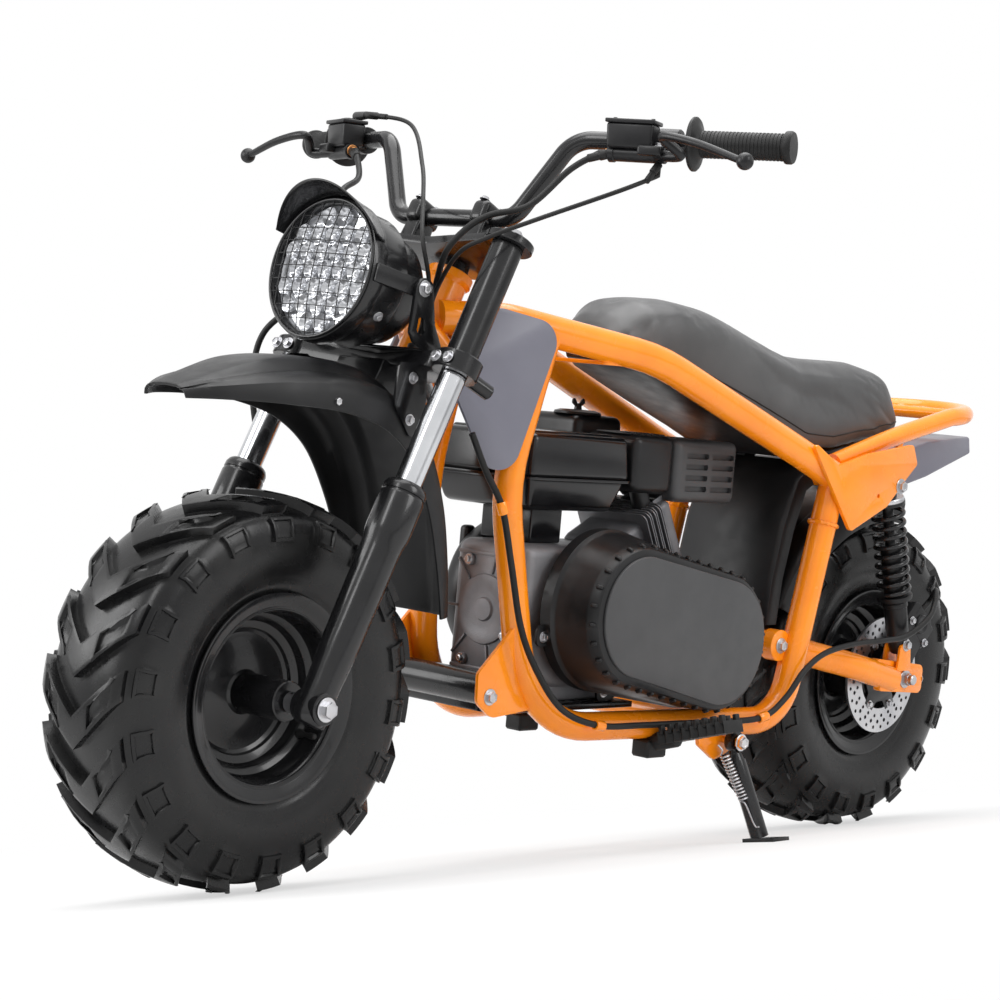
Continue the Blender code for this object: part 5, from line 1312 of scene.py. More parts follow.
@dataclass
class Fork:
    """Sliders, stanchions, lower clamp and axle of the front fork."""

    slider_r: float = 0.0275
    stanchion_r: float = 0.0165
    sleeve_r: float = 0.02
    slider_top: float = 0.285
    low_clamp: float = 0.441
    top_clamp: float = 0.612

    CLAMP = ((0.085, 0.12, 0.012), (0.04, 0.125, 0.012), (0.028, 0.058, 0.02), (-0.028, 0.024, 0.012),
        (-0.028, -0.024, 0.012), (0.028, -0.058, 0.02), (0.04, -0.125, 0.012), (0.085, -0.12, 0.012),
        (0.06, 0.0, 0.05))
    HANGER = ((1.012, 0.64, 0.004), (1.058, 0.64, 0.006), (1.062, 0.59, 0.01), (1.03, 0.548, 0.01),
        (1.008, 0.565, 0.01))

    def build(self) -> None:
        """Shapes and dresses the fork."""
        for side, sign in SIDES:
            self.leg(side, sign)
        self.caliper()
        self.clamp()
        self.axle()

    def leg(self, side: str, sign: int) -> None:
        """One slider with its seal and axle boss, and the chromed stanchion."""
        r, top = self.slider_r, self.slider_top
        slider = lathe(f"slider_turned_{side}", ((0, -0.022), (0.014, -0.022), (0.0165, -0.0205),
            (0.02, -0.0145), (0.021, -0.01), (0.021, 0.03), (0.0218, 0.042), (0.0232, 0.075), (0.024, 0.13),
            (0.0243, 0.198), (0.025, 0.208), (0.0268, 0.218), (r, 0.225), (r, 0.267), (r - 0.0008, 0.269),
            (r - 0.002, 0.2695), (r - 0.002, 0.2715), (r - 0.0004, 0.2722), (r - 0.0006, 0.278),
            (r - 0.003, 0.283), (r - 0.0055, top), (0, top)), 56)
        boss = rod("boss", (0, -0.0208, 0), (0, 0.0208, 0), 0.0192, steps=36, chamfer=0.0015)
        lug = block("lug", (0.03, 0.026, 0.03), (-0.004, 0, -0.006), 0.004)
        place = Place.STEER @ shift((FORK_OFFSET, sign * FORK_HALF, 0))
        dress(move(join(slider, boss, lug), place), GLOSS, Body.STEERING, f"fork_slider_{side}")
        shaft = rod(f"stanchion_rod_{side}", (0, 0, top + GAP), (0, 0, self.low_clamp - 0.0103),
            self.stanchion_r, steps=48)
        dress(move(shaft, place), CHROME, Body.STEERING, f"stanchion_{side}")

    def caliper(self) -> None:
        """The front caliper on the right slider, in two halves astride the disc."""
        x = FORK_OFFSET - 0.014
        parts = [block("front_caliper_halves", (0.058, 0.025, 0.044), (x, -0.1142, 0.086), 0.006),
            block("inner", (0.058, 0.013, 0.044), (x, -0.0878, 0.086), 0.004),
            block("bridge", (0.052, 0.044, 0.014), (x, -0.104, 0.101), 0.004),
            rod("piston", (x - 0.012, -0.126, 0.084), (x - 0.012, -0.1275, 0.084), 0.012, steps=30),
            block("mount", (0.026, 0.016, 0.06), (x + 0.012, -0.124, 0.078), 0.004)]
        dress(move(join(*parts), Place.STEER), SATIN, Body.STEERING)
        rows = [((x + 0.012, -0.1322, z), (0, -1, 0), 0.0052) for z in (0.058, 0.098)]
        BOLTS.heads("front_caliper_bolts", Place.STEER, rows, Body.STEERING)

    def clamp(self) -> None:
        """Lower clamp with eyes, sleeves, steering stops, bearing and the fender's hangers."""
        z = self.low_clamp
        sheet = plate("lower_clamp_forged", [rounded(self.CLAMP)], 0.02, 0.0025)
        move(sheet, shift((0, 0, z)))
        parts = [sheet]
        rows = []
        for _, s in SIDES:
            y = s * FORK_HALF
            parts.append(lathe("eye", ((0, z - 0.01), (0.0275, z - 0.01), (0.029, z - 0.0085),
                (0.029, z + 0.0125), (0.0275, z + 0.014), (0, z + 0.014)), 44))
            move(parts[-1], shift((FORK_OFFSET, y, 0)))
            parts.append(rod("sleeve", (FORK_OFFSET, y, z), (FORK_OFFSET, y, self.top_clamp - 0.0053),
                self.sleeve_r, steps=48))
            parts.append(rod("stop", (0.035, s * 0.128, z + 0.004), (-0.006, s * 0.142, z), 0.0095, steps=28,
                chamfer=0.002))
            rows.append(((0.0885, s * 0.13, z + 0.001), (1, 0, 0), 0.0052))
            rows.append(((0.0885, s * 0.15, z + 0.001), (1, 0, 0), 0.0052))
        parts.append(rod("bearing", (0, 0, z), (0, 0, 0.4616), 0.024, steps=40))
        parts.append(block("fender_block", (0.04, 0.08, 0.06), (0.062, 0.0, z - 0.035), 0.003))
        piece = move(join(*parts), Place.STEER)
        hangers = [plate("hanger", [rounded(self.HANGER)], 0.004, 0.0008, True, s * 0.0985) for _, s in SIDES]
        for hanger in hangers:
            move(hanger, Place.BIKE)
        dress(join(piece, *hangers), GLOSS, Body.STEERING, "lower_clamp")
        BOLTS.heads("clamp_bolts", Place.STEER, rows, Body.STEERING)
        rows = [((1.035, s * 0.1006, zz), (0, s, 0), 0.0048) for _, s in SIDES for zz in (0.622, 0.572)]
        BOLTS.heads("hanger_bolts", Place.BIKE, rows, Body.STEERING)

    def axle(self) -> None:
        """Front axle with nuts and spacers."""
        parts = [rod("front_axle_bar", (0, 0, -0.172), (0, 0, 0.172), 0.0075, chamfer=0.0015)]
        for s in (1, -1):
            parts.append(rod("spacer", (0, 0, s * 0.101), (0, 0, s * 0.1191), 0.0125))
        axle = join(*parts)
        dress(move(axle, Place.FRONT), STEEL, Body.STEERING, "front_axle")
        rows = [((0, 0, s * 0.1618), (0, 0, s), 0.0098) for s in (1, -1)]
        BOLTS.heads("front_axle_nuts", Place.FRONT, rows, Body.STEERING)


@dataclass
class Bars:
    """Top clamp, risers, handlebar, grips, brake controls and cables."""

    bend: Point = (0.044, 0.16, 0.768)
    tip: Point = (-0.044, 0.409, 0.813)
    radius: float = 0.0111
    top_clamp: float = 0.612
    control_y: float = 0.246
    master_z: float = -0.018
    riser: Point = (0.031, 0.661)

    TOP = ((0.078, 0.125, 0.015), (0.042, 0.128, 0.01), (0.0, 0.08, 0.02), (-0.03, 0.04, 0.015),
        (-0.03, -0.04, 0.015), (0.0, -0.08, 0.02), (0.042, -0.128, 0.01), (0.078, -0.125, 0.015),
        (0.06, 0.0, 0.05))

    def on_bar(self, y: float, sign: int) -> Vector:
        """Point of the bar's straight outer part, y out from the middle."""
        bend, way = Vector(self.bend), Vector(self.tip) - Vector(self.bend)
        spot = bend + way * ((y - bend.y) / way.y)
        return Vector((spot.x, sign * spot.y, spot.z))

    def control(self, sign: int) -> Matrix:
        """Level axes round the bar where the controls clamp."""
        way = Vector(self.tip) - Vector(self.bend)
        sweep = atan2(-way.x * cos(RAKE) + way.z * sin(RAKE), way.y)
        turn = turned(RAKE, "Y") @ turned(sign * sweep, "Z")
        return shift(self.on_bar(self.control_y, sign)) @ turn

    def build(self) -> None:
        """Shapes and dresses the bars."""
        self.clamp_and_bar()
        for side, sign in SIDES:
            self.grip(side, sign)
            self.brake(side, sign)
        self.cables()

    def clamp_and_bar(self) -> None:
        """Top clamp with fork eyes, risers and the bent bar."""
        z = self.top_clamp
        sheet = plate("bar_and_top_clamp", [rounded(self.TOP)], 0.01, 0.0018)
        move(sheet, shift((0, 0, z)))
        half = ((self.riser[0], 0.1, self.riser[1], 0.035), (*self.bend, 0.045), tuple(self.tip))
        line = bent([(x, -y, h, *r) for x, y, h, *r in reversed(half)] + list(half), 0.08)
        parts = [sheet, tube("bar", line, self.radius, 28), rod("stem", (0, 0, 0.5984), (0, 0, z), 0.02)]
        nuts = []
        for _, s in SIDES:
            y = s * FORK_HALF
            eye = lathe("eye", ((0, z - 0.005), (0.0298, z - 0.005), (0.031, z - 0.0038), (0.031, z + 0.0038),
                (0.0298, z + 0.005), (0, z + 0.005)), 48)
            move(eye, shift((FORK_OFFSET, y, 0)))
            parts.append(eye)
            parts.append(block("riser", (0.034, 0.026, 0.044), (0.03, s * 0.056, z + 0.0255), 0.004,
                taper=0.86))
            parts.append(block("riser_cap", (0.044, 0.026, 0.031),
                (self.riser[0], s * 0.056, self.riser[1] + 0.002), 0.008, 4))
            nuts.append(((FORK_OFFSET, y, z + 0.005), (0, 0, 1), 0.012))
            for x in (0.015, 0.047):
                nuts.append(((x, s * 0.056, self.riser[1] + 0.0175), (0, 0, 1), 0.0046))
        nuts.append(((0, 0, z + 0.005), (0, 0, 1), 0.012))
        dress(move(join(*parts), Place.STEER), GLOSS, Body.STEERING, "handlebar")
        BOLTS.heads("top_clamp_bolts", Place.STEER, nuts, Body.STEERING)

    def grip(self, side: str, sign: int) -> None:
        """A ribbed rubber grip with its flange and end knob."""
        inner, outer = self.on_bar(0.3, sign), self.on_bar(self.tip[1], sign)
        span = (outer - inner).length
        bore = self.radius + 0.0005
        rows = [(bore, 0), (0.0315, 0), (0.0328, 0.0012), (0.0328, 0.0038), (0.031, 0.0056), (0.023, 0.0072),
            (0.018, 0.01)]
        at = 0.012
        while at < span - 0.008:
            rows += [(0.0158, at), (0.0158, at + 0.0012), (0.0166, at + 0.0016), (0.0166, at + 0.0034),
                (0.0158, at + 0.0038)]
            at += 0.0046
        rows += [(0.0165, span - 0.003), (0.0192, span - 0.0015), (0.0198, span + 0.0005),
            (0.0198, span + 0.0055), (0.0185, span + 0.0078), (0, span + 0.008), (0, span + 0.0012),
            (bore, span + 0.0012), (bore, 0)]
        grip = lathe(f"ribbed_grip_{side}", rows, 40)
        move(grip, Place.STEER @ shift(inner) @ facing(outer - inner))
        dress(grip, RUBBER, Body.STEERING, f"grip_{side}", smooth=30)

    def brake(self, side: str, sign: int) -> None:
        """Reservoir, master cylinder, clamp and lever."""
        place, mz = self.control(sign), self.master_z
        parts = [block(f"brake_unit_{side}", (0.03, 0.056, 0.03), (0.03, -sign * 0.008, 0.003), 0.0035,
            taper=1.06), block("pot_lid", (0.036, 0.062, 0.005), (0.03, -sign * 0.008, 0.0203), 0.0014),
            rod("master", (0.03, -sign * 0.034, mz), (0.03, sign * 0.036, mz), 0.0095),
            rod("collar", (0.03, -sign * 0.036, mz), (0.03, -sign * 0.028, mz), 0.0108),
            rod("boot", (0.03, sign * 0.033, mz), (0.03, sign * 0.042, mz), 0.0078, 0.0056),
            block("perch", (0.026, 0.03, 0.012), (0.038, sign * 0.02, mz + 0.004), 0.003),
            block("arm", (0.024, 0.022, 0.02), (0.014, -sign * 0.002, -0.004), 0.003),
            lathe("clamp", ((0.0114, 0), (0.0168, 0), (0.0178, 0.001), (0.0178, 0.017), (0.0168, 0.018),
            (0.0114, 0.018), (0.0114, 0)), 36)]
        move(parts[-1], shift((0, -sign * 0.002 + 0.009, 0)) @ turned(pi / 2, "X"))
        housing = lathe("switch_housing", ((0.0114, 0), (0.016, 0), (0.0176, 0.002), (0.0176, 0.026),
            (0.016, 0.028), (0.0114, 0.028), (0.0114, 0)), 36)
        move(housing, shift((0, sign * 0.03 + 0.014, 0)) @ turned(pi / 2, "X"))
        parts.append(housing)
        if sign < 0:
            parts += [rod("post", (0, -0.03, 0.01), (0, -0.03, 0.036), 0.006),
                rod("elbow", (0, -0.036, 0.034), (0, 0.002, 0.034), 0.0065, 0.0052, chamfer=0.0016)]
        unit = move(join(*parts), place)
        line = [place @ Vector((0.032, sign * 0.022, mz)), place @ Vector((0.05, sign * 0.06, mz)),
            Vector((0.058, sign * 0.2 + sign * 0.11, 0.764)), Vector((0.056, sign * 0.362, 0.757)),
            Vector((0.042, sign * 0.424, 0.743))]
        route = smooth_route(line, 32)
        lever = tube("lever", route, 0.0056, 16, radii=[1.25 - 0.45 * i / 32 for i in range(33)])
        pick()
        bpy.ops.mesh.primitive_uv_sphere_add(segments=24, ring_count=14, radius=0.0103)
        ball = bpy.context.object
        edit(ball, lambda c, n: n.y * sign > 0.93)
        bpy.ops.transform.translate(value=(0, -sign * 0.0008, 0))
        close()
        move(ball, shift((0.04, sign * 0.4305, 0.7426)))
        unit = join(unit, lever, ball)
        dress(move(unit, Place.STEER), SATIN, Body.STEERING, f"brake_control_{side}")
        full = Place.STEER @ place
        rows = [((0.034, sign * 0.026, mz + 0.0105), (0, 0, 1), 0.0044)]
        rows += [((0.029, -sign * 0.002 - 0.004, 0.012), (1, 0, 0), 0.003)]
        BOLTS.heads(f"brake_bolts_{side}", full, rows, Body.STEERING)
        rows = [((0.03, -sign * (0.008 + d), 0.0226), (0, 0, 1), 0.0026) for d in (-0.024, 0.024)]
        BOLTS.heads(f"lid_screws_{side}", full, rows, Body.STEERING, SATIN)
        rows = [((0.03, -sign * 0.0358, mz), (0, -sign, 0), 0.0052)]
        BOLTS.heads(f"banjo_{side}", full, rows, Body.STEERING, BRASS)

    def cables(self) -> None:
        """Hoses and cables from the controls to the clip, and the front brake hose."""
        left, right, mz = self.control(1), self.control(-1), self.master_z
        clip = Vector((0.046, 0.045, 0.467))
        routes = ((left @ Vector((0.03, -0.0343, mz)), left @ Vector((0.03, -0.048, mz)),
            (0.06, 0.189, 0.716), (0.075, 0.164, 0.657), (0.09, 0.122, 0.633), (0.095, 0.098, 0.61),
            (0.092, 0.078, 0.578), (0.062, 0.052, 0.545), (0.051, 0.047, 0.505)),
            (left @ Vector((0.03, 0.028, mz - 0.0098)), left @ Vector((0.03, 0.028, mz - 0.024)),
            (0.056, 0.275, 0.69), (0.092, 0.2, 0.627), (0.106, 0.148, 0.592), (0.103, 0.112, 0.572),
            (0.064, 0.058, 0.545), (0.051, 0.049, 0.5)), (right @ Vector((0, 0.0023, 0.034)),
            right @ Vector((0, 0.02, 0.034)), (0.035, -0.1455, 0.795), (0.06, -0.064, 0.72),
            (0.075, -0.018, 0.66), (0.084, 0.019, 0.602), (0.06, 0.036, 0.552), (0.05, 0.042, 0.505)))
        parts = []
        for route, size in zip(routes, (0.004, 0.0028, 0.0028)):
            line = [Vector(route[0])] + smooth_route(route[1:] + (tuple(clip),), 90)
            parts.append(tube("cable_run", line, size, 14))
            for k in (1, 2):
                a, b = Vector(line[0]), Vector(line[5])
                parts.append(rod("sleeve", a.lerp(b, 0.15 * (k - 1)), a.lerp(b, 0.55 * k), size + 0.0022 / k,
                    steps=18))
        parts.append(rod("tie", clip + Vector((0, 0, 0.006)), clip - Vector((0, 0, 0.0113)), 0.0105, steps=24,
            chamfer=0.002))
        dress(move(join(*parts), Place.STEER), RUBBER, Body.STEERING, "control_cables", smooth=60)
        front = (right @ Vector((0.03, 0.0343, mz)), right @ Vector((0.03, 0.048, mz)), (0.06, -0.17, 0.7),
            (0.1, -0.14, 0.655), (0.112, -0.112, 0.6), (0.098, -0.112, 0.52), (0.094, -0.176, 0.45),
            (0.064, -0.184, 0.38), (0.028, -0.16, 0.3), (0.03, -0.124, 0.2), (0.04, -0.11, 0.132),
            (0.04, -0.11, 0.1093))
        line = [Vector(front[0])] + smooth_route(front[1:-1], 120) + [Vector(front[-1])]
        hose = tube("front_brake_line", line, 0.004, 14)
        ends = rod("ferrule", line[0], line[4], 0.0058, steps=18)
        dress(move(join(hose, ends), Place.STEER), RUBBER, Body.STEERING, "front_brake_hose", smooth=60)


@dataclass
class Headlamp:
    """Bowl, visor, reflectors and wire guard of the lamp, with its brackets."""

    lens_r: float = 0.081
    guard_r: float = 0.087
    cells: int = 11
    cup_pitch: float = 0.0252
    row_step: float = 0.866
    cups_r: float = 0.07

    PLATE = ((0.034, 0.4513, 0.003), (0.1, 0.4513, 0.006), (0.112, 0.458, 0.006), (0.131, 0.51, 0.008),
        (0.126, 0.527, 0.01), (0.108, 0.527, 0.01), (0.08, 0.486, 0.012))
    HOLE = ((0.085, 0.464, 0.005), (0.103, 0.464, 0.005), (0.116, 0.504, 0.005))

    def build(self) -> None:
        """Shapes and dresses the lamp."""
        self.bowl()
        self.reflectors()
        self.guard()

    def bowl(self) -> None:
        """The turned bowl with its front ring, the visor, straps and bracket plates."""
        r = self.lens_r
        bowl = lathe("lamp_bowl", ((0, -0.118), (0.03, -0.1172), (0.046, -0.114), (0.058, -0.106),
            (0.066, -0.095), (0.0695, -0.08), (0.071, -0.06), (0.075, -0.0555), (0.0815, -0.053),
            (0.083, -0.05), (0.084, -0.013), (0.0855, -0.0112), (0.088, -0.0108), (0.089, -0.009),
            (0.089, 0.008), (0.088, 0.0102), (0.085, 0.0118), (r + 0.0015, 0.012), (r + GAP, 0.0105),
            (r + GAP, -0.0065), (0, -0.0105)), 96)
        rows = []
        for i in range(49):
            a = radians(-64 + 128 * i / 48)
            reach = 0.35 + 0.65 * max(0.0, (cos(a) - 0.45) / 0.55)
            row = []
            for k in range(9):
                t = k / 8
                spread = 0.0884 + 0.01 * t ** 1.2
                row.append((-spread * cos(a), -spread * sin(a), -0.006 + (0.052 * reach + 0.006) * t))
            rows.append(row)
        visor = soften(thicken(skin("visor", rows), 0.002, 0.0), 0.0006)
        straps = [block("strap", (0.022, 0.005, 0.088), (0, s * 0.0904, -0.036), 0.0012) for _, s in SIDES]
        lamp = move(join(bowl, visor, *straps), Place.LAMP)
        plates = [plate("bracket", [rounded(self.PLATE), rounded(self.HOLE)], 0.0045, 0.0008, True,
            s * 0.0955) for _, s in SIDES]
        plates.append(block("base", (0.043, 0.19, 0.0036), (0.0565, 0, 0.4533), 0.001))
        brackets = move(join(*plates), Place.STEER)
        dress(join(lamp, brackets), GLOSS, Body.STEERING, "headlamp_bowl", smooth=32)
        rows = [((0.1178, s * 0.0979, 0.5143), (0, s, 0), 0.0068) for _, s in SIDES]
        BOLTS.heads("lamp_bolts", Place.STEER, rows, Body.STEERING)
        rows = [((0.045, s * 0.0705, -0.03), (0.55, s * 0.84, 0), 0.0044) for _, s in SIDES]
        BOLTS.heads("bowl_screws", Place.LAMP, rows, Body.STEERING)

    def reflectors(self) -> None:
        """A bright base with rows of small cups, each with its diode."""
        base = lathe("lamp_reflector", ((0, -0.0098), (self.lens_r - 0.001, -0.006), (self.lens_r, -0.005),
            (self.lens_r, 0.0005), (self.lens_r - 0.002, 0.0015), (0.077, -0.001), (0, -0.001)), 72)
        cup = lathe("cup", ((0.002, -0.0012), (0.005, -0.0008), (0.0092, 0.002), (0.0112, 0.0052),
            (0.0117, 0.0056), (0.012, 0.005), (0.0104, 0.0012), (0.01, -0.0012), (0.002, -0.0012)), 18)
        diode = lathe("diode", ((0, -0.0012), (0.0036, -0.0012), (0.0036, 0.001), (0.0026, 0.003),
            (0.001, 0.0038), (0, 0.004)), 12)
        unit = join(cup, diode)
        made = []
        for row in range(-3, 4):
            for col in range(-4, 5):
                x, y = row * self.cup_pitch * self.row_step, (col + (row % 2) / 2) * self.cup_pitch
                if hypot(x, y) < self.cups_r:
                    made.append(copy(unit, shift((x, y, 0))))
        drop(unit)
        dress(move(join(base, *made), Place.LAMP), LENS, Body.STEERING, "headlamp_lens", smooth=40)

    def guard(self) -> None:
        """A bulging wire mesh in a ring."""
        parts = [tube("wire_guard", [(p.x, p.y, 0.0128) for p in torus_points(self.guard_r - 0.002, 96)],
            0.0021, 10, True)]
        pitch = 2 * self.guard_r / self.cells
        for k in range(self.cells):
            u = (k - (self.cells - 1) / 2) * pitch
            if abs(u) > self.guard_r - 0.006:
                continue
            reach = sqrt((self.guard_r - 0.0022) ** 2 - u * u)
            for swung in (0, 1):
                line = []
                for i in range(25):
                    v = -reach + 2 * reach * i / 24
                    bulge = 0.0125 + 0.012 * (1 - (u * u + v * v) / self.guard_r ** 2)
                    weave = 0.0004 * (1 if swung else -1)
                    line.append((v, u, bulge + weave) if swung else (u, v, bulge + weave))
                parts.append(tube("wire", line, 0.00065, 6))
        dress(move(join(*parts), Place.LAMP), GLOSS, Body.STEERING, "headlamp_guard", smooth=60)


# Bodywork


@dataclass
class Seat:
    """The padded seat, blown up a little by a cloth simulation, on its pan."""

    voxel: float = 0.005
    cap: float = 0.007
    inset: float = 0.003
    pressure: float = 4.0
    frames: int = 20
    welt_ends: Point = (0.012, 0.604)
    welt_steps: int = 140

    ROWS = ((0.614, 0.688, 0.712, 0.04, 0.028), (0.6, 0.682, 0.73, 0.062, 0.048),
        (0.562, 0.671, 0.752, 0.08, 0.066), (0.51, 0.656, 0.756, 0.09, 0.076),
        (0.43, 0.63, 0.744, 0.097, 0.083), (0.33, 0.598, 0.715, 0.101, 0.088),
        (0.245, 0.568, 0.692, 0.104, 0.092), (0.18, 0.566, 0.69, 0.105, 0.094),
        (0.08, 0.586, 0.692, 0.104, 0.09), (0.034, 0.5975, 0.69, 0.101, 0.084),
        (0.012, 0.6035, 0.68, 0.096, 0.074), (0.004, 0.612, 0.664, 0.088, 0.062))

    def build(self) -> None:
        """Shapes and dresses the seat and its pan."""
        seat = self.shell()
        self.inflate(seat)
        modify(seat, "SUBSURF", levels=1, render_levels=1)
        welt = self.welt(seat)
        for obj in (seat, welt):
            move(obj, Place.BIKE)
        dress(seat, VINYL, Body.FRAME, "seat", smooth=70)
        dress(welt, RUBBER, Body.FRAME, smooth=60)
        pan = soften(of_node("seat_pan", "seat_pan_pressing"), 0.0022, 3, 30)
        dress(pan, SATIN, Body.FRAME, "seat_pan")

    def shell(self) -> Object:
        """A closed skin over finer rows than the solid's, remeshed evenly."""
        xs = [row[0] for row in self.ROWS][::-1]
        rings = []
        for k in range(61):
            x = xs[0] + (xs[-1] - xs[0]) * (1 - cos(pi * k / 60)) / 2
            low, top, wide, shoulder = (self._at(x, i) for i in (1, 2, 3, 4))
            edge = min(0.028, (top - low) * 0.45)
            corner = [(x, wide - 0.002, low), (x, wide, low + edge * 0.2), (x, wide, low + edge * 0.5),
                (x, shoulder + 0.008, top - edge), (x, shoulder - 0.012, top - edge * 0.3),
                (x, shoulder * 0.45, top - edge * 0.03), (x, 0.0, top)]
            half = [(x, 0, low), (x, wide * 0.6, low)] + [tuple(p) for p in smooth_route(corner, 18)]
            rings.append(half + [(px, -y, z) for px, y, z in reversed(half[1:-1])])
        seat = skin("padded_seat", rings, wrap=True)
        modify(seat, "REMESH", mode="VOXEL", voxel_size=self.voxel)
        return modify(seat, "SMOOTH", factor=0.5, iterations=3)

    def _at(self, x: float, column: int) -> float:
        """A row value at a place along the seat."""
        rows = self.ROWS[::-1]
        return float(np.interp(x, [row[0] for row in rows], [row[column] for row in rows]))

    def inflate(self, seat: Object) -> None:
        """Swells the cover under pressure with its base held, and caps the movement.

        Args:
            seat: The even mesh, in upright axes.
        """
        edit(seat)
        bpy.ops.transform.shrink_fatten(value=-self.inset)
        close()
        mesh = seat.data
        count = len(mesh.vertices)
        before = np.empty(count * 3)
        mesh.vertices.foreach_get("co", before)
        held = seat.vertex_groups.new(name="base")
        held.add([v.index for v in mesh.vertices if v.normal.z < -0.6], 1.0, "REPLACE")
        cloth = seat.modifiers.new("cover", "CLOTH")
        cloth.settings.vertex_group_mass = "base"
        cloth.settings.use_pressure = True
        cloth.settings.uniform_pressure_force = self.pressure
        cloth.settings.effector_weights.gravity = 0.0
        scene = bpy.context.scene
        for frame in range(1, self.frames + 1):
            scene.frame_set(frame)
        apply(seat, cloth)
        after = np.empty(count * 3)
        mesh = seat.data
        mesh.vertices.foreach_get("co", after)
        before, after = before.reshape(-1, 3), after.reshape(-1, 3)
        step = after - before
        length = np.linalg.norm(step, axis=1, keepdims=True)
        step *= np.minimum(1.0, self.cap / np.maximum(length, 1e-9))
        mesh.vertices.foreach_set("co", (before + step).ravel())
        mesh.update()
        scene.frame_set(1)

    def welt(self, seat: Object) -> Object:
        """A thin sewn welt round the cover's lower edge, laid on the swollen surface."""
        line = []
        rear, front = self.welt_ends
        for k in range(self.welt_steps):
            share = k / self.welt_steps * 2
            side = 1 if share < 1 else -1
            x = rear + (front - rear) * (share if share < 1 else 2 - share)
            low, top, wide = self._at(x, 1), self._at(x, 2), self._at(x, 3)
            _, at, normal, _ = seat.closest_point_on_mesh(Vector((x, side * (wide + 0.01),
                low + 0.16 * (top - low))))
            line.append(at + normal * 0.0002)
        return tube("seat_welt", line, 0.0011, 8, True)


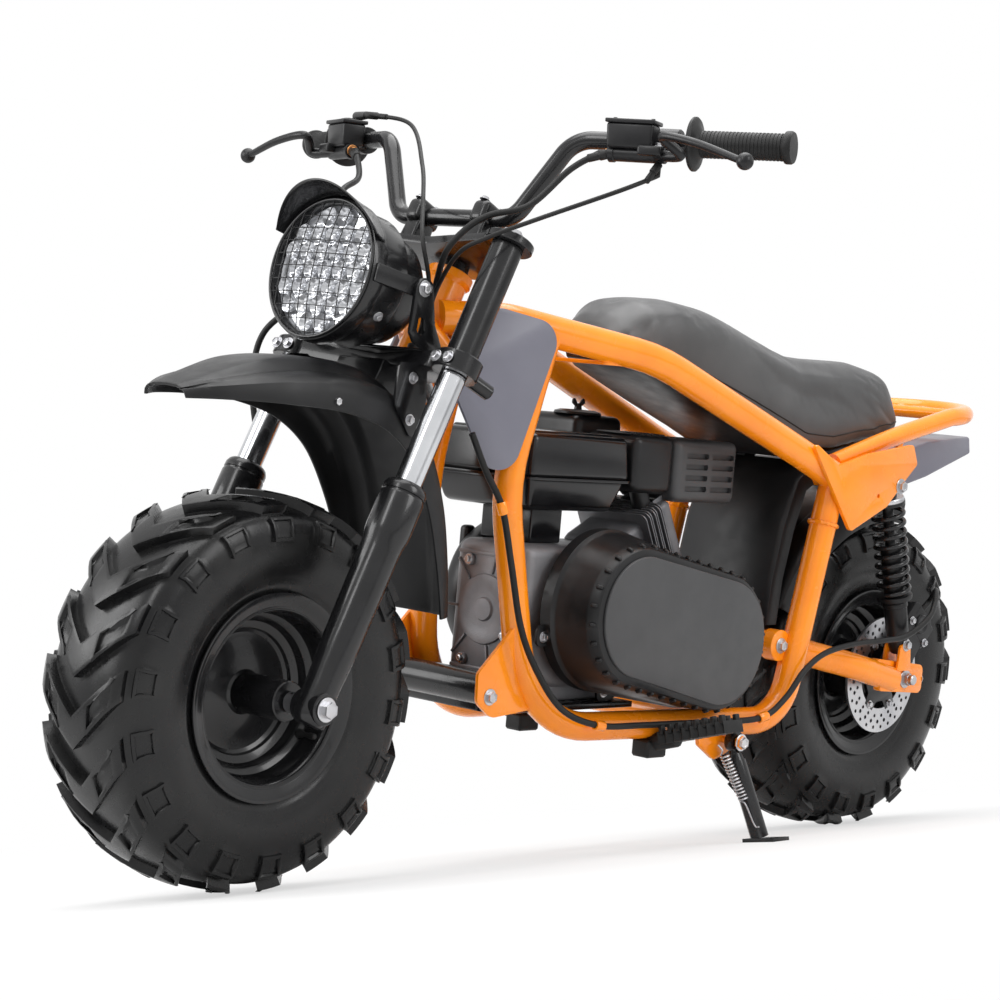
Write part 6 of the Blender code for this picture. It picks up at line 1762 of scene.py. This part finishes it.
@dataclass
class Fenders:
    """Front fender, tail wedge, inner fender and the number plates."""

    wall: float = 0.0035
    arch_r: float = 0.272

    FRONT = ((1.33, 0.59, 0.034, 0.012, 0.0), (1.29, 0.6, 0.062, 0.02, 0.004),
        (1.215, 0.614, 0.086, 0.034, 0.012), (1.125, 0.618, 0.095, 0.044, 0.014),
        (1.045, 0.6, 0.096, 0.048, 0.014), (0.985, 0.554, 0.093, 0.046, 0.01),
        (0.945, 0.48, 0.09, 0.04, 0.006), (0.925, 0.4, 0.086, 0.03, 0.003), (0.914, 0.332, 0.08, 0.02, 0.0))
    PLATE_CORNERS = ((0.872, 0.718, 0.012), (0.778, 0.702, 0.03), (0.835, 0.508, 0.03), (0.872, 0.52, 0.01),
        (0.935, 0.63, 0.012))

    def build(self) -> None:
        """Shapes and dresses them all."""
        self.front()
        self.tail()
        self.inner()
        for side, sign in SIDES:
            self.plate(side, sign)

    def front(self) -> None:
        """The moulded front fender: smooth along its length, creased across."""
        count = 56
        raw = np.array(self.FRONT)
        rows = []
        for k in range(count + 1):
            s = k * (len(raw) - 1) / count
            x, z, w, skirt, spine = self._smooth(raw, s)
            ahead = self._smooth(raw, min(s + 0.05, len(raw) - 1))
            behind = self._smooth(raw, max(s - 0.05, 0))
            along = Vector((ahead[0] - behind[0], 0, ahead[1] - behind[1])).normalized()
            inward = Vector((-along.z, 0, along.x))
            if inward.z > 0 and x > 1.0 or inward.x < 0 and x <= 1.0:
                inward = -inward
            half = [(w, skirt), (w - 0.0006, skirt * 0.8), (w - 0.0016, skirt * 0.52),
                (w - 0.004, skirt * 0.3), (w - 0.01, skirt * 0.16), (w * 0.8, skirt * 0.07),
                (w * 0.64, 0.0012), (w * 0.6, 0.0004), (w * 0.545, -spine * 0.35), (w * 0.47, -spine * 0.85),
                (w * 0.42, -spine), (w * 0.21, -spine - 0.0006), (0.0, -spine - 0.0008)]
            rows.append([tuple(Vector((x, y, z)) + inward * d) for y, d in whole(half)])
        shell = thicken(skin("front_fender_moulding", rows), self.wall, self._side(rows))
        soften(shell, 0.0009, 2, 40)
        dress(move(shell, Place.BIKE), PLASTIC, Body.STEERING, "front_fender", smooth=30)
        rows = [((x, s * (w + 0.0004), z), (0, s, 0), 0.0046) for x, z, w in ((1.15, 0.588, 0.0942),
            (1.03, 0.57, 0.095)) for _, s in SIDES]
        BOLTS.heads("fender_bolts", Place.BIKE, rows, Body.STEERING)

    @staticmethod
    def _smooth(raw: np.ndarray, s: float) -> list[float]:
        """Catmull-Rom value of every column at a parameter."""
        k = min(int(s), len(raw) - 2)
        t = s - k
        a, b, c, d = (raw[max(0, min(len(raw) - 1, k + i))] for i in (-1, 0, 1, 2))
        return [float(v) for v in between(a, b, c, d, t)]

    @staticmethod
    def _side(rows: Sequence[Sequence[Point]]) -> float:
        """Which side of a skin laid over these rows faces down, as the wall's offset."""
        middle = len(rows[0]) // 2
        k = len(rows) // 3
        a, b, c = Vector(rows[k][middle]), Vector(rows[k][middle + 1]), Vector(rows[k + 1][middle])
        return -1.0 if (b - a).cross(c - a).z > 0 else 1.0

    def tail(self) -> None:
        """The tail wedge with softened edges."""
        tail = soften(of_node("tail_fender", "tail_wedge"), 0.004, 3, 25)
        dress(tail, PLATE, Body.FRAME, "tail_fender")

    def inner(self) -> None:
        """The arched inner fender and its stay."""
        rows = []
        for k in range(33):
            a = radians(-8 + 76 * k / 32)
            c, s = sin(a), cos(a)
            half = [(0.088, 0.045), (0.0895, 0.026), (0.0895, 0.014), (0.087, 0.006), (0.08, 0.001),
                (0.07, 0.0), (0.045, -0.0006), (0.043, 0.001), (0.0, 0.001)]
            rows.append([(c * (self.arch_r - d), y, AXLE_Z + s * (self.arch_r - d)) for y, d in whole(half)])
        shell = thicken(skin("inner_fender_moulding", rows), 0.0028, self._side(rows))
        soften(shell, 0.0007, 2, 40)
        way = Vector((0.19, 0, 0.528 - AXLE_Z))
        reach = way.length - 0.013 - GAP
        stay = block("stay", (reach - self.arch_r + 0.002, 0.06, 0.006), ((reach + self.arch_r - 0.002) / 2,
            0, 0), 0.001)
        move(stay, shift((0, 0, AXLE_Z)) @ turned(-atan2(way.z, way.x), "Y"))
        rows = []
        for x, z, dx, dz in ((0.12, 0.548, 0.0, -0.03), (0.205, 0.547, -0.01, -0.03),
                (0.235, 0.525, -0.022, -0.018), (0.262, 0.455, -0.028, -0.006), (0.278, 0.38, -0.028, 0.0),
                (0.284, 0.315, -0.028, 0.0)):
            half = [(0.088, 1.0), (0.0888, 0.4), (0.088, 0.12), (0.08, 0.0), (0.0, -0.02)]
            rows.append([(x + dx * d, y, z + dz * d) for y, d in whole(half)])
        apron = thicken(skin("splash_apron", rows), 0.0025, self._side(rows))
        soften(apron, 0.0006, 2, 40)
        dress(move(join(shell, stay, apron), Place.BIKE), PLASTIC, Body.FRAME, "inner_fender")

    def plate(self, side: str, sign: int) -> None:
        """A blank number plate with a soft rim."""
        sheet = plate(f"blank_plate_{side}", [rounded(self.PLATE_CORNERS, 0.12)], 0.004, 0.0011, True)
        move(sheet, shift((0, sign * 0.1021, 0)))
        for vert in sheet.data.vertices:
            vert.co.y -= sign * 0.28 * (vert.co.x - 0.778)
        dress(move(sheet, Place.BIKE), PLATE, Body.FRAME, f"number_plate_{side}", smooth=30)


# Engine


@dataclass
class Engine:
    """Crankcase, finned cylinder, tank, air cleaner, muffler, starter and the plate below."""

    crank: Point = (0.64, 0.335)
    case_size: Point = (0.222, 0.13, 0.19)
    case_at: Point = (0.652, -0.001, 0.3245)
    fins: int = 7

    def build(self) -> None:
        """Shapes and dresses the engine."""
        self.block()
        self.tank()
        self.muffler()
        self.starter()
        self.floor()

    def block(self) -> None:
        """The cast crankcase, ribs, side flange, cylinder and head."""
        cx, cz = self.crank
        case = block("crankcase_and_cylinder", self.case_size, self.case_at, 0.016, 4)
        parts = [case, block("pad", (0.236, 0.12, 0.0251), (0.65, 0.0, 0.22945), 0.003)]
        flange = lathe("flange", ((0, 0.06), (0.088, 0.06), (0.09, 0.062), (0.09, 0.0665), (0.0885, 0.068),
            (0.074, 0.069), (0.066, 0.0735), (0.06, 0.076), (0.059, 0.0777), (0, 0.0777)), 72)
        move(flange, shift((cx, 0, cz)) @ turned(-pi / 2, "X"))
        parts.append(flange)
        rows = []
        for x, z in circle(0.0815, 8, (cx, cz), 0.5):
            parts.append(rod("boss", (x, 0.05, z), (x, 0.069, z), 0.0085, steps=24))
            rows.append(((x, 0.069, z), (0, 1, 0), 0.0048))
        cover = lathe("front_cover", ((0, 0), (0.044, 0), (0.046, 0.0015), (0.045, 0.003), (0.034, 0.0036),
            (0.03, 0.002), (0.016, 0.002), (0.014, 0.005), (0, 0.0054)), 60)
        move(cover, shift((0.763, -0.004, 0.33)) @ turned(pi / 2, "Y"))
        parts.append(cover)
        for i in range(7):
            a = radians(-60 + 50 * i)
            rib = block("rib", (0.004, 0.0036, 0.034), (0, 0, 0.064), 0.001, 2)
            parts.append(move(rib, shift((0.7638, -0.004, 0.33)) @ turned(a, "X")))
        for z in (0.252, 0.402):
            parts.append(block("rib", (0.004, 0.112, 0.005), (0.7638, -0.001, z), 0.0012, 2))
        for x in (0.556, 0.742):
            for y in (-0.045, 0.045):
                parts.append(block("foot", (0.03, 0.024, 0.018), (x, y, 0.228), 0.003))
                rows.append(((x + (0.012 if x > 0.6 else -0.012), y, 0.2372), (0, 0, 1), 0.0052))
        for y, z in ((0.036, 0.392), (-0.036, 0.392), (0.036, 0.3), (-0.036, 0.262)):
            parts.append(rod("stud", (0.755, y, z), (0.7675, y, z), 0.008, steps=20))
            rows.append(((0.7675, y, z), (1, 0, 0), 0.0046))
        local = self._cylinder()
        way = Vector((-cos(radians(28)), 0, sin(radians(28))))
        at = Vector((self.case_at[0] - self.case_size[0] / 2, -0.001, 0.392)) + way * 0.03
        place = shift(at) @ turned(radians(208), "Y")
        piece = join(*parts, move(local, place))
        dress(move(piece, Place.BIKE), ALLOY, Body.FRAME, "engine_block", smooth=30)
        BOLTS.heads("engine_bolts", Place.BIKE, rows, Body.FRAME)
        full = Place.BIKE @ place
        rows = [((0.073, y, z), (1, 0, 0), 0.0046) for y in (-0.04, 0.04) for z in (-0.036, 0.036)]
        BOLTS.heads("head_bolts", full, rows, Body.FRAME)
        plug = lathe("spark_plug_cap", ((0, 0), (0.0075, 0), (0.008, 0.004), (0.007, 0.012), (0.0085, 0.014),
            (0.0085, 0.024), (0.006, 0.027), (0, 0.027)), 24)
        move(plug, shift((0.0725, 0.004, -0.01)) @ turned(pi / 2, "Y"))
        dress(move(plug, full), RUBBER, Body.FRAME)
        cap = lathe("oil_filler_cap", ((0, 0), (0.012, 0), (0.0135, 0.0015), (0.0135, 0.008), (0.012, 0.0095),
            (0.006, 0.01), (0.005, 0.014), (0, 0.0145)), 30)
        move(cap, shift((0.7485, 0.048, 0.268)) @ turned(radians(62), "Z") @ turned(pi / 2, "Y"))
        dress(move(cap, Place.BIKE), CAP, Body.FRAME)

    def _cylinder(self) -> Object:
        """The barrel with thin fins and the head, along its own x axis."""
        parts = [block("barrel", (0.098, 0.098, 0.092), (0, 0, 0), 0.012, 3)]
        for i in range(self.fins):
            x = 0.0105 + i * 0.0056
            ends = 0.064 if i % 2 else 0.062
            fin = plate("fin", [oblong(0.059, ends, 0.01)], 0.0018, 0.0)
            parts.append(move(fin, shift((x, 0, 0)) @ turned(pi / 2, "Y")))
        parts.append(block("head", (0.024, 0.11, 0.104), (0.06, 0, 0), 0.008, 3))
        parts.append(block("rocker_cover", (0.006, 0.08, 0.07), (0.07, 0, 0.01), 0.0025, 2))
        for i in range(4):
            parts.append(block("head_fin", (0.02, 0.0022, 0.116), (0.06, -0.042 + 0.028 * i, 0), 0.0008, 2))
        return join(*parts)

    def tank(self) -> None:
        """Fuel tank with its seam flange and crown, and the air cleaner with a wing nut."""
        x, y = 0.6665, -0.034
        parts = [block("tank_pressing", (0.196, 0.186, 0.058), (x, y, 0.535), 0.0085, 4, 0.955),
            move(block("tank_lower", (0.19, 0.18, 0.044), (0, 0, 0), 0.0085, 4, 0.86),
            shift((x, y, 0.486)) @ turned(pi, "X")), plate("seam", [oblong(0.102, 0.097, 0.016)], 0.0032,
            0.0009)]
        move(parts[-1], shift((x, y, 0.506)))
        parts.append(block("stay", (0.06, 0.09, 0.046), (0.69, -0.02, 0.443), 0.003))
        parts.append(block("crown", (0.16, 0.15, 0.006), (x, y, 0.564), 0.002, 3, 0.96))
        dress(move(join(*parts), Place.BIKE), TANK, Body.FRAME, "fuel_tank")
        box = [block("air_cleaner", (0.096, 0.1, 0.106), (0.525, -0.088, 0.5365), 0.012, 4),
            block("link", (0.034, 0.06, 0.05), (0.57, -0.09, 0.53), 0.004),
            lathe("lid", ((0, 0.0), (0.032, 0.0), (0.033, 0.001), (0.032, 0.004), (0.024, 0.0065),
            (0, 0.007)), 40)]
        move(box[-1], shift((0.54, -0.07, 0.589)))
        dress(move(join(*box), Place.BIKE), SATIN, Body.FRAME)
        nut = [rod("wing_nut", (0.54, -0.07, 0.5955), (0.54, -0.07, 0.6045), 0.0055, 0.0042)]
        for s in (1, -1):
            wing = plate("wing",
                [rounded(((0.003, 0.0, 0.001), (0.0125, 0.006, 0.002), (0.0125, 0.0125, 0.004),
                (0.008, 0.0125, 0.003), (0.003, 0.006, 0.002)))], 0.0022, 0.0005, True)
            if s < 0:
                move(wing, Matrix.Scale(-1, 4, (1, 0, 0)))
            nut.append(move(wing, shift((0.54, -0.07, 0.5985))))
        dress(move(join(*nut), Place.BIKE), SATIN, Body.FRAME)

    def muffler(self) -> None:
        """The muffler box, its pipe and the slotted guard."""
        box = block("muffler_box", (0.082, 0.096, 0.078), (0.5215, 0.0125, 0.531), 0.012, 4)
        pipe = tube("pipe", smooth_route(((0.52, 0.03, 0.505), (0.512, 0.032, 0.48), (0.5, 0.03, 0.455)), 12),
            0.013, 24)
        collar = block("collar", (0.04, 0.046, 0.007), (0.503, 0.031, 0.46), 0.0025)
        louvres = [block("louvre", (0.0052, 0.06, 0.003), (0.487 + 0.0115 * i, 0.0125, 0.5705), 0.0012, 2)
            for i in range(7)]
        dress(move(join(box, pipe, collar, *louvres), Place.BIKE), SATIN, Body.FRAME, "muffler")
        guard = block("guard_pressing", (0.1345, 0.104, 0.086), (0.41295, 0.012, 0.525), 0.011, 4)
        tools = []
        for r in range(4):
            for c in range(2):
                slot = plate("slot", [oblong(0.024, 0.0038, 0.003)], 0.012, 0.0, True, 0.064)
                tools.append(move(slot, shift((0.38 + 0.0555 * c, 0, 0.501 + 0.015 * r))))
        for c in range(9):
            slot = block("top_slot", (0.0052, 0.052, 0.012), (0.362 + 0.0122 * c, 0.012, 0.568), 0.0015, 2)
            tools.append(slot)
        cut(guard, join(*tools))
        dress(move(guard, Place.BIKE), COVER, Body.FRAME, "muffler_guard", smooth=30)
        rows = [((x, 0.0335, 0.4642), (0, 0, 1), 0.0044) for x in (0.489, 0.517)]
        BOLTS.heads("muffler_bolts", Place.BIKE, rows, Body.FRAME)

    def starter(self) -> None:
        """The recoil starter's housing with a ring of vents and its handle."""
        place = (Place.BIKE @ shift((0.65, self.case_at[1] - self.case_size[1] / 2 - GAP, 0.345))
            @ turned(pi / 2, "X"))
        dome = lathe("starter_housing", ((0, 0), (0.097, 0), (0.099, 0.0015), (0.1, 0.006), (0.0985, 0.024),
            (0.095, 0.03), (0.086, 0.037), (0.072, 0.045), (0.069, 0.0455), (0.05, 0.044), (0.046, 0.0445),
            (0.03, 0.0475), (0, 0.048)), 80)
        tools = []
        for i in range(16):
            hole = block("vent", (0.006, 0.013, 0.03), (0.06, 0, 0.045), 0.002, 2)
            tools.append(move(hole, turned(TURN * i / 16, "Z")))
        cut(dome, join(*tools))
        handle = block("pull_handle", (0.02, 0.052, 0.015), (0.055, 0.06, 0.035), 0.006, 4)
        dress(move(join(dome, handle), place), SATIN, Body.FRAME, "recoil_starter")
        rows = [((*at, 0.0325), (0, 0, 1), 0.0048) for at in circle(0.092, 3)]
        BOLTS.heads("starter_bolts", place, rows, Body.FRAME)

    def floor(self) -> None:
        """Plate under the engine and the black cross tube in front."""
        base = of_node("engine_plate", "engine_floor")
        soften(base, 0.001, 2, 30)
        pipe = rod("front_cross", (0.838, -0.0889, 0.24), (0.838, 0.0889, 0.24), 0.0212, steps=48)
        piece = join(base, move(pipe, Place.BIKE))
        dress(piece, GLOSS, Body.FRAME, "engine_plate")


@dataclass
class BeltCover:
    """The drive cover: a stepped black shell with louvres round a dark-grey face."""

    crank: Point = (0.64, 0.339)
    jackshaft: Point = (0.468, 0.303)
    louvres: int = 38
    louvre_r: Point = (0.0912, 0.0925)
    louvre_y: float = 0.1545

    def outline(self, front_r: float, rear_r: float, y: float = 0.0) -> list[Point]:
        """The cover's outline at a depth."""
        return [(p.x, y, p.z) for p in belt_line(self.crank, self.jackshaft, front_r, rear_r)]

    def build(self) -> None:
        """Shapes and dresses the cover."""
        rows = ((0.078, 0.1055, 0.0965), (0.0785, 0.107, 0.098), (0.0955, 0.107, 0.098),
            (0.0985, 0.1035, 0.0968), (0.101, 0.102, 0.0958), (0.144, 0.0945, 0.0942),
            (0.148, 0.0935, 0.0938), (0.1515, 0.0918, 0.093), (0.1575, 0.09, 0.0918), (0.1605, 0.0875, 0.09),
            (0.1618, 0.083, 0.0865), (0.162, 0.079, 0.084))
        outlines = [self.outline(fr, rr, y) for y, fr, rr in rows]
        shell = skin("belt_cover_shell", outlines, wrap=True)
        dress(move(shell, Place.BIKE), SATIN, Body.FRAME, "belt_cover", smooth=24)
        rows = ((0.1623, 0.079, 0.084), (0.1645, 0.0788, 0.0838), (0.1655, 0.078, 0.083),
            (0.166, 0.0765, 0.0815))
        outlines = [self.outline(fr, rr, y) for y, fr, rr in rows]
        face = skin("belt_cover_panel", outlines, wrap=True)
        dress(move(face, Place.BIKE), COVER, Body.FRAME, "belt_cover_face", smooth=24)
        self.ring()
        self.brackets()

    def ring(self) -> None:
        """Pressed louvres round the shoulder, one modelled and copied along the outline."""
        hood = block("hood", (0.0058, 0.0105, 0.0058), (0, 0, 0), 0.0016, 3, 0.8)
        line = belt_line(self.crank, self.jackshaft, *self.louvre_r, 60)
        middle = Vector((self.crank[0] + self.jackshaft[0], 0, self.crank[1] + self.jackshaft[1])) / 2
        made = []
        for at, along in spaced(line, self.louvres):
            out = along.cross(Vector((0, 1, 0)))
            if out.dot(at - middle) < 0:
                out = -out
            normal = (out * 0.9 + Vector((0, 0.44, 0))).normalized()
            depth = normal.cross(along).normalized()
            basis = Matrix((along, depth, along.cross(depth))).transposed().to_4x4()
            made.append(copy(hood, shift(at + Vector((0, self.louvre_y, 0)) + out * 0.0008) @ basis))
        drop(hood)
        ring = join(*made)
        ring.name = "cover_louvres"
        dress(move(ring, Place.BIKE), SATIN, Body.FRAME, smooth=35)

    def brackets(self) -> None:
        """Two black lugs that carry the cover, with their bolts."""
        parts, rows = [], []
        for x, z in ((0.743, 0.305), (0.615, 0.23)):
            tab = plate("cover_lugs",
                [rounded(((-0.02, -0.01, 0.004), (0.014, -0.014, 0.009), (0.014, 0.014, 0.009),
                (-0.02, 0.018, 0.004)))], 0.004, 0.0008, True)
            parts.append(move(tab, shift((x, 0.0835, z))))
            rows.append(((x + 0.002, 0.0857, z), (0, 1, 0), 0.005))
        dress(move(join(*parts), Place.BIKE), SATIN, Body.FRAME)
        BOLTS.heads("cover_bolts", Place.BIKE, rows, Body.FRAME)


@dataclass
class Controls:
    """Foot pegs, side stand with its bracket and spring, and the rear caliper."""

    pivot: Point = (0.413, 0.152, 0.166)

    def build(self) -> None:
        """Shapes and dresses them."""
        for side, sign in SIDES:
            peg = soften(of_node(f"foot_peg_{side}", f"toothed_peg_{side}"), 0.001, 2, 30)
            place = (Place.BIKE @ shift((0.548, 0, 0.187)) @ turned(sign * 0.29,
                "X") @ shift((0, -sign * 0.01, -0.052)))
            teeth = [block("tooth", (0.0085, 0.006, 0.012), (x, sign * (0.15 + 0.0146 * i), 0.01), 0.0012, 2)
                for i in range(8) for x in (-0.0145, 0.0145)]
            peg = join(peg, move(join(*teeth), place))
            dress(peg, RUBBER, Body.FRAME, f"foot_peg_{side}")
        bracket = soften(of_node("stand_bracket", "stand_bracket_plate"), 0.0007, 2, 30)
        dress(bracket, ORANGE, Body.FRAME, "stand_bracket")
        leg = soften(of_node("side_stand_leg", "stand_leg"), 0.001, 3, 30)
        dress(leg, GLOSS, Body.STAND, "side_stand_leg")
        rows = [((self.pivot[0], 0.164, self.pivot[2]), (0, 1, 0), 0.008)]
        BOLTS.heads("stand_bolt", Place.BIKE, rows, Body.FRAME)
        self.spring()
        self.caliper()

    def spring(self) -> None:
        """The stand's return spring and its hooked rod, riding on the stand."""
        top, low = Vector((0.442, 0.16, 0.15)), Vector((0.416, 0.18, 0.09))
        way = low - top
        side = way.cross(Vector((1, 0, 0))).normalized()
        other = side.cross(way.normalized())
        line = []
        turns, steps = 14, 20
        for i in range(turns * steps + 1):
            a = TURN * i / steps
            line.append(top + way * (i / (turns * steps)) + (side * cos(a) + other * sin(a)) * 0.0058)
        coil = tube("stand_spring", line, 0.0012, 10)
        hook = tube("hook", smooth_route((line[0], top - way * 0.1, top - way * 0.22 + side * 0.003), 8),
            0.0012, 8)
        shaft = tube("rod",
            smooth_route((line[-1], low + way * 0.1, low + way * 0.55, low + way * 0.6 - side * 0.006), 12),
            0.0012, 8)
        dress(move(join(coil, hook, shaft), Place.BIKE), STEEL, Body.STAND, smooth=60)

    def caliper(self) -> None:
        """The rear caliper in halves with its carrier and bolts."""
        base = soften(of_node("rear_caliper", "rear_caliper_body"), 0.0012, 3, 30)
        turn = Place.BIKE @ shift((-0.07, 0.1, AXLE_Z + 0.074)) @ turned(radians(-43), "Y")
        piston = lathe("piston", ((0, 0.0155), (0.015, 0.0155), (0.015, 0.0175), (0.0135, 0.0195),
            (0.01, 0.02), (0.009, 0.019), (0, 0.019)), 36)
        move(piston, turn @ shift((0.004, 0, 0)) @ turned(-pi / 2, "X"))
        dress(join(base, piston), SATIN, Body.FRAME, "rear_caliper")
        rows = [((x, 0.0164, -0.012), (0, 1, 0), 0.0044) for x in (-0.024, 0.026)]
        BOLTS.heads("rear_caliper_bolts", turn, rows, Body.FRAME)


# Studio


@dataclass
class Studio:
    """Pale floor, soft lamps, white surroundings and the camera."""

    eye: Point = (2.65525, 2.21194, 0.17273)
    forward: Point = (-0.7326, -0.67509, 0.08693)
    right: Point = (-0.68029, 0.73044, -0.06062)
    up: Point = (0.02257, 0.10355, 0.99436)
    lens: float = 94.54
    shadow_near: float = 0.7
    shadow_far: float = 1.9
    floor_r: float = 14.0
    sensor: float = 36.0
    ambient: float = 0.45

    def build(self) -> None:
        """Sets up the whole studio."""
        self.camera()
        self.floor()
        self.world()
        self.lamp("top_box", (0.0, 0.2, 3.0), (0, 0, 0.3), 3.2, 2.2, 84)
        self.lamp("left_box", (2.6, -1.6, 1.7), (0, 0, 0.35), 1.6, 1.8, 50)
        self.lamp("right_box", (-0.6, 3.2, 1.9), (0, 0, 0.35), 1.4, 1.8, 44)
        self.lamp("front_box", (2.4, 0.5, 2.3), (0.45, 0, 0.3), 0.5, 1.5, 20)
        bpy.context.scene.view_settings.view_transform = "Standard"

    def camera(self) -> None:
        """Places the camera at the photograph's angle."""
        data = bpy.data.cameras.new("camera")
        data.lens, data.sensor_width = self.lens, self.sensor
        obj = linked("camera", data)
        r, u, f = Vector(self.right), Vector(self.up), Vector(self.forward)
        basis = Matrix((r, u, -f)).transposed().to_4x4()
        obj.matrix_world = shift(self.eye) @ basis
        bpy.context.scene.camera = obj

    def lamp(self, name: str, at: Point, to: Point, wide: float, tall: float, power: float) -> None:
        """Hangs one soft box that points at a spot."""
        data = bpy.data.lights.new(name, "AREA")
        data.shape, data.size, data.size_y, data.energy = "RECTANGLE", wide, tall, power
        obj = linked(name, data)
        obj.location = at
        obj.rotation_euler = (Vector(to) - Vector(at)).to_track_quat("-Z", "Y").to_euler()

    def floor(self) -> None:
        """Lays the pale floor, which keeps the shadow."""
        pick()
        bpy.ops.mesh.primitive_circle_add(vertices=96, radius=self.floor_r, fill_type="NGON")
        floor = bpy.context.object
        floor.name = "floor"
        mat = bpy.data.materials.new("pale_floor")
        mat.use_nodes = True
        tree = mat.node_tree
        shader = tree.nodes["Principled BSDF"]
        glow, path = add(tree, "ShaderNodeEmission"), add(tree, "ShaderNodeLightPath")
        coords, far = add(tree, "ShaderNodeTexCoord"), add(tree, "ShaderNodeVectorMath", operation="LENGTH")
        near = add(tree, "ShaderNodeMapRange", interpolation_type="SMOOTHSTEP")
        share, mix = add(tree, "ShaderNodeMath", operation="MULTIPLY"), add(tree, "ShaderNodeMixShader")
        preset(shader, {"Base Color": (0.86, 0.86, 0.86, 1), "Roughness": 0.7, "Specular IOR Level": 0.1})
        preset(near, {"From Min": self.shadow_near, "From Max": self.shadow_far, "To Min": 0.6,
            "To Max": 1.0})
        wire(tree, (coords, "Object", far, 0), (far, "Value", near, "Value"), (near, "Result", share, 1),
            (path, "Is Camera Ray", share, 0), (share, 0, mix, "Fac"), (shader, 0, mix, 1), (glow, 0, mix, 2),
            (mix, 0, tree.nodes["Material Output"], "Surface"))
        floor.data.materials.append(mat)

    def world(self) -> None:
        """Even light from all round; white where the camera, metal or glass sees it."""
        world = bpy.data.worlds.new("surroundings")
        bpy.context.scene.world = world
        world.use_nodes = True
        tree = world.node_tree
        ambient, white = tree.nodes["Background"], add(tree, "ShaderNodeBackground")
        path, mix = add(tree, "ShaderNodeLightPath"), add(tree, "ShaderNodeMixShader")
        either, any_of = (add(tree, "ShaderNodeMath", operation="MAXIMUM") for _ in range(2))
        preset(ambient, {"Color": (1, 1, 1, 1), "Strength": self.ambient})
        preset(white, {"Color": (1, 1, 1, 1), "Strength": 1.0})
        wire(tree, (path, "Is Camera Ray", either, 0), (path, "Is Glossy Ray", either, 1),
            (either, 0, any_of, 0), (path, "Is Transmission Ray", any_of, 1), (any_of, 0, mix, "Fac"),
            (ambient, 0, mix, 1), (white, 0, mix, 2), (mix, 0, tree.nodes["World Output"], "Surface"))


# Hand-over


def dress_solids() -> None:
    """Gives every solid its own finish, for those that still show."""
    by_slot = {f.slot.value: f for f in (ORANGE, GLOSS, SATIN, PLASTIC, PLATE, COVER, RUBBER, TYRE, CHROME,
        STEEL, ALLOY, VINYL, LENS)}
    for obj in FRAME["nodes"].values():
        for held in obj.material_slots:
            label = (held.material.name if held.material else "").split(".")[0]
            held.material = by_slot.get(label, SATIN).material()


def main() -> None:
    """Builds the sub-assemblies in order."""
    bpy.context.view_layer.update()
    Studio().build()
    dress_solids()
    tyre = Tyre().shape()
    Wheel("front", Body.FRONT_WHEEL, Place.FRONT, -1, hub=0.024, hub_left=0.098, hub_right=0.0957).build(tyre)
    Wheel("rear", Body.REAR_WHEEL, Place.REAR, 1).build(tyre)
    drop(tyre)
    RearDrive().build()
    Frame().build()
    Shocks().build()
    Fork().build()
    Bars().build()
    Headlamp().build()
    Seat().build()
    Fenders().build()
    Engine().build()
    BeltCover().build()
    Controls().build()
    drop(BOLTS.master())


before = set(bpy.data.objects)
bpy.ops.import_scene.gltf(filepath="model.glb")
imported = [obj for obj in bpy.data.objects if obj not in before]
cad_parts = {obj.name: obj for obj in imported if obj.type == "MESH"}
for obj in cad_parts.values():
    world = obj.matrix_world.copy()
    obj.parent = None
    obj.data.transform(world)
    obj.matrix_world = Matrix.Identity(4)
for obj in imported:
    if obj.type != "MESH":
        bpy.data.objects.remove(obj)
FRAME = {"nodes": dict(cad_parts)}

if __name__ == "__main__":
    main()
